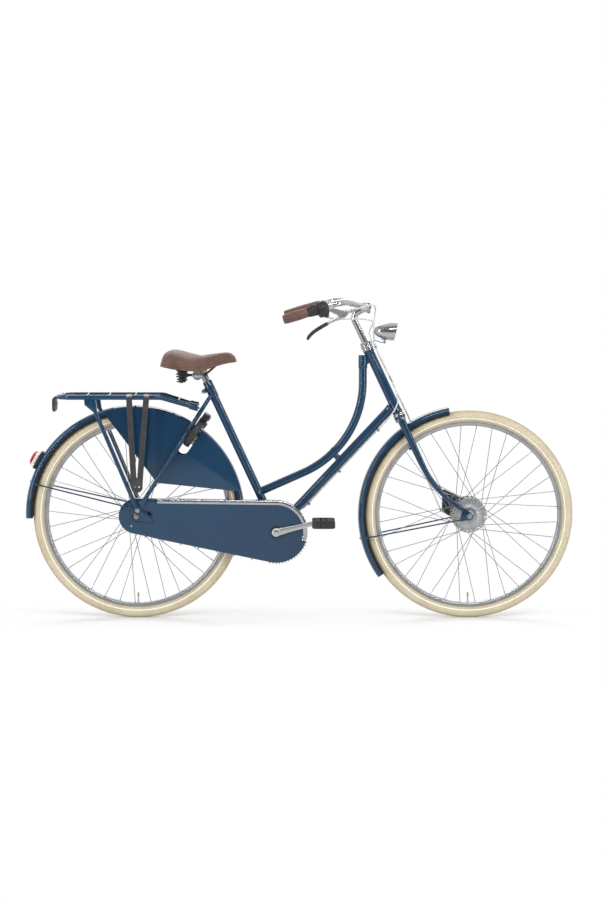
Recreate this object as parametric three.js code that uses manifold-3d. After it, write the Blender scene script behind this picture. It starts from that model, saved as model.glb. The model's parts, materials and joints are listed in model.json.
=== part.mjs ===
// Dutch city bike with a curved low frame, chain case, coat guards, carrier and ring lock.
// Millimetres. +X is forward, +Y is the rider's left, +Z is up. The origin lies on the ground, midway along the bike.

import * as THREE from "three";
import { mergeVertices } from "three/addons/utils/BufferGeometryUtils.js";
import Module from "manifold-3d";

const wasm = await Module();
wasm.setup();

const radians = THREE.MathUtils.degToRad;

// Fits and facets
const gap = 0.3;
const runningGap = 1;
const overrun = 3;
const tubeSides = 8;
const rodSides = 6;
const wheelSides = 32;
const plateSides = 8;
const collarSides = 12;
const bendStep = radians(15);

// Wheels
const tyreRadius = 357.5;
const tyreSectionRadius = 20;
const tyreWall = 3.5;
const tyreBeadAngle = radians(122);
const rimHeight = 13.5;
const rimHalfWidth = 12.5;
const rimWellDepth = 5;
const rimLip = 2;
const rimFloorHalfWidth = 6;
const valveRadius = 3.2;
const valveLength = 34;
const spokesPerWheel = 36;
const spokeRadius = 1;
const spokeCrossing = radians(60);
const spokeStagger = 1.15;
const spokeRimOut = 2.5;
const rearSpokeTurn = radians(3);
const hubSides = 16;
const axleRadius = 5;

// Frame in side view
const wheelbase = 1135;
const bracketDrop = 52.5;
const chainStayLength = 479;
const seatAngle = radians(65.1);
const seatTubeLength = 562;
const seatTubeRadius = 14.3;
const seatLugRadius = 16.4;
const seatLugLength = 62;
const headAngle = radians(64.75);
const headTubeLength = 238;
const headTubeRadius = 16.8;
const headRingRadius = 18.2;
const headRingLength = 10;
const forkLength = 419.5;
const forkRake = 71.4;
const downTubeRadius = 15.3;
const downTubeJoin = 31;
const curvedTubeRadius = 14;
const curvedTubeTop = 20;
const curvedTubeBehind = 27;
const curvedTubeJoin = 142;
const curvedTubeSlope = radians(24);
const curvedTubeBend = 338;
const curvedLugRadius = 15.4;
const curvedLugLength = 46;
const strutPlace = 325;
const strutRadius = 9;
const strutReach = 35;
const bracketShellRadius = 20;
const bracketShellHalf = 29;
const spindleRadius = 8.5;

// Seat clamp
const seatBoltDrop = 27;
const seatBoltOffset = 9;
const seatBoltRadius = 4;
const seatBoltHeadRadius = 6;
const seatBoltHalf = 14;
const seatEarHalf = 10;
const seatEarRadius = 7;
const seatSlotHalf = 1;

// Rear triangle
const dropoutInner = 60;
const dropoutThickness = 4;
const dropoutRadius = 15;
const dropoutReach = 44;
const dropoutReachDrop = 8;
const dropoutLoopRadius = 12;
const stayBoltUp = 21;
const stayBoltForward = 5;
const stayBoltRadius = 3;
const stayEyeRadius = 9.5;
const boltHeadHeight = 3.5;
const axleSlotLength = 12;
const chainStayRadius = 9.5;
const chainStayEndRadius = 6.8;
const chainStayStart = 24;
const chainStayEnd = 57.2;
const chainStayStraight = 90;
const seatStayRadius = 7.5;
const seatStayTopDrop = 52;
const seatStayTopOut = 19;
const seatStayBack = 12;
const seatStayShoulder = 92;
const seatStayShoulderOut = 39;
const seatStayBottomOut = 61;
const seatStayFlatFrom = 84;
const seatStayFlatTo = 54;
const seatStayTabLength = 22;
const tabThickness = 3.4;
const mudguardEyeBack = 19;
const mudguardEyeUp = 30;

// Headset
const cupRadius = 20.5;
const cupHeight = 11;
const upperCupHeight = 18;
const steererRadius = 12.7;
const steererBore = 11.4;
const lampRingHeight = 2.6;
const lockNutHeight = 9;
const lockNutRadius = 19;

// Fork
const crownTop = 13;
const crownHeight = 26;
const crownHalfLength = 14;
const crownShares = [
  [-1, 0.5],
  [-0.82, 0.88],
  [0, 1],
  [0.82, 0.88],
  [1, 0.5],
];
const bladeOut = 47;
const bladeEndOut = 51;
const bladeHalfLength = 13.3;
const bladeHalfWidth = 8.6;
const bladeEndRadius = 6.8;
const bladeStraight = 195;
const bladeBend = 345;
const bladeEndSlope = radians(35);
const forkPlateInner = 50;
const forkPlateThickness = 5;
const forkPlateRadius = 12.5;
const forkEyeBack = 27;
const forkEyeDown = 12;
const forkEyeRadius = 6;
const forkLugDrop = 125;
const forkLugBack = 19;
const forkLugRadius = 4;

// Mudguards
const guardRadius = 376.5;
const rearGuardShift = 8;
const frontGuardShift = 4;
const guardHalfWidth = 29;
const guardDepth = 20;
const guardWall = 1.4;
const rearGuardFront = radians(3.5);
const rearGuardTail = radians(181.8);
const frontGuardFront = radians(100.3);
const frontGuardTail = radians(215.2);
const guardStep = radians(10);
const guardCrownPoints = 6;
const rearStayAngle = radians(162.4);
const frontStayAngle = radians(192.8);
const stayWireRadius = 2.6;
const stayStripHalfAngle = radians(1.5);
const stayClipDepth = 13;

// Coat guards
const coatWall = 1.3;
const coatOverlap = 7;
const coatTopAngle = radians(106.5);
const coatLowerAngle = radians(12.8);
const coatCornerForward = 61;
const coatCornerUp = 112;
const coatChamfer = 9;
const lockNotchHalfWidth = 19;

// Ring lock
const lockBelowStay = radians(1.9);
const lockRadius = 340;
const lockRing = 53;
const lockRingHalf = 9;
const lockChannelHalf = 5.1;
const lockBodyHalfThickness = 11.5;
const lockForward = 2;
const lockGapFrom = radians(215);
const lockGapTo = radians(322);
const lockHousingHalf = 36;
const lockHousingTop = 20;
const lockHousingThickness = 15;
const lockLugOut = 48;
const lockLugHalf = 5;
const lockLugWidth = 9;
const lockLugReach = 26;
const shackleRadius = 4.2;
const shackleTail = radians(26);
const shackleTip = radians(204);
const shackleTravel = radians(128);
const shackleTabRadius = 3.4;
const shackleTabAngle = radians(32);
const shackleKnobRadius = 7;
const shackleKnobLength = 8;

// Carrier
const carrierAboveGuard = 30.5;
const carrierHalfWidth = 75;
const carrierTubeRadius = 8.4;
const carrierTail = 262;
const carrierBend = 86;
const carrierFrontForward = 207;
const carrierFrontDrop = 37;
const carrierFrontHalf = 46;
const carrierCornerRadius = 46;
const carrierBendStep = radians(30);
const carrierBarRadius = 4;
const carrierBarPlaces = [-172, -97, -8, 141];
const carrierLegForward = 111;
const carrierLegRadius = 7.2;
const carrierPlateThickness = 4;
const carrierPlateHeight = 40;
const carrierFrontPlate = 36;

// Luggage strap
const strapHalfWidth = 10;
const strapThickness = 3;
const strapPlaces = [-20, 39];
const strapLowPlaces = [-6, 15];
const strapLowUp = 125;
const strapEndUp = 103.5;
const strapEndForward = 4.5;
const strapEndRadius = 20;
const strapHookReach = 14;
const strapHookWall = 2;

// Rear lamp and reflector
const rearLampAngle = radians(149);
const rearLampHeight = 62;
const rearLampHalfWidth = 24;
const rearLampBaseDepth = 13;
const rearLampLensDepth = 17;
const reflectorHalfWidth = 47;
const reflectorHeight = 50;
const reflectorThickness = 9;
const reflectorDrop = 6;
const reflectorBehind = 21;

// Chain case
const caseFrontRadius = 107;
const caseRearRadius = 61;
const caseWall = 1.5;
const caseInner = 33;
const caseSplit = 48;
const caseOuter = 66;
const caseRearOuter = 58.6;
const caseStepForward = 50;
const caseArcSides = 26;
const caseSlotForward = 37;
const caseSlotBack = 4;
const caseSlotHalf = 17;
const caseCrankHole = 19;
const caseHubHole = 24;
const trimHeight = 15;
const trimWall = 1.2;
const trimStart = 72;
const trimEndAngle = radians(-18);

// Drive
const ringTeeth = 38;
const sprocketTeeth = 19;
const chainPitch = 12.7;
const toothHeight = 3.2;
const toothRoot = 3.9;
const chainLine = 44;
const chainArcSides = 22;
const sprocketThickness = 2.2;
const chainPlateOut = 4.4;
const chainPlateIn = 2.6;
const chainHalfHeight = 4.6;
const ringHoleRadius = 15;
const ringHoles = 5;
const crankLength = 165;
const crankAngle = radians(13.5);
const crankBossRadius = 15;
const crankEndRadius = 11;
const crankInner = 69;
const crankThickness = 13;
const crankCap = 3;
const ringHoleShare = 0.56;
const pedalSpindleRadius = 5.5;
const pedalHalfLength = 39;
const pedalHalfHeight = 12.5;
const pedalWidth = 92;
const pedalBarrelRadius = 10.5;
const pedalClear = 4;
const pedalEndWall = 9;
const pedalOpening = 8;
const pedalOpeningAt = 22;

// Rear hub
const rearHubHalf = 28;
const rearBarrelRadius = 26;
const rearFlangeRadius = 36;
const rearSpokeHoleRadius = 32;
const flangeThickness = 4.4;
const hubNeckRadius = 16;
const hubEnd = 48;
const sprocketInner = 39.5;
const sprocketOuter = 50;
const rearAxleHalf = 80;
const nutRadius = 9.5;
const nutHeight = 9;

// Front hub and brake
const frontHubHalf = 31;
const frontBarrelRadius = 24;
const frontFlangeRadius = 60;
const frontSpokeHoleRadius = 47;
const frontHubEnd = 40;
const frontAxleHalf = 67;
const brakeDrumRadius = 46;
const brakePlateInner = 36;
const brakePlateOuter = 42;
const brakeArmThickness = 3;
const brakeArmReach = 92;
const brakeArmRise = 88;
const brakeArmBack = 90;
const brakeArmLow = 4;

// Seat post and saddle
const seatPostRadius = 12.7;
const seatPostAbove = 44;
const seatPostInside = 120;
const seatPostTravel = 60;
const saddleClampHalf = 24;
const saddleClampRadius = 17;
const saddleClampUp = 20;
const saddleClampBehind = 31.4;
const saddleClampAbove = 21.2;
const saddleNoseAhead = 62;
const saddleNoseAbove = 32;
const saddleRailNose = 12;
const saddleLowAhead = 25;
const saddleRailOut = 21;
const saddleRailRadius = 3.5;
const saddleBehind = 126;
const saddleLength = 260;
const saddleBaseAbove = 15;
const saddleHeight = 74;
const saddleHalfWidth = 110;
const saddleShell = 9;
const saddleArch = [0, 22, 45, 68, 90, 112, 135, 158, 180].map(radians);
const saddleStationShares = [0, 0.035, 0.092, 0.169, 0.258, 0.385, 0.531, 0.654, 0.823, 0.915, 0.977, 1];
const saddleTopShares = [0.35, 0.73, 0.92, 1, 0.955, 0.81, 0.72, 0.78, 0.865, 0.85, 0.68, 0.5];
const saddleEdgeShares = [0.24, 0.23, 0.2, 0.15, 0.11, 0.06, 0.02, 0.14, 0.32, 0.385, 0.41, 0.43];
const saddleWidthShares = [0.45, 0.74, 0.9, 0.98, 1, 0.93, 0.68, 0.43, 0.32, 0.3, 0.24, 0.1];
const springRadius = 16;
const springTopRadius = 19;
const springWire = 2.6;
const springTurns = 3;
const springHeight = 34;
const springOut = 46;
const springBehind = 94;
const springSeat = 18;
const springStepsPerTurn = 8;
const springSides = 5;

// Stem and handlebar
const stemForward = 54;
const stemHeight = 374;
const stemBend = 26;
const stemDip = 6;
const stemLow = 190;
const stemRadius = 11.1;
const clampRadius = 18.5;
const clampHalf = 21;
const barRadius = 11.1;
const barCentreHalf = 45;
const barCornerBack = 80;
const barCornerOut = 243.6;
const barCornerRise = 24;
const barBend = 70;
const barEndBack = 273;
const barEndOut = 282;
const barEndDrop = 34;
const gripLength = 128;
const gripRadius = 16.5;
const gripMouthRadius = 15;
const gripEndWall = 4;
const rightGripLength = 78;
const twistLength = 34.5;
const twistRadius = 19;
const shifterLength = 34.5;
const shifterRadius = 27;
const shifterOffset = 3;
const shifterLug = 34;
const leverClampHalf = 7;
const leverClampRadius = 15.5;
const leverPivotAlong = -36;
const leverPivotDown = 44;
const leverPivotRadius = 4;
const leverThickness = 8;
const leverCableAlong = -66;
const leverCableDown = 37;
const leverElbowAlong = 10;
const leverElbowDown = 51;
const leverTipAlong = 104;
const leverTipDown = 80;
const leverRootRadius = 8;
const leverTipRadius = 4.5;
const leverSlot = 1;

// Headlamp
const lampForward = 93;
const lampUp = 279;
const lampRadius = 33;
const lampLength = 76;
const lampTilt = radians(11.7);
const lampWall = 2.5;
const lampLensDepth = 5;
const lampLensRadius = 28.6;
const lampSides = 14;
const lampShares = [0.04, 0.15, 0.35, 0.6, 1];
const lampArmWidth = 16;
const lampArmThickness = 3;
const lampFootDrop = 9;

// Kickstand
const standForward = -32;
const standLow = 26;
const standOut = 30;
const standRadius = 7;
const standLength = 266;
const standFoot = 34;
const standDroop = radians(-1);
const standPlateThickness = 6;

// Cables
const cableRadius = 2.5;
const cableSides = 5;
const brakeCableSteps = 16;
const shiftCableSteps = 15;
const shiftUpperSteps = 7;
const cableHeadReach = 27;
const cableBladeOut = 61;

// Finishes
const finish = (color, roughness, metalness) => new THREE.MeshStandardMaterial({ color, roughness, metalness });
const bluePaint = finish(0x1b3f5c, 0.3, 0.1);
const chrome = finish(0xd0d2d4, 0.15, 1);
const alloy = finish(0xb5b7b8, 0.4, 0.9);
const blackPlastic = finish(0x2a2a2b, 0.55, 0);
const rubber = finish(0x333333, 0.8, 0);
const creamRubber = finish(0xc9bd9c, 0.75, 0);
const leather = finish(0x6b4f43, 0.65, 0);
const redLens = finish(0xc01818, 0.2, 0);
const clearLens = finish(0xe8ecef, 0.1, 0);
const greyCover = finish(0xbabcba, 0.4, 0);
const steel = finish(0x8a8c8e, 0.35, 0.9);

// Points of the side view, on the middle plane
const point = (x, y, z) => new THREE.Vector3(x, y, z);
const move = (from, direction, distance) => from.clone().addScaledVector(direction, distance);
const beside = (p, y) => point(p.x, y, p.z);
const turnAt = (angle) => point(Math.cos(angle), 0, Math.sin(angle));
const up = point(0, 0, 1);
const left = point(0, 1, 0);
const origin = point(0, 0, 0);

const rearReach = guardRadius + rearGuardShift;
const overallLength = rearReach + wheelbase + tyreRadius;
const rearAxlePoint = point(rearReach - overallLength / 2, 0, tyreRadius);
const frontAxlePoint = point(rearAxlePoint.x + wheelbase, 0, tyreRadius);
const bracketForward = Math.sqrt(chainStayLength ** 2 - bracketDrop ** 2);
const bracketPoint = point(rearAxlePoint.x + bracketForward, 0, tyreRadius - bracketDrop);
const seatUp = turnAt(Math.PI - seatAngle);
const headUp = turnAt(Math.PI - headAngle);
const headFront = turnAt(Math.PI / 2 - headAngle);
const headBottom = move(move(frontAxlePoint, headFront, -forkRake), headUp, forkLength);
const headTop = move(headBottom, headUp, headTubeLength);
const seatTop = move(bracketPoint, seatUp, seatTubeLength);
const dropoutOuter = dropoutInner + dropoutThickness;
const stayBolt = point(rearAxlePoint.x + stayBoltForward, 0, rearAxlePoint.z + stayBoltUp);

// A closed mesh as a solid, with its faces turned out.
function solid(geometry) {
  const bare = new THREE.BufferGeometry();
  const source = geometry.index ? geometry.toNonIndexed() : geometry;
  bare.setAttribute("position", source.getAttribute("position"));
  const merged = mergeVertices(bare, 1e-3);
  const triVerts = new Uint32Array(merged.index.array);
  const make = () =>
    new wasm.Manifold(new wasm.Mesh({ numProp: 3, vertProperties: merged.attributes.position.array, triVerts }));
  const made = make();
  if (made.volume() > 0) return made;
  for (let i = 0; i < triVerts.length; i += 3) {
    [triVerts[i + 1], triVerts[i + 2]] = [triVerts[i + 2], triVerts[i + 1]];
  }
  return make();
}

function geometryOf(shape) {
  const mesh = shape.getMesh();
  const geometry = new THREE.BufferGeometry();
  geometry.setAttribute("position", new THREE.BufferAttribute(new Float32Array(mesh.vertProperties), 3));
  geometry.setIndex(new THREE.BufferAttribute(new Uint32Array(mesh.triVerts), 1));
  const flat = geometry.toNonIndexed();
  flat.computeVertexNormals();
  return flat;
}

const join = (...solids) => solids.reduce((a, b) => a.add(b));
const cut = (base, ...tools) => tools.reduce((a, b) => a.subtract(b), base);

// A body of the bike, as a group that its pieces hang in.
const bike = new THREE.Group();
function group(parent = bike) {
  const made = new THREE.Group();
  parent.add(made);
  return made;
}

function piece(name, material, shape, parent = bike) {
  const mesh = new THREE.Mesh(geometryOf(shape), material);
  mesh.name = name;
  parent.add(mesh);
  return mesh;
}

// Points round a circle, by which every round section is drawn.
function circlePoints(radius, sides, centre = [0, 0]) {
  return Array.from({ length: sides }, (_, i) => {
    const angle = (i / sides) * 2 * Math.PI;
    return new THREE.Vector2(centre[0] + radius * Math.cos(angle), centre[1] + radius * Math.sin(angle));
  });
}

// The radius of a faceted bore that a round of the given radius turns in.
const boreFor = (radius, clearance = gap, sides = tubeSides) => (radius + clearance) / Math.cos(Math.PI / sides);

// The radius of a sleeve that lies a clearance outside a round with the same facets.
const sleeveFor = (radius, clearance = gap, sides = tubeSides) => radius + clearance / Math.cos(Math.PI / sides);

// A flat plate in side view, from its outline in x and z, between two distances to the left.
function plate(outline, fromY, toY, holes = []) {
  const shape = new THREE.Shape(outline);
  holes.forEach((hole) => shape.holes.push(new THREE.Path(hole)));
  const low = Math.min(fromY, toY);
  const high = Math.max(fromY, toY);
  const made = new THREE.ExtrudeGeometry(shape, { depth: high - low, bevelEnabled: false, steps: 1 });
  return solid(made.rotateX(Math.PI / 2).translate(0, high, 0));
}

// The outline of a band pulled tight round circles, each given as x, z and radius.
function bandOutline(circles, sides = plateSides) {
  const cloud = circles.flatMap(([x, z, radius]) => circlePoints(radius, sides, [x, z]));
  cloud.sort((a, b) => a.x - b.x || a.y - b.y);
  const turns = (a, b, c) => (b.x - a.x) * (c.y - a.y) - (b.y - a.y) * (c.x - a.x);
  const chain = (points) => {
    const kept = [];
    for (const p of points) {
      while (kept.length > 1 && turns(kept.at(-2), kept.at(-1), p) <= 1e-6) kept.pop();
      kept.push(p);
    }
    return kept.slice(0, -1);
  };
  return [...chain(cloud), ...chain([...cloud].reverse())];
}

const flat = (p) => new THREE.Vector2(p.x, p.z);
const box = (low, high) =>
  solid(
    new THREE.BoxGeometry(high[0] - low[0], high[1] - low[1], high[2] - low[2]).translate(
      (low[0] + high[0]) / 2,
      (low[1] + high[1]) / 2,
      (low[2] + high[2]) / 2,
    ),
  );

// A shape turned about the Y axis from its profile of radius and distance to the left.
function turned(profile, sides = tubeSides) {
  const points = profile.map(([radius, y]) => new THREE.Vector2(radius, y));
  const closes = profile[0][0] === 0 && profile.at(-1)[0] === 0;
  if (!closes) points.push(points[0].clone());
  return solid(new THREE.LatheGeometry(points, sides));
}

// The same shape with its own Y axis laid along a direction from a point.
function placed(shape, from, direction) {
  const turn = new THREE.Matrix4().makeRotationFromQuaternion(
    new THREE.Quaternion().setFromUnitVectors(left, direction.clone().normalize()),
  );
  turn.setPosition(from);
  return solid(geometryOf(shape).applyMatrix4(turn));
}

const rod = (from, to, radius, sides = tubeSides) => {
  const length = from.distanceTo(to);
  return placed(turned([[0, 0], [radius, 0], [radius, length], [0, length]], sides), from, to.clone().sub(from));
};
const crossRod = (at, radius, fromY, toY, sides = tubeSides) => rod(beside(at, fromY), beside(at, toY), radius, sides);

// A path through chosen points, which an extrusion follows ring by ring.
class BentPath extends THREE.Curve {
  constructor(points) {
    super();
    this.points = points;
  }
  index(t) {
    return Math.round(t * (this.points.length - 1));
  }
  getPoint(t, target = new THREE.Vector3()) {
    return target.copy(this.points[this.index(t)]);
  }
  getPointAt(t, target) {
    return this.getPoint(t, target);
  }
  getTangentAt(t, target = new THREE.Vector3()) {
    const i = this.index(t);
    const before = this.points[Math.max(i - 1, 0)];
    const here = this.points[i];
    const after = this.points[Math.min(i + 1, this.points.length - 1)];
    target.copy(after).sub(here).normalize();
    return target.add(here.clone().sub(before).normalize()).normalize();
  }
}

// Corner points with each inner corner rounded to the given radius.
function roundedCorners(corners, radius, step = bendStep) {
  const points = [corners[0].clone()];
  for (let i = 1; i < corners.length - 1; i += 1) {
    const back = corners[i - 1].clone().sub(corners[i]);
    const on = corners[i + 1].clone().sub(corners[i]);
    const room = Math.min(back.length(), on.length());
    back.normalize();
    on.normalize();
    const half = back.angleTo(on) / 2;
    const tangent = Math.min(radius / Math.tan(half), room * 0.98);
    const bend = tangent * Math.tan(half);
    const middle = back.clone().add(on).normalize();
    const centre = move(corners[i], middle, bend / Math.sin(half));
    const start = move(corners[i], back, tangent).sub(centre);
    const end = move(corners[i], on, tangent).sub(centre);
    const sweep = start.angleTo(end);
    const count = Math.max(2, Math.ceil(sweep / step));
    const axis = start.clone().cross(end).normalize();
    for (let k = 0; k <= count; k += 1) {
      points.push(start.clone().applyAxisAngle(axis, (sweep * k) / count).add(centre));
    }
  }
  points.push(corners.at(-1).clone());
  return points;
}

function bentTube(points, radius, sides = tubeSides) {
  const shape = new THREE.Shape(circlePoints(radius, sides));
  const options = { steps: points.length - 1, extrudePath: new BentPath(points), bevelEnabled: false };
  return solid(new THREE.ExtrudeGeometry(shape, options));
}

// A skin over rings of points, with flat ends.
function loft(rings) {
  const count = rings[0].length;
  const positions = rings.flat().flatMap((p) => [p.x, p.y, p.z]);
  const index = [];
  for (let i = 0; i < rings.length - 1; i += 1) {
    for (let j = 0; j < count; j += 1) {
      const a = i * count + j;
      const b = i * count + ((j + 1) % count);
      index.push(a, b, b + count, a, b + count, a + count);
    }
  }
  const ends = [
    [0, rings[0], false],
    [(rings.length - 1) * count, rings.at(-1), true],
  ];
  for (const [base, ring, flip] of ends) {
    for (const [a, b, c] of endFaces(ring)) {
      index.push(base + a, base + (flip ? b : c), base + (flip ? c : b));
    }
  }
  const geometry = new THREE.BufferGeometry();
  geometry.setAttribute("position", new THREE.Float32BufferAttribute(positions, 3));
  geometry.setIndex(index);
  return solid(geometry);
}

// The triangles of a flat ring of points, found in the ring's own plane.
function endFaces(ring) {
  const normal = new THREE.Vector3();
  ring.forEach((p, i) => {
    const q = ring[(i + 1) % ring.length];
    normal.x += (p.y - q.y) * (p.z + q.z);
    normal.y += (p.z - q.z) * (p.x + q.x);
    normal.z += (p.x - q.x) * (p.y + q.y);
  });
  const turn = new THREE.Quaternion().setFromUnitVectors(normal.normalize(), up);
  const flatRing = ring.map((p) => p.clone().applyQuaternion(turn)).map((p) => new THREE.Vector2(p.x, p.y));
  return THREE.ShapeUtils.triangulateShape(flatRing, []);
}

// An oval ring of points round a centre, from its two half-axes.
function ovalRing(centre, across, halfAcross, along, halfAlong, sides = tubeSides) {
  return Array.from({ length: sides }, (_, i) => {
    const angle = (i / sides) * 2 * Math.PI;
    return move(move(centre, across, halfAcross * Math.cos(angle)), along, halfAlong * Math.sin(angle));
  });
}

// A tube of changing oval section through stations, each with its point, half width and half length.
function ovalTube(stations, sides = tubeSides) {
  const path = new BentPath(stations.map(([at]) => at));
  return loft(
    stations.map(([at, halfWidth, halfLength], i) => {
      const direction = path.getTangentAt(i / (stations.length - 1));
      const across = left.clone().addScaledVector(direction, -left.dot(direction)).normalize();
      return ovalRing(at, across, halfWidth, across.clone().cross(direction), halfLength, sides);
    }),
  );
}

const blend = (a, b, share) => a + (b - a) * share;

// Frame tubes
const headTube = () => {
  const bore = boreFor(steererRadius, runningGap);
  const ringTop = headTubeLength - headRingLength;
  const profile = [
    [bore, -cupHeight],
    [cupRadius, -cupHeight],
    [cupRadius, -cupHeight / 2],
    [headRingRadius, 0],
    [headRingRadius, headRingLength],
    [headTubeRadius, headRingLength],
    [headTubeRadius, ringTop],
    [headRingRadius, ringTop],
    [headRingRadius, headTubeLength],
    [bore, headTubeLength],
  ];
  return placed(turned(profile, collarSides), headBottom, headUp);
};
const headEnvelope = rod(
  move(headBottom, headUp, -cupHeight),
  move(headTop, headUp, overrun),
  sleeveFor(headRingRadius, gap, collarSides),
  collarSides,
);
piece("head_tube", bluePaint, headTube());

const seatTubeEnvelope = rod(bracketPoint, seatTop, sleeveFor(seatTubeRadius));
const seatLugEnvelope = rod(move(seatTop, seatUp, -seatLugLength - gap), seatTop, sleeveFor(seatLugRadius));
const shellEnvelope = crossRod(bracketPoint, sleeveFor(bracketShellRadius, gap, collarSides), -caseOuter, caseOuter, collarSides);

const curvedEnd = move(bracketPoint, seatUp, curvedTubeJoin);
const curvedTop = move(move(headTop, headUp, -curvedTubeTop), point(-1, 0, 0), curvedTubeBehind);
const curvedCorner = point(
  curvedTop.x,
  0,
  curvedEnd.z + (curvedTop.x - curvedEnd.x) * Math.tan(curvedTubeSlope),
);
const curvedPath = roundedCorners([curvedTop, curvedCorner, curvedEnd], curvedTubeBend, radians(11));
const curvedEnvelope = bentTube(curvedPath, sleeveFor(curvedTubeRadius));
piece(
  "curved_top_tube",
  bluePaint,
  cut(
    join(
      bentTube(curvedPath, curvedTubeRadius),
      rod(curvedTop, move(curvedTop, up, -curvedLugLength), curvedLugRadius),
    ),
    headEnvelope,
    seatTubeEnvelope,
  ),
);

const downTop = move(headBottom, headUp, downTubeJoin);
const downAlong = downTop.clone().sub(bracketPoint).normalize();
const downAcross = point(-downAlong.z, 0, downAlong.x);
const strutStart = move(bracketPoint, downAlong, strutPlace);
const strutLength = downTubeRadius + curvedTubeRadius + strutReach;
piece(
  "down_tube",
  bluePaint,
  cut(
    join(
      rod(bracketPoint, downTop, downTubeRadius),
      cut(rod(strutStart, move(strutStart, downAcross, strutLength), strutRadius, rodSides), curvedEnvelope)
        .decompose()
        .reduce((a, b) => (a.volume() > b.volume() ? a : b)),
    ),
    headEnvelope,
    shellEnvelope,
    seatTubeEnvelope,
  ),
);

// Seat tube with the bracket shell, the seat lug and its clamp bolt
const seatBack = turnAt(Math.PI / 2 + (Math.PI - seatAngle));
const seatBoltPoint = move(move(seatTop, seatUp, -seatBoltDrop), seatBack, seatLugRadius + seatBoltOffset);
const postBore = sleeveFor(seatPostRadius);
const seatTubeInside = seatPostInside + seatPostTravel + overrun;
const seatEars = plate(
  bandOutline([
    [seatBoltPoint.x, seatBoltPoint.z, seatEarRadius],
    [seatBoltPoint.x - seatBack.x * seatBoltOffset, seatBoltPoint.z - seatBack.z * seatBoltOffset, seatEarRadius],
  ]),
  -seatEarHalf,
  seatEarHalf,
);
piece(
  "seat_tube",
  bluePaint,
  cut(
    join(
      rod(bracketPoint, seatTop, seatTubeRadius),
      rod(move(seatTop, seatUp, -seatLugLength), seatTop, seatLugRadius),
      crossRod(bracketPoint, bracketShellRadius, -bracketShellHalf, bracketShellHalf, collarSides),
      seatEars,
      crossRod(seatBoltPoint, seatBoltRadius, -seatBoltHalf, seatBoltHalf, rodSides),
      crossRod(seatBoltPoint, seatBoltHeadRadius, -seatBoltHalf, -seatEarHalf),
      crossRod(seatBoltPoint, seatBoltHeadRadius, seatEarHalf, seatBoltHalf, 6),
    ),
    rod(move(seatTop, seatUp, -seatTubeInside), move(seatTop, seatUp, overrun), postBore),
    crossRod(bracketPoint, boreFor(spindleRadius, runningGap), -caseOuter, caseOuter),
  ),
);

// Rear triangle: one side, made twice
function dropoutOutline() {
  const eyeX = rearAxlePoint.x - mudguardEyeBack;
  return bandOutline([
    [rearAxlePoint.x, rearAxlePoint.z, dropoutRadius],
    [rearAxlePoint.x + dropoutReach, rearAxlePoint.z - dropoutReachDrop, dropoutLoopRadius],
    [stayBolt.x, stayBolt.z, stayEyeRadius],
    [eyeX, rearAxlePoint.z + mudguardEyeUp, stayEyeRadius / 2],
  ]);
}

function chainStay(side) {
  const start = point(bracketPoint.x, side * chainStayStart, bracketPoint.z);
  const reach = point(
    rearAxlePoint.x + dropoutReach,
    side * chainStayEnd,
    rearAxlePoint.z - dropoutReachDrop,
  );
  const bend = start.clone().lerp(reach, 1 - chainStayStraight / chainStayLength).setY(reach.y);
  const tube = ovalTube([
    [start, chainStayRadius, chainStayRadius],
    [bend, chainStayEndRadius, chainStayRadius],
    [reach, chainStayEndRadius, chainStayEndRadius],
  ]);
  const blade = plate(dropoutOutline(), side * dropoutInner, side * dropoutOuter);
  const slot = plate(
    bandOutline([
      [rearAxlePoint.x, rearAxlePoint.z, boreFor(axleRadius)],
      [rearAxlePoint.x - axleSlotLength, rearAxlePoint.z, boreFor(axleRadius)],
    ]),
    side * (dropoutInner - overrun),
    side * (dropoutOuter + overrun),
  );
  return cut(join(tube, blade), slot, shellEnvelope, seatTubeEnvelope, stayBoltHole(side));
}

const seatStayTop = move(move(seatTop, seatUp, -seatStayTopDrop), seatBack, seatStayBack);
const alongStay = stayBolt.clone().sub(seatStayTop).normalize();
const stayTabCentre = dropoutOuter + gap + tabThickness / 2;

function stayTab(side, layer) {
  const from = dropoutOuter + gap + layer * (tabThickness + gap);
  return (along) =>
    plate(
      bandOutline([
        [stayBolt.x, stayBolt.z, stayEyeRadius],
        [stayBolt.x + along.x * seatStayTabLength, stayBolt.z + along.z * seatStayTabLength, seatStayRadius],
      ]),
      side * from,
      side * (from + tabThickness),
    );
}
const stayBoltHole = (side) =>
  crossRod(stayBolt, boreFor(stayBoltRadius), side * dropoutInner * 0.9, side * dropoutInner * 1.2);

function seatStayTube(side, allowance = 0) {
  const round = seatStayRadius + allowance;
  const down = (distance, out) => beside(move(seatStayTop, alongStay, distance), side * out);
  const above = (distance, out) => beside(move(stayBolt, alongStay, -distance), side * out);
  return ovalTube(
    [
      [down(0, seatStayTopOut), round, round],
      [down(seatStayShoulder * 0.7, seatStayShoulderOut * 0.9), round, round],
      [down(seatStayShoulder * 1.3, seatStayShoulderOut * 1.06), round, round],
      [above(seatStayFlatFrom, seatStayBottomOut), round, round],
      [above(seatStayFlatTo, stayTabCentre - gap), tabThickness + allowance, round],
      [above(seatStayTabLength - tabThickness, stayTabCentre), tabThickness / 2, round],
    ],
    rodSides,
  );
}

function seatStay(side) {
  const tab = stayTab(side, 0)(alongStay.clone().negate());
  return cut(join(seatStayTube(side), tab), seatLugEnvelope, seatTubeEnvelope, stayBoltHole(side));
}

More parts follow.
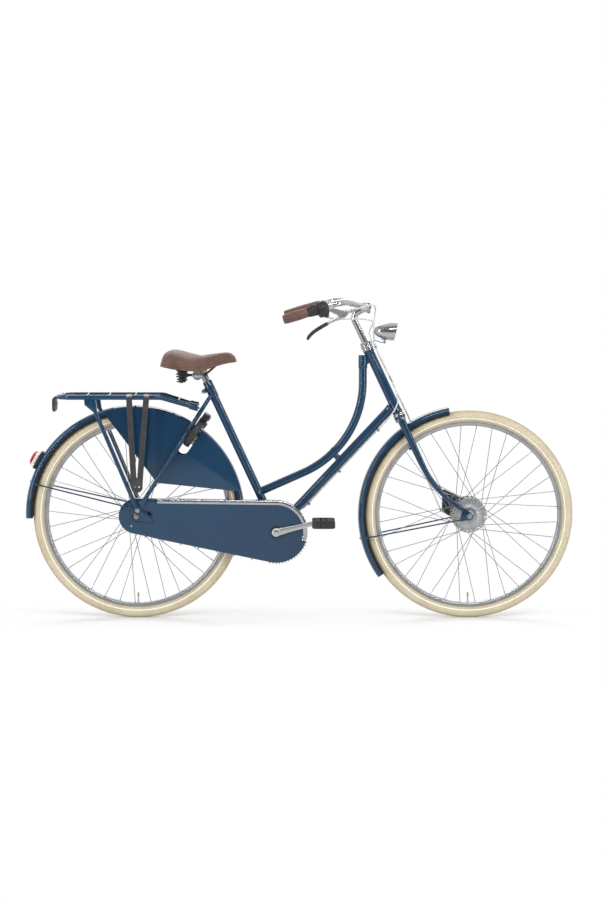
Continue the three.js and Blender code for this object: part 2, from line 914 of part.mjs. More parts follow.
for (const [name, side] of [["right", -1], ["left", 1]]) {
  const stay = chainStay(side);
  const pivot = point(bracketPoint.x + standForward, standOut, bracketPoint.z - standLow);
  const standPlate = plate(
    bandOutline([
      [pivot.x, pivot.z, standRadius + 3],
      [pivot.x, bracketPoint.z, chainStayRadius],
    ]),
    standOut - standRadius - gap,
    standOut - standRadius - gap - standPlateThickness,
  );
  piece(`chain_stay_${name}`, bluePaint, side < 0 ? stay : join(stay, cut(standPlate, shellEnvelope)));
  piece(`seat_stay_${name}`, bluePaint, seatStay(side));
}

piece(
  "headset_upper_cup",
  chrome,
  placed(
    turned([
      [boreFor(steererRadius, runningGap), headTubeLength + gap],
      [cupRadius, headTubeLength + gap],
      [cupRadius, headTubeLength + upperCupHeight - gap],
      [boreFor(steererRadius, runningGap), headTubeLength + upperCupHeight - gap],
    ]),
    headBottom,
    headUp,
  ),
);

// Mudguards: one section swept round the wheel
function guardSection(inset, wall) {
  const side = (offset) =>
    Array.from({ length: guardCrownPoints }, (_, i) => {
      const angle = -Math.PI / 2 + (Math.PI * i) / (guardCrownPoints - 1);
      const squared = Math.sign(Math.sin(angle)) * Math.abs(Math.sin(angle)) ** 0.7;
      return [(guardHalfWidth - offset) * squared, (guardDepth - offset) * (Math.abs(Math.cos(angle)) ** 0.75 - 1) - offset];
    });
  const outer = side(inset);
  const inner = side(inset + wall).map(([y, r], i) => [y, i === 0 || i === guardCrownPoints - 1 ? outer[i][1] : r]);
  return [...outer, ...inner.reverse()];
}

function guardSweep(centre, from, to, section) {
  const count = Math.max(1, Math.round(Math.abs(to - from) / guardStep));
  const rings = Array.from({ length: count + 1 }, (_, i) => {
    const out = turnAt(from + ((to - from) * i) / count);
    return section.map(([y, r]) => move(centre, out, guardRadius + r).setY(y));
  });
  return loft(rings);
}

// A block beside the wheel plane, between two radii and two distances to the left.
function guardBlock(centre, angle, halfAngle, [fromRadius, toRadius], [fromY, toY]) {
  return loft(
    [angle - halfAngle, angle + halfAngle].map((at) =>
      [
        [fromRadius, fromY],
        [toRadius, fromY],
        [toRadius, toY],
        [fromRadius, toY],
      ].map(([radius, y]) => beside(move(centre, turnAt(at), radius), y)),
    ),
  );
}

// Two wires from the axle to a strip that crosses under the guard
function guardStays(centre, angle, eye, eyeY) {
  const facetDrop = guardRadius * (1 - Math.cos(guardStep / 2));
  const inset = guardWall + gap + facetDrop;
  const strip = guardSweep(centre, angle - stayStripHalfAngle, angle + stayStripHalfAngle, guardSection(inset, guardWall));
  const lip = guardRadius - guardDepth;
  const parts = [-1, 1].flatMap((side) => {
    const clipY = side * (guardHalfWidth + stayWireRadius);
    const inside = side * (guardHalfWidth - inset);
    const root = side * (guardHalfWidth - inset - guardWall);
    const low = lip - stayClipDepth;
    const top = lip - gap - facetDrop;
    const clipPoint = beside(move(centre, turnAt(angle), (low + top) / 2), clipY);
    return [
      guardBlock(centre, angle, stayStripHalfAngle / 2, [low, top], [root, clipY]),
      guardBlock(centre, angle, stayStripHalfAngle / 2, [low, lip + stayWireRadius], [root, inside]),
      rod(clipPoint, beside(eye, side * (eyeY + stayWireRadius + gap)), stayWireRadius, 6),
    ];
  });
  return join(strip, ...parts);
}

const rearGuardCentre = move(rearAxlePoint, point(-1, 0, 0), rearGuardShift);
const frontGuardCentre = move(frontAxlePoint, point(-1, 0, 0), frontGuardShift);
piece(
  "rear_mudguard",
  bluePaint,
  guardSweep(rearGuardCentre, rearGuardFront, rearGuardTail, guardSection(0, guardWall)),
);

// Coat guards with their notch for the lock
const stayAngle = Math.atan2(-alongStay.z, -alongStay.x);
const lockAngle = stayAngle - lockBelowStay;
const lockOut = turnAt(lockAngle);
const lockAcross = turnAt(lockAngle - Math.PI / 2);
const lockCentre = move(move(rearAxlePoint, lockOut, lockRadius), lockAcross, lockForward);
function coatGuard(side) {
  const radius = guardRadius - coatOverlap;
  const steps = 14;
  const arc = Array.from({ length: steps + 1 }, (_, i) =>
    flat(move(rearGuardCentre, turnAt(coatTopAngle + ((coatLowerAngle - coatTopAngle) * i) / steps), radius)),
  );
  const corner = point(rearAxlePoint.x + coatCornerForward, 0, rearAxlePoint.z + coatCornerUp);
  const outline = [...arc, flat(corner), flat(move(corner, up, coatChamfer))];
  const inner = guardHalfWidth + gap;
  const notchEnd = move(lockCentre, lockOut, -lockRing - lockRingHalf - 4);
  const notch = plate(
    bandOutline([
      [notchEnd.x, notchEnd.z, lockNotchHalfWidth],
      [notchEnd.x + lockOut.x * lockRing * 3, notchEnd.z + lockOut.z * lockRing * 3, lockNotchHalfWidth],
    ]),
    side * (inner - overrun),
    side * (inner + coatWall + overrun),
  );
  return cut(plate(outline, side * inner, side * (inner + coatWall)), notch);
}
piece("coat_guard_right", bluePaint, largest(coatGuard(-1)));
piece("coat_guard_left", bluePaint, largest(coatGuard(1)));

function largest(shape) {
  return shape.decompose().reduce((a, b) => (a.volume() > b.volume() ? a : b));
}

// Carrier: a loop of tube with cross bars, a front plate and two legs
const carrierHeight = rearAxlePoint.z + guardRadius + carrierAboveGuard;
const carrierTailX = rearAxlePoint.x - carrierTail;
const carrierFront = point(rearAxlePoint.x + carrierFrontForward, 0, carrierHeight - carrierFrontDrop);
const carrierBendX = rearAxlePoint.x + carrierBend;
const carrierLoop = roundedCorners(
  [
    beside(carrierFront, -carrierFrontHalf),
    point(carrierBendX, -carrierHalfWidth, carrierHeight),
    point(carrierTailX, -carrierHalfWidth, carrierHeight),
    point(carrierTailX, carrierHalfWidth, carrierHeight),
    point(carrierBendX, carrierHalfWidth, carrierHeight),
    beside(carrierFront, carrierFrontHalf),
  ],
  carrierCornerRadius,
  carrierBendStep,
);
const carrierBar = (place) => {
  const share = Math.max(0, (place - carrierBend) / (carrierFrontForward - carrierBend));
  const half = blend(carrierHalfWidth, carrierFrontHalf, share);
  const at = point(rearAxlePoint.x + place, 0, carrierHeight - carrierFrontDrop * share);
  return crossRod(at, carrierBarRadius, -half, half, 6);
};

function carrierLeg(side) {
  const top = point(carrierTailX + carrierLegForward, 0, carrierHeight - carrierTubeRadius);
  const alongLeg = stayBolt.clone().sub(top).normalize();
  const upLeg = (distance) => move(stayBolt, alongLeg, -distance);
  const centre = stayTabCentre + tabThickness + gap;
  const tube = ovalTube(
    [
      [beside(top, side * carrierHalfWidth), carrierLegRadius, carrierLegRadius],
      [beside(upLeg(seatStayFlatFrom), side * (centre + carrierLegRadius / 2)), carrierLegRadius, carrierLegRadius],
      [beside(upLeg(seatStayFlatTo), side * centre), tabThickness, carrierLegRadius],
      [beside(upLeg(seatStayTabLength - 4), side * centre), tabThickness / 2, carrierLegRadius],
    ],
    rodSides,
  );
  const boltEnd = centre + tabThickness / 2 + boltHeadHeight;
  const bracketOutline = bandOutline([
    [top.x - carrierPlateHeight / 3, carrierHeight, carrierTubeRadius / 2],
    [top.x + carrierPlateHeight / 3, carrierHeight, carrierTubeRadius / 2],
    [top.x + alongLeg.x * carrierPlateHeight, top.z + alongLeg.z * carrierPlateHeight, carrierLegRadius],
  ]);
  return join(
    tube,
    stayTab(side, 1)(alongLeg.clone().negate()),
    crossRod(stayBolt, stayBoltRadius, side * (dropoutInner - tabThickness), side * boltEnd, rodSides),
    crossRod(stayBolt, stayBoltRadius * 2, side * (boltEnd - boltHeadHeight), side * boltEnd),
    plate(
      bracketOutline,
      side * (carrierHalfWidth - carrierPlateThickness / 2),
      side * (carrierHalfWidth + carrierPlateThickness / 2),
    ),
  );
}

piece(
  "rear_carrier",
  bluePaint,
  join(
    bentTube(carrierLoop, carrierTubeRadius, rodSides),
    ...carrierBarPlaces.map(carrierBar),
    plate(
      bandOutline([
        [carrierFront.x, carrierFront.z, carrierPlateThickness],
        [carrierFront.x - carrierFrontPlate, carrierFront.z, carrierPlateThickness],
      ]),
      -carrierFrontHalf,
      carrierFrontHalf,
    ),
    carrierLeg(-1),
    carrierLeg(1),
  ),
);

// Luggage strap: two bands with hooks over the rail, joined in one end
const strapInner = carrierHalfWidth + carrierTubeRadius + gap;
const strapOuter = strapInner + strapThickness;
function strapBand(place, lowPlace) {
  const topX = rearAxlePoint.x + place;
  const band = plate(
    bandOutline([
      [topX, carrierHeight, strapHalfWidth],
      [rearAxlePoint.x + lowPlace, rearAxlePoint.z + strapLowUp, strapHalfWidth],
    ], rodSides),
    -strapInner,
    -strapOuter,
  );
  const hookTop = carrierHeight + carrierTubeRadius + gap;
  const hook = join(
    box(
      [topX - strapHalfWidth * 0.8, -strapOuter, hookTop],
      [topX + strapHalfWidth * 0.8, -carrierHalfWidth + carrierTubeRadius, hookTop + strapHookWall],
    ),
    box(
      [topX - strapHalfWidth * 0.8, -strapOuter, carrierHeight],
      [topX + strapHalfWidth * 0.8, -strapOuter + strapHookWall, hookTop + strapHookWall],
    ),
  );
  return join(band, hook);
}
const strapEnd = plate(
  bandOutline([
    [rearAxlePoint.x + strapEndForward, rearAxlePoint.z + strapEndUp, strapEndRadius],
    [rearAxlePoint.x + strapLowPlaces[0], rearAxlePoint.z + strapLowUp, strapHalfWidth],
    [rearAxlePoint.x + strapLowPlaces[1], rearAxlePoint.z + strapLowUp, strapHalfWidth],
  ]),
  -strapInner,
  -strapOuter,
);
piece("luggage_strap", rubber, join(strapEnd, ...strapPlaces.map((place, i) => strapBand(place, strapLowPlaces[i]))));

const reflectorX = carrierTailX - carrierTubeRadius - gap;
const reflectorTop = carrierHeight + carrierTubeRadius - reflectorDrop;
piece(
  "rear_reflector",
  redLens,
  join(
    box(
      [carrierTailX - reflectorBehind - reflectorThickness, -reflectorHalfWidth, reflectorTop - reflectorHeight],
      [carrierTailX - reflectorBehind, reflectorHalfWidth, reflectorTop],
    ),
    box(
      [carrierTailX - reflectorBehind - gap, -carrierTubeRadius, carrierHeight - carrierTubeRadius],
      [reflectorX, carrierTubeRadius, carrierHeight + carrierTubeRadius / 2],
    ),
  ),
);

// Rear lamp on the mudguard
const lampOut = turnAt(rearLampAngle);
const lampAlong = turnAt(rearLampAngle + Math.PI / 2);
function rearLampSlab(from, to, halfLength, halfWidth) {
  const corner = (out, along) => flat(move(move(move(rearGuardCentre, lampOut, guardRadius), lampOut, out), lampAlong, along));
  return plate(
    [corner(from, -halfLength), corner(to, -halfLength * 0.86), corner(to, halfLength * 0.86), corner(from, halfLength)],
    -halfWidth,
    halfWidth,
  );
}
const guardEnvelope = guardSweep(
  rearGuardCentre,
  rearGuardFront,
  rearGuardTail,
  guardSection(-gap, guardDepth / 3),
);
piece(
  "rear_lamp_body",
  blackPlastic,
  largest(cut(rearLampSlab(-4, rearLampBaseDepth, rearLampHeight / 2, rearLampHalfWidth), guardEnvelope)),
);
piece(
  "rear_lamp_lens",
  redLens,
  rearLampSlab(
    rearLampBaseDepth + gap,
    rearLampBaseDepth + rearLampLensDepth,
    (rearLampHeight / 2) * 0.84,
    rearLampHalfWidth * 0.9,
  ),
);
piece(
  "rear_mudguard_stays",
  bluePaint,
  guardStays(
    rearGuardCentre,
    rearStayAngle,
    point(rearAxlePoint.x - mudguardEyeBack, 0, rearAxlePoint.z + mudguardEyeUp),
    dropoutOuter + gap,
  ),
);

// Chain case: two shells with openings for the crank, the hub and the chain stay
const caseOutline = (inset) =>
  bandOutline(
    [
      [bracketPoint.x, bracketPoint.z, caseFrontRadius - inset],
      [rearAxlePoint.x, rearAxlePoint.z, caseRearRadius - inset],
    ],
    caseArcSides,
  );
const caseStepX = rearAxlePoint.x + caseStepForward;
const behindStep = (inset) =>
  box([caseStepX - caseRearRadius * 3, -caseOuter - overrun, 0], [caseStepX - inset, -caseRearOuter + inset, overallLength]);
const stayEnvelope = join(
  ovalTube([
    [point(bracketPoint.x, -chainStayStart, bracketPoint.z), chainStayRadius + runningGap, chainStayRadius + overrun],
    [
      point(bracketPoint.x, -chainStayStart, bracketPoint.z)
        .lerp(point(rearAxlePoint.x + dropoutReach, 0, rearAxlePoint.z - dropoutReachDrop), 1 - chainStayStraight / chainStayLength)
        .setY(-chainStayEnd),
      chainStayEndRadius + runningGap / 2,
      chainStayRadius + overrun,
    ],
    [
      point(rearAxlePoint.x + dropoutReach - overrun, -chainStayEnd, rearAxlePoint.z - dropoutReachDrop),
      chainStayEndRadius + runningGap / 2,
      chainStayEndRadius + overrun,
    ],
  ]),
  plate(
    bandOutline([
      [rearAxlePoint.x + caseSlotForward, rearAxlePoint.z, caseSlotHalf],
      [rearAxlePoint.x + caseSlotBack, rearAxlePoint.z, caseSlotHalf],
    ]),
    -caseRearOuter + caseWall * 2,
    -caseOuter + caseWall * 0.9,
  ),
  plate(dropoutOutline(), -dropoutInner + gap, -dropoutOuter - gap),
);
piece(
  "chain_case_outer",
  bluePaint,
  largest(
    cut(
      plate(caseOutline(0), -caseSplit, -caseOuter),
      cut(plate(caseOutline(caseWall), -caseSplit + overrun, -caseOuter + caseWall), behindStep(-caseWall)),
      behindStep(0),
      crossRod(bracketPoint, caseCrankHole, -caseSplit, -caseOuter - overrun, hubSides),
      stayEnvelope,
    ),
  ),
);
piece(
  "chain_case_inner",
  bluePaint,
  largest(
    cut(
      plate(caseOutline(0), -caseInner, -caseSplit + gap),
      plate(caseOutline(caseWall), -caseInner - caseWall, -caseSplit - overrun),
      crossRod(bracketPoint, caseCrankHole, -caseInner + overrun, -caseSplit, hubSides),
      crossRod(rearAxlePoint, caseHubHole, -caseInner + overrun, -caseSplit, hubSides),
      stayEnvelope,
    ),
  ),
);
const trimEnd = turnAt(trimEndAngle);
const trimTop = bracketPoint.z + caseFrontRadius + overrun;
piece(
  "chain_case_trim",
  chrome,
  plate(caseOutline(gap), -caseOuter - gap, -caseOuter - gap - trimWall, [caseOutline(trimHeight)]).intersect(
    plate(
      [
        flat(bracketPoint),
        flat(move(bracketPoint, trimEnd, caseFrontRadius * 2)),
        new THREE.Vector2(bracketPoint.x + caseFrontRadius * 2, trimTop),
        new THREE.Vector2(rearAxlePoint.x + trimStart, trimTop),
        new THREE.Vector2(rearAxlePoint.x + trimStart, bracketPoint.z),
      ],
      -caseOuter,
      -caseOuter - overrun,
    ),
  ),
);

// Chain: two rows of plates joined over the teeth
const pitchRadius = (teeth) => chainPitch / (2 * Math.sin(Math.PI / teeth));
const chainOutline = (offset) =>
  bandOutline(
    [
      [bracketPoint.x, bracketPoint.z, pitchRadius(ringTeeth) + offset],
      [rearAxlePoint.x, rearAxlePoint.z, pitchRadius(sprocketTeeth) + offset],
    ],
    chainArcSides,
  );
const chainSide = (from, to, inset) =>
  plate(chainOutline(chainHalfHeight), -chainLine + from, -chainLine + to, [chainOutline(inset)]);
piece(
  "chain",
  steel,
  join(
    chainSide(-chainPlateOut, -chainPlateIn, -chainHalfHeight),
    chainSide(-chainPlateIn, chainPlateIn, toothHeight + gap * 3),
    chainSide(chainPlateIn, chainPlateOut, -chainHalfHeight),
  ),
);

function toothedOutline(centre, teeth) {
  const pitch = pitchRadius(teeth);
  return Array.from({ length: teeth * 2 }, (_, i) => {
    const radius = i % 2 ? pitch - toothRoot : pitch + toothHeight;
    const angle = (i * Math.PI) / teeth;
    return new THREE.Vector2(centre.x + radius * Math.cos(angle), centre.z + radius * Math.sin(angle));
  });
}

// Ring lock: a channelled ring with its housing, and the shackle that slides round in it
const lockPoint = (angle, radius, forward = 0) =>
  move(move(move(lockCentre, lockOut, radius * Math.sin(angle)), left, radius * Math.cos(angle)), lockAcross, forward);
function lockArc(from, to, inner, outer, back, front, steps = 16) {
  return loft(
    Array.from({ length: steps + 1 }, (_, i) => {
      const angle = from + ((to - from) * i) / steps;
      return [
        lockPoint(angle, inner, back),
        lockPoint(angle, outer, back),
        lockPoint(angle, outer, front),
        lockPoint(angle, inner, front),
      ];
    }),
  );
}
const lockBodyFrom = lockGapTo - 2 * Math.PI;
const lockHousing = loft(
  [-lockHousingHalf, lockHousingHalf].map((y) =>
    [
      [lockRing - lockRingHalf, -lockHousingThickness / 2],
      [lockRing + lockRingHalf + lockHousingTop, -lockHousingThickness / 2],
      [lockRing + lockRingHalf + lockHousingTop, lockHousingThickness / 2],
      [lockRing - lockRingHalf, lockHousingThickness / 2],
    ].map(([out, forward]) => move(move(beside(lockCentre, y), lockOut, out), lockAcross, forward)),
  ),
);
const lockChannel = lockArc(
  lockBodyFrom - 0.6,
  lockGapFrom + 0.6,
  lockRing - lockChannelHalf,
  lockRing + lockChannelHalf,
  -lockChannelHalf,
  lockChannelHalf,
  16,
);
const tabHalf = (shackleTabRadius + runningGap) / lockRing;
const tabSlot = lockArc(
  shackleTabAngle - tabHalf,
  shackleTabAngle + shackleTravel + tabHalf,
  lockRing - shackleTabRadius - runningGap / 2,
  lockRing + shackleTabRadius + runningGap / 2,
  0,
  lockBodyHalfThickness + overrun,
  10,
);
function lockLug(side) {
  const root = lockPoint(side > 0 ? 0 : Math.PI, lockLugOut, -lockBodyHalfThickness / 2);
  const reach = move(root, lockAcross, -lockLugReach);
  const half = lockLugHalf;
  return loft(
    [root, reach].map((at) =>
      [
        [-half, -lockLugWidth],
        [half, -lockLugWidth],
        [half, lockLugWidth],
        [-half, lockLugWidth],
      ].map(([y, out]) => move(move(at, left, y), lockOut, out)),
    ),
  );
}
const lockHousingInside = rod(
  move(lockCentre, lockAcross, -lockHousingThickness),
  move(lockCentre, lockAcross, lockHousingThickness),
  lockRing - lockRingHalf,
  24,
);
piece(
  "ring_lock_body",
  blackPlastic,
  largest(
    cut(
      join(
        lockArc(
          lockBodyFrom,
          lockGapFrom,
          lockRing - lockRingHalf,
          lockRing + lockRingHalf,
          -lockBodyHalfThickness,
          lockBodyHalfThickness,
          14,
        ),
        cut(lockHousing, lockHousingInside),
        lockLug(-1),
        lockLug(1),
      ),
      lockChannel,
      tabSlot,
      seatStayTube(-1, gap),
      seatStayTube(1, gap),
    ),
  ),
);
const shacklePath = Array.from({ length: 13 }, (_, i) =>
  lockPoint(blend(shackleTail, shackleTip, i / 12), lockRing),
);
const shackleBody = group();
piece(
  "lock_shackle",
  chrome,
  join(
    bentTube(shacklePath, shackleRadius, rodSides),
    rod(
      lockPoint(shackleTabAngle, lockRing),
      lockPoint(shackleTabAngle, lockRing, lockBodyHalfThickness + runningGap + 1),
      shackleTabRadius,
      rodSides,
    ),
    rod(
      lockPoint(shackleTabAngle, lockRing, lockBodyHalfThickness + runningGap),
      lockPoint(shackleTabAngle, lockRing, lockBodyHalfThickness + runningGap + shackleKnobLength),
      shackleKnobRadius,
    ),
  ),
  shackleBody,
);

// Wheels
const wheelFacet = Math.cos(Math.PI / wheelSides);
const rimOuter = tyreRadius - tyreSectionRadius * 2 + rimLip;
const rimFloor = rimOuter - rimWellDepth - rimLip;
const rimInner = rimOuter - rimHeight - rimLip / 2;
function tyreProfile() {
  const centre = tyreRadius - tyreSectionRadius;
  const arc = (radius, angles) => angles.map((degrees) => {
    const angle = radians(degrees);
    return [centre + radius * Math.cos(angle), radius * Math.sin(angle)];
  });
  const beadOut = rimHalfWidth - rimLip - gap;
  const beadIn = beadOut - tyreWall;
  const beadFoot = rimFloor + gap;
  return [
    ...arc(tyreSectionRadius, [-140, -95, -48, 0, 48, 95, 140]),
    [rimOuter, beadOut],
    [beadFoot, beadOut],
    [beadFoot, beadIn],
    [centre - tyreWall, tyreSectionRadius - tyreWall],
    [centre + tyreSectionRadius - tyreWall, 0],
    [centre - tyreWall, tyreWall - tyreSectionRadius],
    [beadFoot, -beadIn],
    [beadFoot, -beadOut],
    [rimOuter, -beadOut],
  ];
}
const rimProfile = [
  [rimOuter, rimHalfWidth],
  [rimOuter, rimHalfWidth - rimLip],
  [rimFloor, rimHalfWidth - rimLip],
  [rimFloor, rimLip - rimHalfWidth],
  [rimOuter, rimLip - rimHalfWidth],
  [rimOuter, -rimHalfWidth],
  [rimInner + rimWellDepth, -rimHalfWidth],
  [rimInner, -rimFloorHalfWidth],
  [rimInner, rimFloorHalfWidth],
  [rimInner + rimWellDepth, rimHalfWidth],
];

// Spokes in pairs that cross from each flange to the rim
function spokes(holeRadius, flangeY, turn = 0) {
  const step = (4 * Math.PI) / spokesPerWheel;
  const end = rimInner * wheelFacet - gap * 3;
  const made = [];
  for (const side of [-1, 1]) {
    for (let i = 0; i < spokesPerWheel / 2; i += 1) {
      const lean = i % 2 ? -1 : 1;
      const hole = turn + step * (i + 0.25 + (side > 0 ? 0.5 : 0));
      const nipple = hole + lean * spokeCrossing;
      const from = beside(turnAt(hole).multiplyScalar(holeRadius), side * (flangeY + lean * spokeStagger));
      const to = beside(turnAt(nipple).multiplyScalar(end), side * (spokeRimOut + lean * spokeStagger));
      made.push(rod(from, to, spokeRadius, 3));
    }
  }
  return made;
}

const wheel = (name, axle) => {
  const body = group();
  body.position.copy(axle);
  const valve = rod(
    point(0, 0, -rimInner - 1),
    point(0, 0, valveLength - rimInner),
    valveRadius,
    rodSides,
  );
  piece(`${name}_tyre`, creamRubber, turned(tyreProfile(), wheelSides), body);
  piece(`${name}_rim`, alloy, join(turned(rimProfile, wheelSides), valve), body);
  return body;
};
const rearWheel = wheel("rear", rearAxlePoint);
const frontWheel = wheel("front", frontAxlePoint);

const hubBore = boreFor(axleRadius, runningGap);
const rearFlange = rearHubHalf + flangeThickness / 2;
piece(
  "rear_hub",
  alloy,
  join(
    turned(
      [
        [hubBore, -sprocketInner],
        [hubNeckRadius, -sprocketInner],
        [hubNeckRadius, -rearFlange - 2],
        [rearBarrelRadius - 4, -rearFlange],
        [rearFlangeRadius, -rearFlange],
        [rearFlangeRadius, -rearFlange + flangeThickness],
        [rearBarrelRadius, -rearFlange + flangeThickness],
        [rearBarrelRadius, rearFlange - flangeThickness],
        [rearFlangeRadius, rearFlange - flangeThickness],
        [rearFlangeRadius, rearFlange],
        [rearBarrelRadius, rearFlange],
        [hubNeckRadius, hubEnd],
        [hubBore, hubEnd],
      ],
      hubSides,
    ),
    ...spokes(rearSpokeHoleRadius, rearHubHalf, rearSpokeTurn),
  ),
  rearWheel,
);
const frontFlange = frontHubHalf + flangeThickness / 2;
piece(
  "front_hub",
  alloy,
  join(
      turned(
        [
          [hubBore, -frontHubEnd],
          [hubNeckRadius, -frontHubEnd],
          [frontBarrelRadius, -frontFlange - 4],
          [frontSpokeHoleRadius - 4, -frontFlange],
          [frontFlangeRadius, -frontFlange],
          [frontFlangeRadius, -frontFlange + flangeThickness],
          [frontBarrelRadius, -frontFlange + flangeThickness * 2],
          [frontBarrelRadius, frontFlange - flangeThickness * 2],
          [frontFlangeRadius, frontFlange - flangeThickness],
          [frontFlangeRadius, frontFlange],
          [brakeDrumRadius, frontFlange],
          [brakeDrumRadius, brakePlateInner - gap],
          [hubBore, brakePlateInner - gap],
        ],
        hubSides,
      ),
    ...spokes(frontSpokeHoleRadius, frontHubHalf),
  ),
  frontWheel,
);

// Axles with their cones and nuts, the outer nuts on the dropouts
function axle(half, dropout, thickness, hubStops) {
  const nutFrom = dropout + thickness + gap;
  const [rightStop, leftStop] = hubStops;
  return turned([
    [0, -half],
    [axleRadius, -half],
    [axleRadius, -nutFrom - nutHeight],
    [nutRadius, -nutFrom - nutHeight],
    [nutRadius, -nutFrom],
    [axleRadius, -nutFrom],
    [axleRadius, gap - dropout],
    [nutRadius, gap - dropout],
    [nutRadius, -rightStop],
    [axleRadius, -rightStop],
    [axleRadius, leftStop],
    [nutRadius, leftStop],
    [nutRadius, dropout - gap],
    [axleRadius, dropout - gap],
    [axleRadius, nutFrom],
    [nutRadius, nutFrom],
    [nutRadius, nutFrom + nutHeight],
    [axleRadius, nutFrom + nutHeight],
    [axleRadius, half],
    [0, half],
  ], rodSides);
}
piece("rear_axle", steel, axle(rearAxleHalf, dropoutInner, dropoutThickness, [sprocketOuter + gap, hubEnd + gap]).translate(rearAxlePoint.toArray()));

const rearSprocket = group();
rearSprocket.position.copy(rearAxlePoint);
piece(
  "rear_sprocket",
  steel,
  cut(
    join(
      plate(
        toothedOutline(origin, sprocketTeeth),
        -chainLine - sprocketThickness / 2,
        -chainLine + sprocketThickness / 2,
      ),
      crossRod(origin, hubNeckRadius, -sprocketInner - gap, -sprocketOuter, collarSides),
    ),
    crossRod(origin, hubBore, -caseInner, -caseOuter),
  ),
  rearSprocket,
);

// Cranks with the ring on the right one, and the pedals
const crankset = group();
crankset.position.copy(bracketPoint);
const crankOuter = crankInner + crankThickness;
const crankBoltEnd = crankOuter - trimWall * 2;
piece("crank_spindle", steel, crossRod(origin, spindleRadius, -crankBoltEnd, crankBoltEnd), crankset);
function crank(side) {
  const direction = turnAt(side < 0 ? crankAngle : crankAngle + Math.PI);
  const end = direction.clone().multiplyScalar(crankLength);
  const arm = plate(
    bandOutline([
      [0, 0, crankBossRadius],
      [end.x, end.z, crankEndRadius],
    ]),
    side * crankInner,
    side * crankOuter,
  );
  const boss = crossRod(origin, crankBossRadius, side * crankBossInner(side), side * (crankOuter + crankCap), collarSides);
  const socket = crossRod(origin, sleeveFor(spindleRadius), side * crankBossInner(side) * 0.9, side * (crankBoltEnd + gap));
  const eye = crossRod(end, boreFor(pedalSpindleRadius), side * crankInner * 0.9, side * crankOuter * 1.1);
  return cut(join(arm, boss), socket, eye);
}
function crankBossInner(side) {
  return side < 0 ? chainLine - sprocketThickness / 2 : crankInner - crankThickness / 2;
}
const ringOpening = (i) => {
  const at = turnAt(crankAngle + ((i + 0.5) / ringHoles) * 2 * Math.PI).multiplyScalar(pitchRadius(ringTeeth) * ringHoleShare);
  return crossRod(at, ringHoleRadius, -chainLine + overrun, -chainLine - overrun, rodSides);
};
const chainRing = cut(
  plate(
    toothedOutline(origin, ringTeeth),
    -chainLine - sprocketThickness / 2,
    -chainLine + sprocketThickness / 2,
  ),
  crossRod(origin, sleeveFor(spindleRadius), -chainLine + overrun, -chainLine - overrun),
  ...Array.from({ length: ringHoles }, (_, i) => ringOpening(i)),
);
piece("crank_right", alloy, join(crank(-1), chainRing), crankset);
piece("crank_left", alloy, crank(1), crankset);

for (const [name, side] of [["right", -1], ["left", 1]]) {
  const pedal = group(crankset);
  pedal.position.copy(turnAt(side < 0 ? crankAngle : crankAngle + Math.PI).multiplyScalar(crankLength));
  const from = crankOuter + pedalClear;
  const to = from + pedalWidth;
  const outline = bandOutline([
    [-pedalHalfLength + pedalHalfHeight, 0, pedalHalfHeight],
    [pedalHalfLength - pedalHalfHeight, 0, pedalHalfHeight],
  ]);
  const opening = (at) =>
    box(
      [at - pedalOpening, Math.min(side * (from + pedalEndWall), side * (to - pedalEndWall)), -pedalHalfLength],
      [at + pedalOpening, Math.max(side * (from + pedalEndWall), side * (to - pedalEndWall)), pedalHalfLength],
    );
  piece(
    `pedal_${name}`,
    blackPlastic,
    join(
      cut(plate(outline, side * from, side * to), opening(pedalOpeningAt), opening(-pedalOpeningAt)),
      crossRod(origin, pedalSpindleRadius, side * (crankInner + pedalClear / 2), side * to, rodSides),
      crossRod(origin, pedalBarrelRadius, side * from, side * (to + pedalClear)),
    ),
    pedal,
  );
}

// Kickstand on the left chain stay
const stand = group();
stand.position.set(bracketPoint.x + standForward, standOut, bracketPoint.z - standLow);
const standEnd = point(-Math.cos(standDroop) * standLength, 0, Math.sin(standDroop) * standLength);
piece(
  "kickstand",
  blackPlastic,
  join(
    crossRod(origin, standRadius + 3, -standRadius, standRadius),
    bentTube(
      roundedCorners([origin, standEnd, standEnd.clone().add(point(0, standFoot, 0))], standRadius * 3),
      standRadius,
      rodSides,
    ),
  ),
  stand,
);

// Seat post, clamp and saddle
const seat = group();
piece(
  "seat_post",
  chrome,
  rod(move(seatTop, seatUp, -seatPostInside), move(seatTop, seatUp, seatPostAbove), seatPostRadius),
  seat,
);
const clampCentre = point(seatTop.x - saddleClampBehind, 0, seatTop.z + saddleClampAbove);
const railLow = clampCentre.z;
const saddleBack = clampCentre.x - saddleBehind;
const saddleBase = clampCentre.z + saddleBaseAbove;
const noseRail = point(clampCentre.x + saddleNoseAhead, 0, clampCentre.z + saddleNoseAbove);
const springX = saddleBack + springBehind - saddleRailOut;
const railPath = (side) =>
  roundedCorners(
    [
      beside(noseRail, side * saddleRailNose),
      point(clampCentre.x + saddleLowAhead, side * saddleRailOut, railLow),
      point(springX + saddleRailOut, side * saddleRailOut, railLow),
      point(springX, side * springOut, railLow - springSeat),
    ],
    springRadius,
    radians(25),
  );
const railBore = (side) =>
  rod(
    point(clampCentre.x - saddleClampRadius * 2, side * saddleRailOut, railLow),
    point(clampCentre.x + saddleClampRadius * 2, side * saddleRailOut, railLow),
    boreFor(saddleRailRadius),
  );
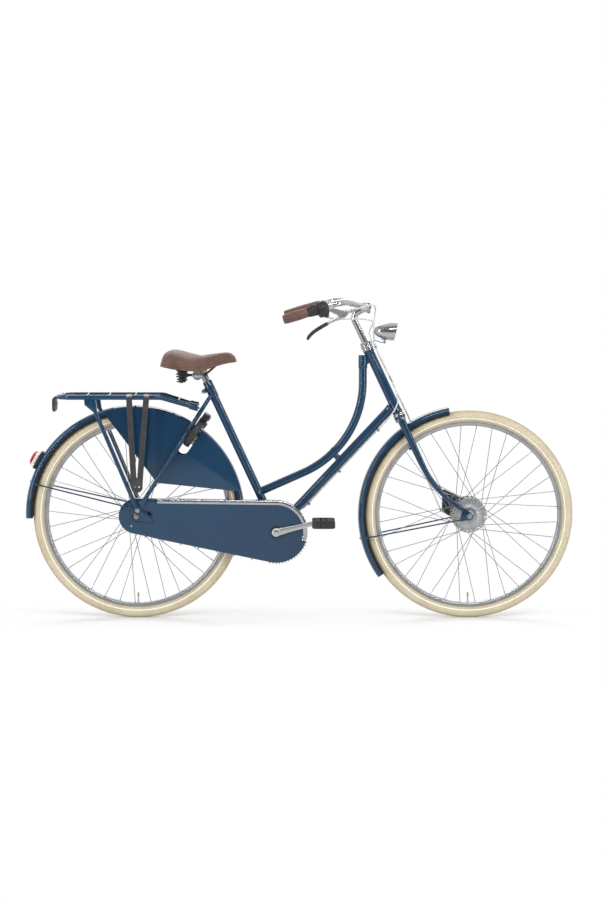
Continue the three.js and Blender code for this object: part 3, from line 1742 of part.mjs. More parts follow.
piece(
  "saddle_clamp",
  steel,
  cut(
    join(
      crossRod(clampCentre, saddleClampRadius, -saddleClampHalf - saddleRailRadius, saddleClampHalf + saddleRailRadius),
      rod(
        move(seatTop, seatUp, seatPostAbove - saddleClampUp),
        move(seatTop, seatUp, seatPostAbove + saddleRailRadius),
        seatPostRadius + 4,
      ),
    ),
    railBore(-1),
    railBore(1),
    rod(move(seatTop, seatUp, -seatLugLength), move(seatTop, seatUp, seatPostAbove + gap), postBore),
  ),
  seat,
);

// The coil springs stand between the rails and the back of the cover
const springBase = (side) => point(springX, side * springOut, railLow - springSeat);
function springPath(side) {
  const steps = springTurns * springStepsPerTurn;
  return Array.from({ length: steps + 1 }, (_, i) => {
    const out = turnAt((i / springStepsPerTurn) * 2 * Math.PI).multiplyScalar(springRadius);
    return springBase(side).add(point(out.x, out.z, (i / steps) * springHeight));
  });
}

// The least gap of a coil to itself, between points at least half a turn apart
function coilGap(path) {
  const apart = springStepsPerTurn / 2;
  const spans = path.flatMap((p, i) => path.slice(i + apart).map((q) => p.distanceTo(q)));
  return Math.min(...spans) - 2 * springWire;
}

function spring(side) {
  const base = springBase(side);
  const path = springPath(side);
  console.log(`least gap of a saddle spring to itself: ${coilGap(path).toFixed(2)} mm`);
  const disc = (z, radius) => placed(turned([[0, 0], [radius, 0], [radius, springWire], [0, springWire]], 8), move(base, up, z), up);
  return join(
    bentTube(path, springWire, springSides),
    disc(-springWire * 1.5, springTopRadius),
    disc(springHeight, springTopRadius),
  );
}
piece(
  "saddle_frame",
  steel,
  join(
    ...[-1, 1].flatMap((side) => [bentTube(railPath(side), saddleRailRadius, 6), spring(side)]),
    crossRod(
      noseRail,
      saddleRailRadius,
      -saddleRailNose - saddleRailRadius,
      saddleRailNose + saddleRailRadius,
      rodSides,
    ),
    box(
      [springBase(1).x - springWire, -springOut, railLow - springSeat + springHeight],
      [springBase(1).x + springWire * 2, springOut, railLow - springSeat + springHeight + springWire],
    ),
  ),
  seat,
);

// The saddle cover, a shell lofted along its stations
function saddleSkin(inset, drop) {
  return loft(
    saddleStationShares.map((share, i) => {
      const x = saddleBack + blend(inset, saddleLength - inset, share);
      const top = saddleBase + saddleHeight * saddleTopShares[i] - inset;
      const edge = saddleBase + saddleHeight * saddleEdgeShares[i] - drop;
      const half = saddleHalfWidth * saddleWidthShares[i] - inset;
      return saddleArch.map((angle) => {
        const out = Math.sign(Math.cos(angle)) * Math.abs(Math.cos(angle)) ** 0.75;
        return point(x, half * out, edge + (top - edge) * Math.sin(angle) ** 0.8);
      });
    }),
  );
}
const springTop = railLow - springSeat + springHeight + springWire + gap;
const noseRailTop = noseRail.z + saddleRailRadius + gap;
const saddleRecess = join(
  box(
    [saddleBack, -saddleHalfWidth, clampCentre.z - saddleHeight],
    [clampCentre.x - saddleClampRadius, saddleHalfWidth, springTop],
  ),
  box(
    [clampCentre.x - saddleClampRadius - overrun, -saddleHalfWidth, clampCentre.z - saddleHeight],
    [bracketPoint.x, saddleHalfWidth, noseRailTop],
  ),
);
piece(
  "saddle_cover",
  leather,
  cut(saddleSkin(0, 0), saddleSkin(saddleShell, saddleHeight).intersect(saddleRecess)),
  seat,
);

// Steering group: everything that turns with the fork
const steering = group();
const steer = (x, y, z) => move(move(headBottom, headFront, x), headUp, z).setY(y);
const steerRod = (from, to, radius, sides) => rod(steer(0, 0, from), steer(0, 0, to), radius, sides);
const stackTop = headTubeLength + upperCupHeight + lampRingHeight + lockNutHeight + gap * 2;
const crownCentre = -crownTop - crownHeight / 2;
const bladeCorner = bladeStraight + bladeBend * Math.tan(bladeEndSlope / 2);
const bladeEnd = [bladeBend * (1 - Math.cos(bladeEndSlope)), -bladeStraight - bladeBend * Math.sin(bladeEndSlope)];

function forkBlade(side) {
  const path = roundedCorners(
    [
      steer(0, side * bladeOut, crownCentre),
      steer(0, side * blend(bladeOut, bladeEndOut, 0.7), -bladeCorner),
      steer(bladeEnd[0], side * bladeEndOut, bladeEnd[1]),
    ],
    bladeBend,
    radians(12),
  );
  const stations = path.map((at) => {
    const share = at.clone().sub(steer(0, 0, crownCentre)).length() / -bladeEnd[1];
    return [at, blend(bladeHalfWidth, bladeEndRadius, share), blend(bladeHalfLength, bladeEndRadius, share)];
  });
  const eye = point(frontAxlePoint.x - forkEyeBack, 0, frontAxlePoint.z - forkEyeDown);
  const end = steer(bladeEnd[0], 0, bladeEnd[1]);
  const dropout = plate(
    bandOutline([
      [frontAxlePoint.x, frontAxlePoint.z, forkPlateRadius],
      [end.x, end.z, bladeEndRadius],
      [eye.x, eye.z, forkEyeRadius],
    ]),
    side * forkPlateInner,
    side * (forkPlateInner + forkPlateThickness),
  );
  return join(ovalTube(stations, plateSides), dropout);
}
const crownStations = crownShares.map(([outShare, sizeShare]) =>
  ovalRing(
    steer(0, outShare * (bladeOut + bladeHalfLength), crownCentre),
    headUp,
    (crownHeight / 2) * sizeShare,
    headFront,
    crownHalfLength * sizeShare,
  ),
);
piece(
  "fork",
  bluePaint,
  cut(
    join(
      steerRod(crownCentre, stackTop - gap, steererRadius, collarSides),
      steerRod(crownCentre, -cupHeight - gap, cupRadius, collarSides),
      loft(crownStations),
      forkBlade(-1),
      forkBlade(1),
      rod(
        steer(0, -bladeOut - 1, -forkLugDrop),
        steer(-forkLugBack, -bladeOut - 1, -forkLugDrop),
        forkLugRadius,
        rodSides,
      ),
    ),
    steerRod(stemLow - overrun, stackTop + overrun, boreFor(stemRadius), collarSides),
    crossRod(frontAxlePoint, boreFor(axleRadius), -frontAxleHalf, frontAxleHalf),
  ),
  steering,
);
piece(
  "headset_lock_nut",
  chrome,
  placed(
    turned([
      [sleeveFor(steererRadius, gap, collarSides), stackTop - lockNutHeight],
      [lockNutRadius, stackTop - lockNutHeight],
      [lockNutRadius, stackTop],
      [sleeveFor(steererRadius, gap, collarSides), stackTop],
    ], collarSides),
    headBottom,
    headUp,
  ),
  steering,
);

// Stem and handlebar
const stemClamp = steer(stemForward, 0, stemHeight);
piece(
  "handlebar_stem",
  chrome,
  cut(
    join(
      bentTube(
        roundedCorners([steer(0, 0, stemLow), steer(0, 0, stemHeight - stemDip), stemClamp], stemBend),
        stemRadius,
      ),
      crossRod(stemClamp, clampRadius, -clampHalf, clampHalf, collarSides),
    ),
    crossRod(stemClamp, boreFor(barRadius), -clampHalf - overrun, clampHalf + overrun),
  ),
  steering,
);
const barPoint = (back, out, rise) => point(stemClamp.x - back, out, stemClamp.z + rise);
const barCorners = (side) => [
  barPoint(0, side * barCentreHalf, 0),
  barPoint(barCornerBack, side * barCornerOut, barCornerRise),
  barPoint(barEndBack, side * barEndOut, -barEndDrop),
];
const barPath = roundedCorners([...barCorners(-1).reverse(), ...barCorners(1)], barBend, radians(14));
piece("handlebar", chrome, bentTube(barPath, barRadius), steering);

// Things on the bar are placed by their distance from its end
function onBar(side) {
  const [, corner, end] = barCorners(side);
  const along = corner.clone().sub(end).normalize();
  const down = point(0, 0, -1).addScaledVector(along, along.z).normalize();
  const across = along.clone().cross(down).normalize();
  const at = (distance, low = 0) => move(move(end, along, distance), down, low);
  return { along, down, across, at, end };
}
function barSleeve(side, from, profile) {
  const { at, along } = onBar(side);
  return placed(turned(profile), at(from), along);
}
const barBore = boreFor(barRadius);
for (const [name, side, length] of [["right", -1, rightGripLength], ["left", 1, gripLength]]) {
  const profile = [
    [0, -gripEndWall],
    [gripMouthRadius, -gripEndWall],
    [gripRadius, length * 0.15],
    [gripRadius, length * 0.75],
    [gripMouthRadius, length],
    [barBore, length],
    [barBore, -gap],
    [0, -gap],
  ];
  piece(`grip_${name}`, leather, barSleeve(side, 0, profile), steering);
}
const twistAt = rightGripLength + gap;
const shifterAt = twistAt + twistLength + gap;
const leverAt = shifterAt + shifterLength + gap + leverClampHalf;
const rightBar = onBar(-1);
piece(
  "twist_sleeve",
  blackPlastic,
  barSleeve(-1, twistAt, [
    [barBore, 0],
    [gripMouthRadius + 1, 0],
    [twistRadius, twistLength],
    [barBore, twistLength],
  ]),
  steering,
);
piece(
  "shifter_housing",
  blackPlastic,
  cut(
    join(
      rod(
        rightBar.at(shifterAt, shifterOffset),
        rightBar.at(shifterAt + shifterLength, shifterOffset),
        shifterRadius,
        16,
      ),
      rod(
        rightBar.at(shifterAt + shifterLength * 0.7, 0),
        rightBar.at(shifterAt + shifterLength * 0.7, shifterLug),
        shifterLength * 0.25,
      ),
    ),
    rod(rightBar.at(shifterAt - overrun), rightBar.at(shifterAt + shifterLength + overrun), boreFor(barRadius, gap)),
  ),
  steering,
);

// Brake lever: its own flat frame lies along the grip and down from the bar
const leverPoint = ([along, low], across = 0) =>
  move(rightBar.at(leverAt - along, low), rightBar.across, across);
function leverPlate(circles, from, to) {
  const outline = bandOutline(circles, rodSides);
  const rings = [from, to].map((across) => outline.map((p) => leverPoint([p.x, p.y], across)));
  return loft(rings);
}
const leverPivot = [leverPivotAlong, leverPivotDown];
const leverPin = (radius, half) => rod(leverPoint(leverPivot, -half), leverPoint(leverPivot, half), radius, rodSides);
const leverHalf = leverThickness / 2;
piece(
  "brake_lever_bracket",
  alloy,
  cut(
    join(
      rod(rightBar.at(leverAt - leverClampHalf), rightBar.at(leverAt + leverClampHalf), leverClampRadius),
      leverPlate([[0, leverClampRadius - 2, leverClampHalf], [...leverPivot, leverRootRadius]], leverHalf + leverSlot, leverHalf + leverSlot + tabThickness),
      leverPlate([[0, leverClampRadius - 2, leverClampHalf], [...leverPivot, leverRootRadius]], -leverHalf - leverSlot - tabThickness, -leverHalf - leverSlot),
      leverPlate(
        [
          [leverCableAlong, leverCableDown, cableRadius * 2],
          [leverPivotAlong - leverRootRadius * 2, leverPivotDown - leverRootRadius, cableRadius * 2],
          [0, leverClampRadius - 2, leverClampHalf * 0.8],
        ],
        -leverHalf - leverSlot - tabThickness,
        leverHalf + leverSlot + tabThickness,
      ),
      leverPin(leverPivotRadius, leverHalf + leverSlot + tabThickness),
    ),
    cutForLever(),
    rod(rightBar.at(leverAt - leverClampHalf - overrun), rightBar.at(leverAt + leverClampHalf + overrun), boreFor(barRadius, gap)),
  ),
  steering,
);
function cutForLever() {
  return cut(
    leverPlate([[...leverPivot, leverRootRadius + runningGap], [leverClampHalf * 2, leverPivotDown + leverRootRadius, leverRootRadius]], -leverHalf - leverSlot, leverHalf + leverSlot),
    leverPin(leverPivotRadius, leverHalf * 3),
  );
}
piece(
  "brake_lever",
  alloy,
  cut(
    join(
      leverPlate([[...leverPivot, leverRootRadius], [leverElbowAlong, leverElbowDown, leverRootRadius - 2]], -leverHalf, leverHalf),
      leverPlate([[leverElbowAlong, leverElbowDown, leverRootRadius - 2], [leverTipAlong, leverTipDown, leverTipRadius]], -leverHalf, leverHalf),
    ),
    rod(leverPoint(leverPivot, -leverHalf * 2), leverPoint(leverPivot, leverHalf * 2), boreFor(leverPivotRadius, gap, rodSides), rodSides),
  ),
  steering,
);

// Headlamp on its arm from the headset
const lampCentre = point(headTop.x + lampForward, 0, headBottom.z + lampUp);
const lampAxis = turnAt(-lampTilt);
const lampShellProfile = [
  [0, -lampLength],
  ...lampShares.map((share) => [lampRadius * Math.sqrt(1 - (1 - share) ** 2), -lampLength * (1 - share)]),
];
const lampShape = (inset) =>
  placed(
    turned([
      ...lampShellProfile.map(([radius, y]) => [Math.max(radius - inset, 0), y + inset]),
      [lampRadius - inset, lampLensDepth * 2],
      [0, lampLensDepth * 2],
    ], lampSides),
    lampCentre,
    point(1, 0, 0),
  );
const lampFrontCut = (forward) =>
  rod(move(lampCentre, lampAxis, forward), move(lampCentre, lampAxis, lampLength), lampRadius * 2);
const lampRing = placed(
  turned([
    [sleeveFor(steererRadius, gap, collarSides), stackTop - lockNutHeight - gap - lampRingHeight],
    [lockNutRadius, stackTop - lockNutHeight - gap - lampRingHeight],
    [lockNutRadius, stackTop - lockNutHeight - gap],
    [sleeveFor(steererRadius, gap, collarSides), stackTop - lockNutHeight - gap],
  ], collarSides),
  headBottom,
  headUp,
);
const lampFoot = point(lampCentre.x - lampLength / 2, 0, lampCentre.z - lampRadius - lampFootDrop / 2);
const lampRingEnd = steer(lockNutRadius - 3, 0, stackTop - lockNutHeight - gap - lampRingHeight / 2);
const lampArmPath = roundedCorners(
  [lampRingEnd, move(lampRingEnd, headFront, lockNutRadius), move(lampFoot, up, -lampFootDrop / 2), move(lampFoot, up, lampFootDrop)],
  lampFootDrop,
  radians(25),
);
const lampArm = loft(
  lampArmPath.map((at, i) => {
    const direction = new BentPath(lampArmPath).getTangentAt(i / (lampArmPath.length - 1));
    const normal = direction.clone().cross(left).normalize();
    return [[-1, -1], [1, -1], [1, 1], [-1, 1]].map(([a, b]) =>
      move(move(at, left, (a * lampArmWidth) / 2), normal, (b * lampRingHeight) / 2),
    );
  }),
);
piece(
  "headlamp_shell",
  chrome,
  join(
    cut(lampShape(0), lampShape(lampWall), lampFrontCut(0)),
    lampRing,
    cut(lampArm, lampShape(lampWall / 2)),
    crossRod(lampFoot, lampFootDrop / 2, -lampArmWidth / 2, lampArmWidth / 2, rodSides),
  ),
  steering,
);
piece(
  "headlamp_lens",
  clearLens,
  placed(
    turned(
      [
        [0, -lampLensDepth],
        [lampLensRadius, -lampLensDepth],
        [lampLensRadius, 0],
        [lampLensRadius * 0.6, lampLensDepth * 0.6],
        [0, lampLensDepth * 0.8],
      ],
      lampSides,
    ),
    move(lampCentre, lampAxis, -gap),
    lampAxis,
  ),
  steering,
);

// Front mudguard with its stays, brake plate and axle
piece(
  "front_mudguard",
  bluePaint,
  guardSweep(frontGuardCentre, frontGuardFront, frontGuardTail, guardSection(0, guardWall)),
  steering,
);
piece(
  "front_mudguard_stays",
  bluePaint,
  guardStays(
    frontGuardCentre,
    frontStayAngle,
    point(frontAxlePoint.x - forkEyeBack, 0, frontAxlePoint.z - forkEyeDown),
    forkPlateInner + forkPlateThickness + gap,
  ),
  steering,
);
const brakeArm = plate(
  [
    [frontAxlePoint.x - brakeArmBack, frontAxlePoint.z + brakeArmRise],
    [frontAxlePoint.x - brakeArmBack, frontAxlePoint.z + brakeArmLow],
    [frontAxlePoint.x - brakeDrumRadius, frontAxlePoint.z - brakeDrumRadius / 2],
    [frontAxlePoint.x, frontAxlePoint.z - brakeDrumRadius / 2],
    [frontAxlePoint.x, frontAxlePoint.z + brakeDrumRadius],
  ].map(([x, z]) => new THREE.Vector2(x, z)),
  brakePlateOuter - brakeArmThickness,
  brakePlateOuter,
);
piece(
  "front_brake_unit",
  blackPlastic,
  cut(
    join(
      crossRod(frontAxlePoint, brakeDrumRadius, brakePlateInner, brakePlateOuter, 20),
      brakeArm,
    ),
    crossRod(frontAxlePoint, boreFor(axleRadius), 0, forkPlateInner),
  ),
  steering,
);
piece("front_axle", steel, axle(frontAxleHalf, forkPlateInner, forkPlateThickness, [frontHubEnd + gap, brakePlateOuter + gap]).translate(frontAxlePoint.toArray()), steering);

// Cables: smooth curves through the places that hold them
function cable(points, steps) {
  return bentTube(new THREE.CatmullRomCurve3(points, false, "centripetal").getSpacedPoints(steps), cableRadius, cableSides);
}
const leverStop = leverPoint([leverCableAlong - cableRadius * 2 - runningGap, leverCableDown]);
const brakeEnd = point(frontAxlePoint.x - brakeArmBack, brakePlateOuter + cableRadius * 2, frontAxlePoint.z + brakeArmLow);
const brakeRoute = [
  leverStop,
  move(leverStop, rightBar.along, cableHeadReach),
  steer(stemForward + cableHeadReach, -cableHeadReach, stemHeight - clampRadius),
  steer(stemForward, -cableHeadReach / 2, headTubeLength + clampRadius * 4),
  steer(cableHeadReach, -cableHeadReach / 2, headTubeLength),
  steer(cableHeadReach, -cableHeadReach / 2, headTubeLength / 2),
  steer(cableHeadReach, cableHeadReach / 2, cableHeadReach),
  steer(cableHeadReach, cableBladeOut, -cableHeadReach * 2),
  steer(0, cableBladeOut, -bladeStraight),
  brakeEnd,
];

// The shift cable parts at the head tube: its upper stretch turns with the bar, its lower one lies along the frame
const shiftParting = steer(cableHeadReach, -cableHeadReach, headTubeLength / 2);
const shiftUpper = [
  leverPoint([leverClampHalf * 3, shifterLug * 0.9], shifterLength * 0.25 + cableRadius + runningGap * 2),
  leverPoint([0, leverPivotDown], leverThickness * 2 + cableRadius),
  steer(stemForward, -cableHeadReach * 2, stemHeight - clampRadius * 3),
  steer(cableHeadReach, -cableHeadReach, headTubeLength + cableHeadReach * 2),
  steer(cableHeadReach, -cableHeadReach, headTubeLength * 0.8),
  shiftParting,
];
const cableClip = rod(
  steer(cableHeadReach, -cableHeadReach - cableRadius, headTubeLength),
  steer(cableHeadReach, cableRadius - cableHeadReach / 2, headTubeLength),
  cableRadius * 1.6,
  rodSides,
);
piece(
  "control_cables",
  greyCover,
  join(cable(brakeRoute, brakeCableSteps), cable(shiftUpper, shiftUpperSteps), cableClip),
  steering,
);
const underDown = (share, y = 0) =>
  move(bracketPoint.clone().lerp(downTop, share), downAcross, -downTubeRadius - cableRadius - gap).setY(y);
const overStay = (x, y, rise) => {
  const share = (bracketPoint.x - x) / (bracketForward - dropoutReach);
  return point(x, y, bracketPoint.z + share * (bracketDrop - dropoutReachDrop) + rise);
};
const cableRise = chainStayRadius + cableRadius * 2;
piece(
  "shift_cable",
  greyCover,
  cable(
    [
      move(shiftParting, headUp, -gap),
      steer(cableHeadReach, -cableHeadReach, headTubeLength * 0.35),
      steer(cableHeadReach / 2, -cableHeadReach, cableHeadReach * 1.2),
      underDown(0.9, -cableHeadReach / 3),
      underDown(0.8),
      underDown(0.5),
      underDown(0.3),
      underDown(0.2, seatTubeRadius),
      point(bracketPoint.x, bracketShellHalf - cableRadius * 2, bracketPoint.z + bracketShellRadius + cableRadius * 3),
      overStay(bracketPoint.x - curvedTubeJoin, blend(chainStayStart, chainStayEnd, 0.3), cableRise),
      overStay(rearAxlePoint.x + dropoutReach + chainStayStraight, chainStayEnd - cableRadius, cableRise),
      point(rearAxlePoint.x + nutRadius + cableRadius * 2, dropoutInner - nutRadius, rearAxlePoint.z + nutRadius),
    ],
    shiftCableSteps,
  ),
);

export default bike;
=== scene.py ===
"""Dutch city bike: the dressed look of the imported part, built in metres in the part's own frame.

+X is forward, +Y is the rider's left and +Z is up. The origin lies on the ground, midway along the bike.
"""

from __future__ import annotations

import json
import logging
import math
from dataclasses import dataclass
from enum import Enum
from typing import Iterable, Sequence

import bpy
import numpy as np
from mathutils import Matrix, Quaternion, Vector

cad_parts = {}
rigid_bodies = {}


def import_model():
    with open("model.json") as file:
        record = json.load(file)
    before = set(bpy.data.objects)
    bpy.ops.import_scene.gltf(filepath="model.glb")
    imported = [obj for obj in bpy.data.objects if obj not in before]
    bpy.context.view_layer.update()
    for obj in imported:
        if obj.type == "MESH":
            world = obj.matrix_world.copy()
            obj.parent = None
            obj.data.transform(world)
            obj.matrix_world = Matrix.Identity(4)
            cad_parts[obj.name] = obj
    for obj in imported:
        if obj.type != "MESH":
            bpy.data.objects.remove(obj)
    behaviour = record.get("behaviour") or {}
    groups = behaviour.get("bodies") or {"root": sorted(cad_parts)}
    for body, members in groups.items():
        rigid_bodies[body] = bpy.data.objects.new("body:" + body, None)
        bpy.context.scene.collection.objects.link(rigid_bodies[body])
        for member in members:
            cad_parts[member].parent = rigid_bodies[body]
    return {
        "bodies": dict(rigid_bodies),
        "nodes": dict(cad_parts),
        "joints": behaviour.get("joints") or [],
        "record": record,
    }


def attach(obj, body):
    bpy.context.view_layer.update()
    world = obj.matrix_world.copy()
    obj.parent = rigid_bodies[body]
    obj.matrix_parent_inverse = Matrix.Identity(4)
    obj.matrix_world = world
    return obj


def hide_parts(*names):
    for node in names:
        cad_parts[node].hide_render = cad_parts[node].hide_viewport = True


log = logging.getLogger("city_bike")

Flat = tuple[float, float]
Ring = list[Vector]
UP = Vector((0.0, 0.0, 1.0))
LEFT = Vector((0.0, 1.0, 0.0))
FORWARD = Vector((1.0, 0.0, 0.0))
CORNERS = ((-1, -1), (1, -1), (1, 1), (-1, 1))


class Side(Enum):
    """The two sides of the bike, by the sign of their distance to the left."""

    RIGHT = -1
    LEFT = 1

    @property
    def word(self) -> str:
        """The side's name in the names of nodes."""
        return self.name.lower()


def heading(degrees: float) -> Vector:
    """The direction in side view at an angle up from straight ahead."""
    turn = math.radians(degrees)
    return Vector((math.cos(turn), 0.0, math.sin(turn)))


def beside(place: Vector, across: float) -> Vector:
    """The place moved to a distance to the left of the middle plane."""
    return Vector((place.x, across, place.z))


def blend(low: float, high: float, share: float) -> float:
    """The value at a share of the way from low to high."""
    return low + (high - low) * share


def eased(value: float, power: float) -> float:
    """A number's size raised to a power, with its sign kept."""
    return math.copysign(abs(value) ** power, value)


def soft_oblong(half_along: float, half_up: float, power: float, sides: int) -> list[Flat]:
    """An oblong outline with soft corners.

    Args:
        half_along: its half length.
        half_up: its half height.
        power: 1 gives an oval, and less gives fuller corners.
        sides: how many points it gets.

    Returns:
        Its points.
    """
    return [(eased(x, power) * half_along, eased(z, power) * half_up) for x, z in circle(1.0, sides)]


def circle(radius: float, sides: int, centre: Flat = (0.0, 0.0)) -> list[Flat]:
    """Points round a circle.

    Args:
        radius: the circle's radius.
        sides: how many points it gets.
        centre: its middle.

    Returns:
        The points, in order round the circle.
    """
    turns = (2 * math.pi * i / sides for i in range(sides))
    return [(centre[0] + radius * math.cos(t), centre[1] + radius * math.sin(t)) for t in turns]


def band(circles: Iterable[tuple[float, float, float]], sides: int = 48) -> list[Flat]:
    """The outline of a band pulled tight round circles.

    Args:
        circles: each as its middle's two places and its radius.
        sides: the points of a whole circle.

    Returns:
        The outline's points, in order round it.
    """
    cloud = sorted(
        {(round(x, 7), round(z, 7)) for cx, cz, r in circles for x, z in circle(r, sides, (cx, cz))}
    )

    def half(points: Sequence[Flat]) -> list[Flat]:
        """One half of the outline, without its last point."""
        kept: list[Flat] = []
        for p in points:
            while len(kept) > 1:
                (ax, az), (bx, bz) = kept[-2], kept[-1]
                if (bx - ax) * (p[1] - az) - (bz - az) * (p[0] - ax) > 1e-12:
                    break
                kept.pop()
            kept.append(p)
        return kept[:-1]

    return half(cloud) + half(cloud[::-1])


def rounded(corners: Sequence[Vector], radius: float, step: float = 6.0) -> Ring:
    """A path through corners, each inner one rounded.

    Args:
        corners: the path's ends and corners.
        radius: the radius of each bend.
        step: the turn between two points of a bend, in degrees.

    Returns:
        The points of the path.
    """
    points = [corners[0].copy()]
    for before, here, after in zip(corners, corners[1:], corners[2:]):
        back, on = before - here, after - here
        room = min(back.length, on.length)
        back.normalize()
        on.normalize()
        half = back.angle(on) / 2
        tangent = min(radius / math.tan(half), room * 0.98)
        bend = tangent * math.tan(half)
        centre = here + (back + on).normalized() * (bend / math.sin(half))
        start, end = here + back * tangent - centre, here + on * tangent - centre
        sweep = start.angle(end)
        count = max(2, math.ceil(sweep / math.radians(step)))
        axis = start.cross(end).normalized()
        points += [centre + Quaternion(axis, sweep * k / count) @ start for k in range(count + 1)]
    return [*points, corners[-1].copy()]


def subdivided(path: Sequence[Vector], longest: float) -> Ring:
    """The same path with points added on its long straights."""
    points = [path[0].copy()]
    for a, b in zip(path, path[1:]):
        count = max(1, math.ceil((b - a).length / longest))
        points += [a.lerp(b, k / count) for k in range(1, count + 1)]
    return points


def spline(points: Sequence[Vector], count: int) -> Ring:
    """A smooth curve through points, spaced evenly along its length.

    Args:
        points: the places that the curve passes through.
        count: the number of spans between the points that come back.

    Returns:
        count + 1 points.
    """
    guide = [points[0] * 2 - points[1], *points, points[-1] * 2 - points[-2]]
    fine: Ring = []
    for p0, p1, p2, p3 in zip(guide, guide[1:], guide[2:], guide[3:]):
        t0, t1 = 0.0, (p1 - p0).length ** 0.5
        t2 = t1 + (p2 - p1).length ** 0.5
        t3 = t2 + (p3 - p2).length ** 0.5
        for k in range(24):
            t = blend(t1, t2, k / 24)
            a1 = p0 * ((t1 - t) / (t1 - t0)) + p1 * ((t - t0) / (t1 - t0))
            a2 = p1 * ((t2 - t) / (t2 - t1)) + p2 * ((t - t1) / (t2 - t1))
            a3 = p2 * ((t3 - t) / (t3 - t2)) + p3 * ((t - t2) / (t3 - t2))
            b1 = a1 * ((t2 - t) / (t2 - t0)) + a2 * ((t - t0) / (t2 - t0))
            b2 = a2 * ((t3 - t) / (t3 - t1)) + a3 * ((t - t1) / (t3 - t1))
            fine.append(b1 * ((t2 - t) / (t2 - t1)) + b2 * ((t - t1) / (t2 - t1)))
    fine.append(points[-1].copy())
    return resampled(fine, count)


def resampled(path: Sequence[Vector], count: int) -> Ring:
    """The same path as count spans of equal length."""
    steps = [(b - a).length for a, b in zip(path, path[1:])]
    along = np.concatenate([[0.0], np.cumsum(steps)])
    wanted = np.linspace(0.0, along[-1], count + 1)
    axes = [np.interp(wanted, along, [p[k] for p in path]) for k in range(3)]
    return [Vector(p) for p in zip(*axes)]


def length_of(path: Sequence[Vector]) -> float:
    """The length along a path."""
    return sum((b - a).length for a, b in zip(path, path[1:]))


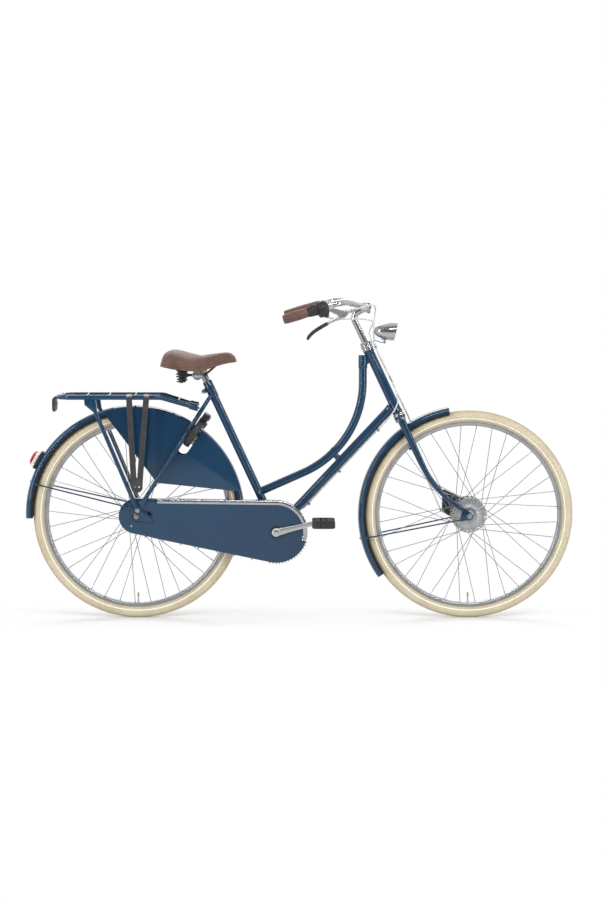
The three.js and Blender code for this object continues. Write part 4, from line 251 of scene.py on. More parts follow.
class Shell:
    """Closed shapes collected into one mesh, whose faces all point out."""

    def __init__(self) -> None:
        """Starts with nothing in it."""
        self.points: list[Vector] = []
        self.faces: list[tuple[int, ...]] = []
        self.slots: list[int] = []

    def add(self, points: Sequence[Vector], faces: Iterable[Sequence[int]], slot: int = 0) -> Shell:
        """Adds one closed shape and turns its faces out if they point in.

        Args:
            points: the shape's points.
            faces: its faces, by the numbers of their points.
            slot: the material slot of its faces.

        Returns:
            This collection, for the next shape.
        """
        listed = [tuple(f) for f in faces]
        middle = sum(points, Vector()) / len(points)
        volume = 0.0
        for face in listed:
            a = points[face[0]] - middle
            for i, j in zip(face[1:], face[2:]):
                volume += a.dot((points[i] - middle).cross(points[j] - middle))
        if volume < 0:
            listed = [f[::-1] for f in listed]
        base = len(self.points)
        self.points += [Vector(p) for p in points]
        self.faces += [tuple(base + i for i in f) for f in listed]
        self.slots += [slot] * len(listed)
        return self

    def loft(self, rings: Sequence[Ring], slot: int = 0, loop: bool = False) -> Shell:
        """Adds a skin over rings of points.

        Args:
            rings: the rings, each with the same number of points.
            slot: the material slot of its faces.
            loop: whether the last ring joins the first, so that there are no ends.

        Returns:
            This collection, for the next shape.
        """
        sides = len(rings[0])
        count = len(rings)
        faces: list[tuple[int, ...]] = []
        for i in range(count if loop else count - 1):
            a, b = i * sides, ((i + 1) % count) * sides
            for j in range(sides):
                k = (j + 1) % sides
                faces.append((a + j, a + k, b + k, b + j))
        if not loop:
            faces.append(tuple(range(sides))[::-1])
            faces.append(tuple(range((count - 1) * sides, count * sides)))
        return self.add([p for ring in rings for p in ring], faces, slot)

    def turned(
        self, profile: Sequence[Flat], at: Vector, axis: Vector, sides: int = 64, slot: int = 0
    ) -> Shell:
        """Adds a shape turned about an axis.

        Args:
            profile: its closed outline, each point a radius and a distance along the axis.
            at: the place that the distances count from.
            axis: the direction of the axis.
            sides: the points round the axis.
            slot: the material slot of its faces.

        Returns:
            This collection, for the next shape.
        """
        turn = LEFT.rotation_difference(axis.normalized())
        rows: list[Ring] = []
        for radius, along in profile:
            flat = circle(radius, sides) if radius > 1e-7 else [(0.0, 0.0)]
            rows.append([at + turn @ Vector((x, along, z)) for x, z in flat])
        points = [p for row in rows for p in row]
        starts = np.concatenate([[0], np.cumsum([len(r) for r in rows])[:-1]])
        faces: list[tuple[int, ...]] = []
        pole = any(len(r) == 1 for r in rows)
        pairs = list(zip(range(len(rows)), range(1, len(rows))))
        if not pole:
            pairs.append((len(rows) - 1, 0))
        for i, k in pairs:
            a, b = int(starts[i]), int(starts[k])
            if len(rows[i]) == 1 and len(rows[k]) == 1:
                continue
            for j in range(sides):
                n = (j + 1) % sides
                if len(rows[i]) == 1:
                    faces.append((a, b + n, b + j))
                elif len(rows[k]) == 1:
                    faces.append((a + j, a + n, b))
                else:
                    faces.append((a + j, a + n, b + n, b + j))
        return self.add(points, faces, slot)

    def tube(self, path: Sequence[Vector], radius: float, sides: int = 28, slot: int = 0) -> Shell:
        """Adds a round tube of one radius along a path."""
        return self.swept(path, [circle(radius, sides)] * len(path), slot)

    def swept(self, path: Sequence[Vector], sections: Sequence[Sequence[Flat]], slot: int = 0) -> Shell:
        """Adds a tube along a path with a section at each of its points.

        Args:
            path: the middle of the tube.
            sections: the section at each point, across and up from the path.
            slot: the material slot of its faces.

        Returns:
            This collection, for the next shape.
        """
        rings: list[Ring] = []
        across = Vector()
        for i, (here, section) in enumerate(zip(path, sections)):
            before, after = path[max(i - 1, 0)], path[min(i + 1, len(path) - 1)]
            along = ((after - here).normalized() + (here - before).normalized()).normalized()
            if i == 0:
                across = LEFT.cross(along) if abs(along.dot(LEFT)) < 0.9 else UP.cross(along)
            across = (across - along * across.dot(along)).normalized()
            up = along.cross(across)
            rings.append([here + across * x + up * z for x, z in section])
        return self.loft(rings, slot)

    def rod(
        self, start: Vector, end: Vector, radius: float, sides: int = 32, slot: int = 0, soft: float = 0.0
    ) -> Shell:
        """Adds a round bar between two places, with its rims rounded by a soft edge."""
        span = (end - start).length
        edge = min(soft, radius * 0.9, span * 0.45)
        rim = [
            (radius - edge * (1 - math.sin(a)), edge * (1 - math.cos(a)))
            for a in (0, math.pi / 6, math.pi / 3, math.pi / 2)
        ]
        near = rim if edge else [(radius, 0.0)]
        far = [(r, span - d) for r, d in reversed(near)]
        return self.turned([(0.0, 0.0), *near, *far, (0.0, span)], start, end - start, sides, slot)

    def across(
        self,
        at: Vector,
        radius: float,
        low: float,
        high: float,
        sides: int = 32,
        slot: int = 0,
        soft: float = 0.0,
    ) -> Shell:
        """Adds a round bar that lies across the bike between two distances to the left."""
        return self.rod(beside(at, low), beside(at, high), radius, sides, slot, soft)

    def slab(
        self, outline: Sequence[Flat], low: float, high: float, slot: int = 0, soft: float = 0.0
    ) -> Shell:
        """Adds a flat plate in side view.

        Args:
            outline: its outline, ahead and up.
            low: its nearer face, to the left.
            high: its farther face, to the left.
            slot: the material slot of its faces.
            soft: the width of its rounded rims.

        Returns:
            This collection, for the next shape.
        """
        low, high = min(low, high), max(low, high)
        if soft <= 0:
            return self.loft([[Vector((x, y, z)) for x, z in outline] for y in (low, high)], slot)
        rim = [
            (soft * (1 - math.sin(a)), soft * (1 - math.cos(a)))
            for a in (0, math.pi / 6, math.pi / 3, math.pi / 2)
        ]
        levels = [(inset, low + d) for inset, d in rim] + [(inset, high - d) for inset, d in reversed(rim)]
        return self.loft(
            [[Vector((x, y, z)) for x, z in drawn_in(outline, inset)] for inset, y in levels], slot
        )

    def bent_slab(
        self,
        places: Sequence[Vector],
        directions: Sequence[Vector],
        width: float,
        height: float,
        slot: int = 0,
    ) -> Shell:
        """Adds a strap of a flat section through places, its width along the matching directions."""
        rings: list[Ring] = []
        for i, (here, wide) in enumerate(zip(places, directions)):
            before, after = places[max(i - 1, 0)], places[min(i + 1, len(places) - 1)]
            along = (after - before).normalized()
            wide = (wide - along * wide.dot(along)).normalized()
            thick = along.cross(wide)
            soft = min(width, height) * 0.3
            corners = [(1, 1), (-1, 1), (-1, -1), (1, -1)]
            ring = []
            for k, (a, b) in enumerate(corners):
                x, z = a * width / 2, b * height / 2
                first, second = ((x, z - b * soft), (x - a * soft, z))
                pair = (first, second) if k % 2 == 0 else (second, first)
                ring += [here + wide * p + thick * q for p, q in pair]
            rings.append(ring)
        return self.loft(rings, slot)

    def ball(self, at: Vector, radius: float, squash: float = 1.0, axis: Vector = UP, slot: int = 0) -> Shell:
        """Adds a ball, flattened along an axis by a share of its radius."""
        angles = [math.pi * i / 12 for i in range(13)]
        profile = [
            (radius * math.sin(a) if 0 < a < math.pi else 0.0, -radius * squash * math.cos(a)) for a in angles
        ]
        return self.turned(profile, at, axis, 24, slot)

    def made(self, name: str, *materials: bpy.types.Material, smooth: float = 40.0) -> bpy.types.Object:
        """Makes the object of what was collected.

        Args:
            name: the object's name.
            materials: its materials, in the order of the slots.
            smooth: faces that meet at less than this many degrees are shaded as one.

        Returns:
            The new object, linked to the scene.
        """
        mesh = bpy.data.meshes.new(name)
        mesh.from_pydata([tuple(p) for p in self.points], [], self.faces)
        mesh.polygons.foreach_set("material_index", self.slots)
        for material in materials:
            mesh.materials.append(material)
        shaded(mesh, smooth)
        made = bpy.data.objects.new(name, mesh)
        bpy.context.scene.collection.objects.link(made)
        return made


def drawn_in(outline: Sequence[Flat], inset: float) -> list[Flat]:
    """The outline moved in by a distance at each of its points."""
    if inset <= 0:
        return list(outline)
    area = sum(a[0] * b[1] - b[0] * a[1] for a, b in zip(outline, [*outline[1:], outline[0]]))
    sign = 1.0 if area > 0 else -1.0
    moved: list[Flat] = []
    for i, (x, z) in enumerate(outline):
        (px, pz), (qx, qz) = outline[i - 1], outline[(i + 1) % len(outline)]
        ax, az, bx, bz = x - px, z - pz, qx - x, qz - z
        la, lb = math.hypot(ax, az) or 1.0, math.hypot(bx, bz) or 1.0
        nx, nz = -(az / la + bz / lb) * sign, (ax / la + bx / lb) * sign
        size = math.hypot(nx, nz) or 1.0
        stretch = min(2.0 / size, 1.6) * inset
        moved.append((x + nx / size * stretch, z + nz / size * stretch))
    return moved


def shaded(mesh: bpy.types.Mesh, degrees: float) -> None:
    """Shades a mesh smooth except where its faces meet at more than an angle."""
    mesh.polygons.foreach_set("use_smooth", [True] * len(mesh.polygons))
    mesh.update()
    mesh.set_sharp_from_angle(angle=math.radians(degrees))


def settle(piece: bpy.types.Object, body: str, slot: str, *nodes: str) -> bpy.types.Object:
    """Hangs a finished piece on its body.

    Args:
        piece: the finished object.
        body: the body that carries it.
        slot: the record's finish for it; not used.
        nodes: the plain nodes that it stands for.

    Returns:
        The same piece.
    """
    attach(piece, body)
    if nodes:
        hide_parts(*nodes)
    log.info("%s rides on %s and stands for %s", piece.name, body, ", ".join(nodes) or "nothing plain")
    return piece


@dataclass(frozen=True)
class Layout:
    """The places in side view that every sub-assembly hangs on, in metres and degrees."""

    tyre_radius: float = 0.3575
    wheelbase: float = 1.135
    bracket_drop: float = 0.0525
    chain_stay: float = 0.479
    seat_angle: float = 65.1
    seat_length: float = 0.562
    head_angle: float = 64.75
    head_length: float = 0.238
    fork_length: float = 0.4195
    fork_rake: float = 0.0714
    guard_radius: float = 0.3765
    rear_shift: float = 0.008
    front_shift: float = 0.004
    stem_forward: float = 0.054
    stem_height: float = 0.374

    @property
    def rear_axle(self) -> Vector:
        """The middle of the rear wheel."""
        reach = self.guard_radius + self.rear_shift
        overall = reach + self.wheelbase + self.tyre_radius
        return Vector((reach - overall / 2, 0.0, self.tyre_radius))

    @property
    def front_axle(self) -> Vector:
        """The middle of the front wheel."""
        return self.rear_axle + FORWARD * self.wheelbase

    @property
    def bracket(self) -> Vector:
        """The middle of the bottom bracket."""
        forward = math.sqrt(self.chain_stay**2 - self.bracket_drop**2)
        return self.rear_axle + Vector((forward, 0.0, -self.bracket_drop))

    @property
    def seat_up(self) -> Vector:
        """The direction up the seat tube."""
        return heading(180 - self.seat_angle)

    @property
    def seat_back(self) -> Vector:
        """The direction behind the seat tube, square to it."""
        return heading(270 - self.seat_angle)

    @property
    def head_up(self) -> Vector:
        """The direction up the steering axis."""
        return heading(180 - self.head_angle)

    @property
    def head_front(self) -> Vector:
        """The direction ahead of the steering axis, square to it."""
        return heading(90 - self.head_angle)

    @property
    def head_bottom(self) -> Vector:
        """The bottom end of the head tube."""
        return self.front_axle - self.head_front * self.fork_rake + self.head_up * self.fork_length

    @property
    def head_top(self) -> Vector:
        """The top end of the head tube."""
        return self.head_bottom + self.head_up * self.head_length

    @property
    def seat_top(self) -> Vector:
        """The top end of the seat tube."""
        return self.bracket + self.seat_up * self.seat_length

    @property
    def stay_bolt(self) -> Vector:
        """The bolt that joins the seat stay and the carrier's leg to the dropout."""
        return self.rear_axle + Vector((0.005, 0.0, 0.021))

    @property
    def stem_clamp(self) -> Vector:
        """The middle of the clamp that holds the handlebar."""
        return self.steer(self.stem_forward, 0.0, self.stem_height)

    def steer(self, ahead: float, across: float, up: float) -> Vector:
        """A place counted from the bottom of the head tube, square to the steering axis."""
        return self.head_bottom + self.head_front * ahead + self.head_up * up + LEFT * across


LAYOUT = Layout()


def stay_top() -> Vector:
    """The place on the seat tube from which the seat stays run down."""
    return LAYOUT.seat_top - LAYOUT.seat_up * 0.052 + LAYOUT.seat_back * 0.012


def bolt_eye(along: Vector) -> list[Flat]:
    """The flat eye of a stay at the dropout's bolt, for a stay that runs to it along a direction."""
    bolt = LAYOUT.stay_bolt
    return band([(bolt.x, bolt.z, 0.0095), (bolt.x - along.x * 0.022, bolt.z - along.z * 0.022, 0.0078)], 36)


def srgb(red: float, green: float, blue: float) -> tuple[float, float, float, float]:
    """A screen colour, given from 0 to 255, as the renderer's colour."""
    parts = [c / 255 for c in (red, green, blue)]
    linear = [c / 12.92 if c <= 0.04045 else ((c + 0.055) / 1.055) ** 2.4 for c in parts]
    return (linear[0], linear[1], linear[2], 1.0)


class Value:
    """A number socket, on which Python's operators add Math nodes."""

    def __init__(self, bench: Bench, socket: bpy.types.NodeSocket) -> None:
        """Wraps a socket of a bench's tree."""
        self.bench = bench
        self.socket = socket

    def maths(self, operation: str, *others: object) -> Value:
        """This number and others through one Math node.

        Args:
            operation: the node's operation.
            others: the further numbers, plain or wrapped.

        Returns:
            The node's result.
        """
        node = self.bench.node(
            "ShaderNodeMath", {"operation": operation}, {0: self, **dict(enumerate(others, 1))}
        )
        return Value(self.bench, node.outputs[0])

    def swapped(self, operation: str, other: object) -> Value:
        """Another number and this one, in that order, through one Math node."""
        node = self.bench.node("ShaderNodeMath", {"operation": operation}, {0: other, 1: self})
        return Value(self.bench, node.outputs[0])

    def __add__(self, other: object) -> Value:
        """The sum."""
        return self.maths("ADD", other)

    __radd__ = __add__

    def __sub__(self, other: object) -> Value:
        """The difference."""
        return self.maths("SUBTRACT", other)

    def __rsub__(self, other: object) -> Value:
        """The difference, from the right."""
        return self.swapped("SUBTRACT", other)

    def __mul__(self, other: object) -> Value:
        """The product."""
        return self.maths("MULTIPLY", other)

    __rmul__ = __mul__

    def __truediv__(self, other: object) -> Value:
        """The quotient."""
        return self.maths("DIVIDE", other)

    def __pow__(self, other: object) -> Value:
        """The power."""
        return self.maths("POWER", other)

    def __abs__(self) -> Value:
        """The size without its sign."""
        return self.maths("ABSOLUTE")

    def step(self, low: float, high: float) -> Value:
        """A soft step from 0 at low to 1 at high, or the other way round where high is less."""
        flipped = high < low
        ends = {"From Min": min(low, high), "From Max": max(low, high)}
        ends |= {"To Min": 1.0 if flipped else 0.0, "To Max": 0.0 if flipped else 1.0}
        node = self.bench.node(
            "ShaderNodeMapRange", {"interpolation_type": "SMOOTHSTEP"}, {"Value": self, **ends}
        )
        return Value(self.bench, node.outputs["Result"])

    def near(self, middle: float, half: float, soft: float) -> Value:
        """1 within half of the middle, fading to 0 over a soft edge."""
        return abs(self - middle).step(half + soft, half)


class Bench:
    """A material's node tree, with one way to add a node."""

    def __init__(self, name: str) -> None:
        """Makes a material with a Principled shader and its output."""
        self.material = bpy.data.materials.new(name)
        self.material.use_nodes = True
        self.tree = self.material.node_tree
        self.tree.nodes.clear()
        self.output = self.node("ShaderNodeOutputMaterial")
        self.shader = self.node("ShaderNodeBsdfPrincipled")
        self.tree.links.new(self.shader.outputs[0], self.output.inputs["Surface"])
        self.places = self.node("ShaderNodeTexCoord").outputs["Object"]

    def node(
        self,
        kind: str,
        settings: dict[str, object] | None = None,
        inputs: dict[str | int, object] | None = None,
    ) -> bpy.types.Node:
        """Adds a node.

        Args:
            kind: the node's type.
            settings: its settings, set first; "stops" gives a ramp its places and colours.
            inputs: values or links for its sockets, by name or number.

        Returns:
            The new node.
        """
        made = self.tree.nodes.new(kind)
        for key, value in (settings or {}).items():
            if key == "stops":
                self.set_stops(made.color_ramp, value)
            else:
                setattr(made, key, value)
        for key, value in (inputs or {}).items():
            self.feed(made.inputs[key], value)
        return made

    def feed(self, socket: bpy.types.NodeSocket, value: object) -> None:
        """Gives a socket a link or a plain value."""
        source = value.socket if isinstance(value, Value) else value
        if isinstance(source, bpy.types.NodeSocket):
            self.tree.links.new(source, socket)
        else:
            socket.default_value = source

    @staticmethod
    def set_stops(ramp: bpy.types.ColorRamp, stops: Sequence[tuple[float, Sequence[float]]]) -> None:
        """Gives a colour ramp its stops, each a place and a colour."""
        while len(ramp.elements) < len(stops):
            ramp.elements.new(0.5)
        for element, (place, color) in zip(ramp.elements, stops):
            element.position = place
            element.color = color

    def shape(self, **settings: object) -> None:
        """Sets the Principled shader's own sockets, by their names with underscores for spaces."""
        for key, value in settings.items():
            self.feed(self.shader.inputs[key.replace("_", " ")], value)

    def moved(
        self,
        centre: Sequence[float] = (0, 0, 0),
        turn: Sequence[float] = (0, 0, 0),
        scale: Sequence[float] = (1, 1, 1),
    ) -> bpy.types.NodeSocket:
        """The object's places, counted from a centre, turned and then stretched."""
        ends = {"Vector": self.places, "Location": tuple(-c for c in centre)}
        shifted = self.node("ShaderNodeMapping", {"vector_type": "POINT"}, ends).outputs[0]
        ends = {"Vector": shifted, "Rotation": tuple(turn)}
        turned = self.node("ShaderNodeMapping", {"vector_type": "POINT"}, ends).outputs[0]
        ends = {"Vector": turned, "Scale": tuple(scale)}
        return self.node("ShaderNodeMapping", {"vector_type": "POINT"}, ends).outputs[0]

    def axes(self, places: bpy.types.NodeSocket) -> tuple[Value, Value, Value]:
        """The three numbers of a place."""
        split = self.node("ShaderNodeSeparateXYZ", None, {0: places})
        return tuple(Value(self, s) for s in split.outputs)

    def noise(
        self, scale: float, detail: float = 3.0, roughness: float = 0.5, places: object = None
    ) -> Value:
        """Cloudy noise from 0 to 1, of a scale in waves to the metre."""
        ends = {"Vector": places or self.places, "Scale": scale, "Detail": detail, "Roughness": roughness}
        return Value(self, self.node("ShaderNodeTexNoise", None, ends).outputs[0])

    def cells(self, scale: float, feature: str = "F1", places: object = None) -> Value:
        """The distance in a pattern of cells, of a scale in cells to the metre."""
        ends = {"Vector": places or self.places, "Scale": scale}
        return Value(self, self.node("ShaderNodeTexVoronoi", {"feature": feature}, ends).outputs["Distance"])

    def mix(self, low: object, high: object, share: object) -> bpy.types.NodeSocket:
        """A colour between two, by a share."""
        made = self.node("ShaderNodeMix", {"data_type": "RGBA"})
        for socket, value in zip([made.inputs[0], made.inputs[6], made.inputs[7]], [share, low, high]):
            self.feed(socket, value)
        return made.outputs[2]

    def bump(self, height: Value, depth: float, strength: float = 1.0) -> None:
        """Raises the surface by a height from 0 to 1, times a depth in metres."""
        ends = {"Strength": strength, "Distance": depth, "Height": height}
        self.feed(self.shader.inputs["Normal"], self.node("ShaderNodeBump", None, ends).outputs[0])


@dataclass(frozen=True)
class Paint:
    """Glossy enamel with a faint change of tone and a little dust."""

    name: str = "blue_enamel"
    color: tuple[float, float, float, float] = srgb(14, 55, 84)
    deep: tuple[float, float, float, float] = srgb(10, 46, 74)
    roughness: float = 0.22

    def build(self) -> bpy.types.Material:
        """Makes the material."""
        bench = Bench(self.name)
        tone = bench.noise(3.0, 2.0)
        fleck = bench.noise(900.0, 1.0)
        dust = bench.noise(60.0, 5.0, 0.65).step(0.56, 0.78)
        color = bench.mix(self.deep, self.color, tone.step(0.3, 0.7) * 0.7 + fleck * 0.3)
        color = bench.mix(color, srgb(92, 104, 116), dust * 0.03)
        bench.shape(
            Base_Color=color,
            Roughness=dust * 0.1 + self.roughness,
            Specular_IOR_Level=0.1,
            Coat_Weight=1.0,
            Coat_Roughness=0.03,
        )
        return bench.material


@dataclass(frozen=True)
class Bright:
    """Plated or polished metal with faint smears."""

    name: str = "chrome_plate"
    color: tuple[float, float, float, float] = srgb(188, 190, 193)
    roughness: float = 0.09
    smear: float = 0.09
    grain: tuple[float, float, float] = (1.0, 1.0, 1.0)
    grain_scale: float = 40.0
    grain_depth: float = 0.0

    def build(self) -> bpy.types.Material:
        """Makes the material."""
        bench = Bench(self.name)
        smears = bench.noise(self.grain_scale, 4.0, 0.6, bench.moved(scale=self.grain))
        spots = bench.noise(700.0, 2.0).step(0.62, 0.72)
        tone = bench.mix(
            self.color, tuple(c * 0.78 for c in self.color[:3]) + (1.0,), smears.step(0.45, 0.85)
        )
        bench.shape(
            Base_Color=tone, Metallic=1.0, Roughness=smears * self.smear + spots * 0.05 + self.roughness
        )
        if self.grain_depth:
            bench.bump(smears, self.grain_depth)
        return bench.material


@dataclass(frozen=True)
class WheelAlloy:
    """Turned aluminium, its fine grooves running round the wheel's axle."""

    name: str
    centre: Vector
    color: tuple[float, float, float, float] = srgb(180, 182, 184)
    roughness: float = 0.26

    def build(self) -> bpy.types.Material:
        """Makes the material."""
        bench = Bench(self.name)
        x, _, z = bench.axes(bench.moved(self.centre))
        radius = (x * x + z * z).maths("SQRT")
        grooves = (radius * 9000.0).maths("SINE") * 0.5 + 0.5
        cloud = bench.noise(25.0, 4.0)
        color = bench.mix(self.color, srgb(158, 160, 162), cloud.step(0.45, 0.8))
        bench.shape(Base_Color=color, Metallic=1.0, Roughness=grooves * 0.08 + cloud * 0.12 + self.roughness)
        bench.bump(grooves, 0.00001)
        return bench.material


@dataclass(frozen=True)
class Moulded:
    """Moulded plastic or rubber with a fine grain."""

    name: str
    color: tuple[float, float, float, float]
    roughness: float = 0.5
    grain_scale: float = 2200.0
    grain_depth: float = 0.00004
    coat: float = 0.0

    def build(self) -> bpy.types.Material:
        """Makes the material."""
        bench = Bench(self.name)
        grain = bench.cells(self.grain_scale)
        cloud = bench.noise(35.0, 4.0, 0.6)
        lighter = tuple(min(1.0, c * 1.5 + 0.012) for c in self.color[:3]) + (1.0,)
        bench.shape(
            Base_Color=bench.mix(self.color, lighter, cloud.step(0.4, 0.85)),
            Roughness=cloud * 0.14 + self.roughness,
            Coat_Weight=self.coat,
            Coat_Roughness=0.15,
        )
        bench.bump(grain, self.grain_depth)
        return bench.material


@dataclass(frozen=True)
class CreamTyre:
    """Cream rubber with a bright reflecting line on each wall and a cut tread."""

    name: str
    centre: Vector
    tread_radius: float = 0.3535
    line_radius: float = 0.3305
    line_half: float = 0.0013

    def build(self) -> bpy.types.Material:
        """Makes the material."""
        bench = Bench(self.name)
        x, y, z = bench.axes(bench.moved(self.centre))
        radius = (x * x + z * z).maths("SQRT")
        angle = z.maths("ARCTAN2", x)
        line = radius.near(self.line_radius, self.line_half, 0.0004)
        tread = radius.step(self.tread_radius - 0.004, self.tread_radius)
        slant = angle * 210.0 + abs(y) * 620.0
        cuts = slant.maths("SINE").step(0.25, 0.75) * tread
        ribs = (radius * 4200.0).maths("SINE").step(0.2, 0.9) * (1.0 - tread) * (1.0 - line)
        cloud = bench.noise(14.0, 5.0, 0.6)
        cream = bench.mix(srgb(194, 183, 157), srgb(181, 169, 141), cloud.step(0.35, 0.75))
        # Darker on the tread and in a narrow band just above the rim.
        darker_tread_and_rim_band = bench.mix(cream, srgb(166, 152, 120), tread * 0.45 + radius.near(0.3205, 0.002, 0.003) * 0.35)
        color = bench.mix(darker_tread_and_rim_band, srgb(236, 234, 226), line)
        bench.shape(Base_Color=color, Roughness=cloud * 0.12 - line * 0.35 + 0.68)
        bench.bump(bench.noise(1500.0, 2.0) * 0.12 + cuts * 0.9 + ribs * 0.12, 0.0005)
        return bench.material


@dataclass(frozen=True)
class Leather:
    """Brown leather with a fine pebble, creases and darker patches."""

    name: str = "brown_leather"
    color: tuple[float, float, float, float] = srgb(112, 80, 67)
    dark: tuple[float, float, float, float] = srgb(84, 57, 47)
    pebble: float = 620.0

    def build(self) -> bpy.types.Material:
        """Makes the material."""
        bench = Bench(self.name)
        warp = bench.noise(90.0, 3.0)
        pebbles = bench.cells(self.pebble, "DISTANCE_TO_EDGE").step(0.0, 0.22)
        fine = bench.noise(2600.0, 2.0)
        patch = bench.noise(16.0, 4.0, 0.62)
        color = bench.mix(self.dark, self.color, patch.step(0.3, 0.62))
        color = bench.mix(color, srgb(134, 99, 84), warp.step(0.55, 0.8) * 0.45)
        color = bench.mix(srgb(60, 40, 33), color, pebbles * 0.55 + 0.45)
        bench.shape(Base_Color=color, Roughness=patch * 0.16 - pebbles * 0.06 + 0.5, Sheen_Weight=0.08)
        bench.bump(pebbles * 0.7 + fine * 0.2 + warp * 0.5, 0.00022)
        return bench.material


@dataclass(frozen=True)
class Lens:
    """Clear or coloured lens plastic with a pressed prism pattern."""

    name: str
    color: tuple[float, float, float, float]
    clear: float = 0.0
    prisms: float = 260.0
    depth: float = 0.0006

    def build(self) -> bpy.types.Material:
        """Makes the material."""
        bench = Bench(self.name)
        _, y, z = bench.axes(bench.places)
        rows = abs((y * self.prisms * math.pi).maths("SINE"))
        columns = abs((z * self.prisms * math.pi).maths("SINE"))
        grid = rows.maths("MULTIPLY", columns)
        dim = tuple(c * 0.5 for c in self.color[:3]) + (1.0,)
        bench.shape(
            Base_Color=bench.mix(dim, self.color, grid.step(0.1, 0.6)),
            Roughness=grid * 0.05 + 0.07,
            Transmission_Weight=self.clear,
            IOR=1.46,
            Coat_Weight=0.6,
        )
        bench.bump(grid, self.depth, 0.6)
        return bench.material


class Finishes:
    """Every finish of the bike, made once and shared."""

    def __init__(self) -> None:
        """Makes the materials."""
        dark = srgb(38, 38, 39)
        self.paint = Paint().build()
        self.chrome = Bright().build()
        self.alloy = Bright(
            "satin_alloy", srgb(205, 206, 207), 0.24, 0.16, (1.0, 1.0, 8.0), 90.0, 0.00002
        ).build()
        self.steel = Bright("drawn_steel", srgb(176, 178, 180), 0.22, 0.2).build()
        self.spoke = Bright("spoke_steel", srgb(144, 146, 149), 0.4, 0.1).build()
        self.zinc = Bright("zinc_plate", srgb(168, 170, 170), 0.34, 0.2).build()
        self.plastic = Moulded("black_plastic", srgb(31, 31, 33), 0.42).build()
        self.gloss_plastic = Moulded("black_gloss", srgb(26, 26, 28), 0.24, 900.0, 0.00001, 0.5).build()
        self.black_enamel = Moulded("black_enamel", srgb(30, 30, 31), 0.3, 1400.0, 0.00001, 0.4).build()
        # Near-black used as painted shade inside the mudguards.
        self.lining = Moulded("guard_lining", srgb(9, 9, 10), 0.7, 1400.0, 0.00001, 0.0).build()
        self.rubber = Moulded("strap_rubber", srgb(48, 48, 50), 0.66, 1600.0, 0.00008).build()
        self.block_rubber = Moulded("pedal_rubber", dark, 0.7, 1300.0, 0.0001).build()
        self.cable = Moulded("cable_cover", srgb(186, 188, 186), 0.38, 2600.0, 0.00002, 0.3).build()
        self.leather = Leather().build()
        self.grip_leather = Leather("grip_leather", srgb(118, 80, 67), srgb(92, 61, 51), 900.0).build()
        self.thread = Moulded("leather_thread", srgb(58, 40, 34), 0.7, 3000.0, 0.00003).build()
        self.red = Lens("red_lens", srgb(190, 12, 16)).build()
        self.pale = Lens("pale_lens", srgb(228, 228, 224), 0.0, 180.0).build()
        self.amber = Lens("pedal_reflector", srgb(214, 120, 24)).build()
        self.clear = Lens("clear_lens", srgb(244, 246, 247), 0.85, 160.0, 0.0004).build()
        self.brass = Bright("brass_nut", srgb(196, 158, 84), 0.3, 0.2).build()


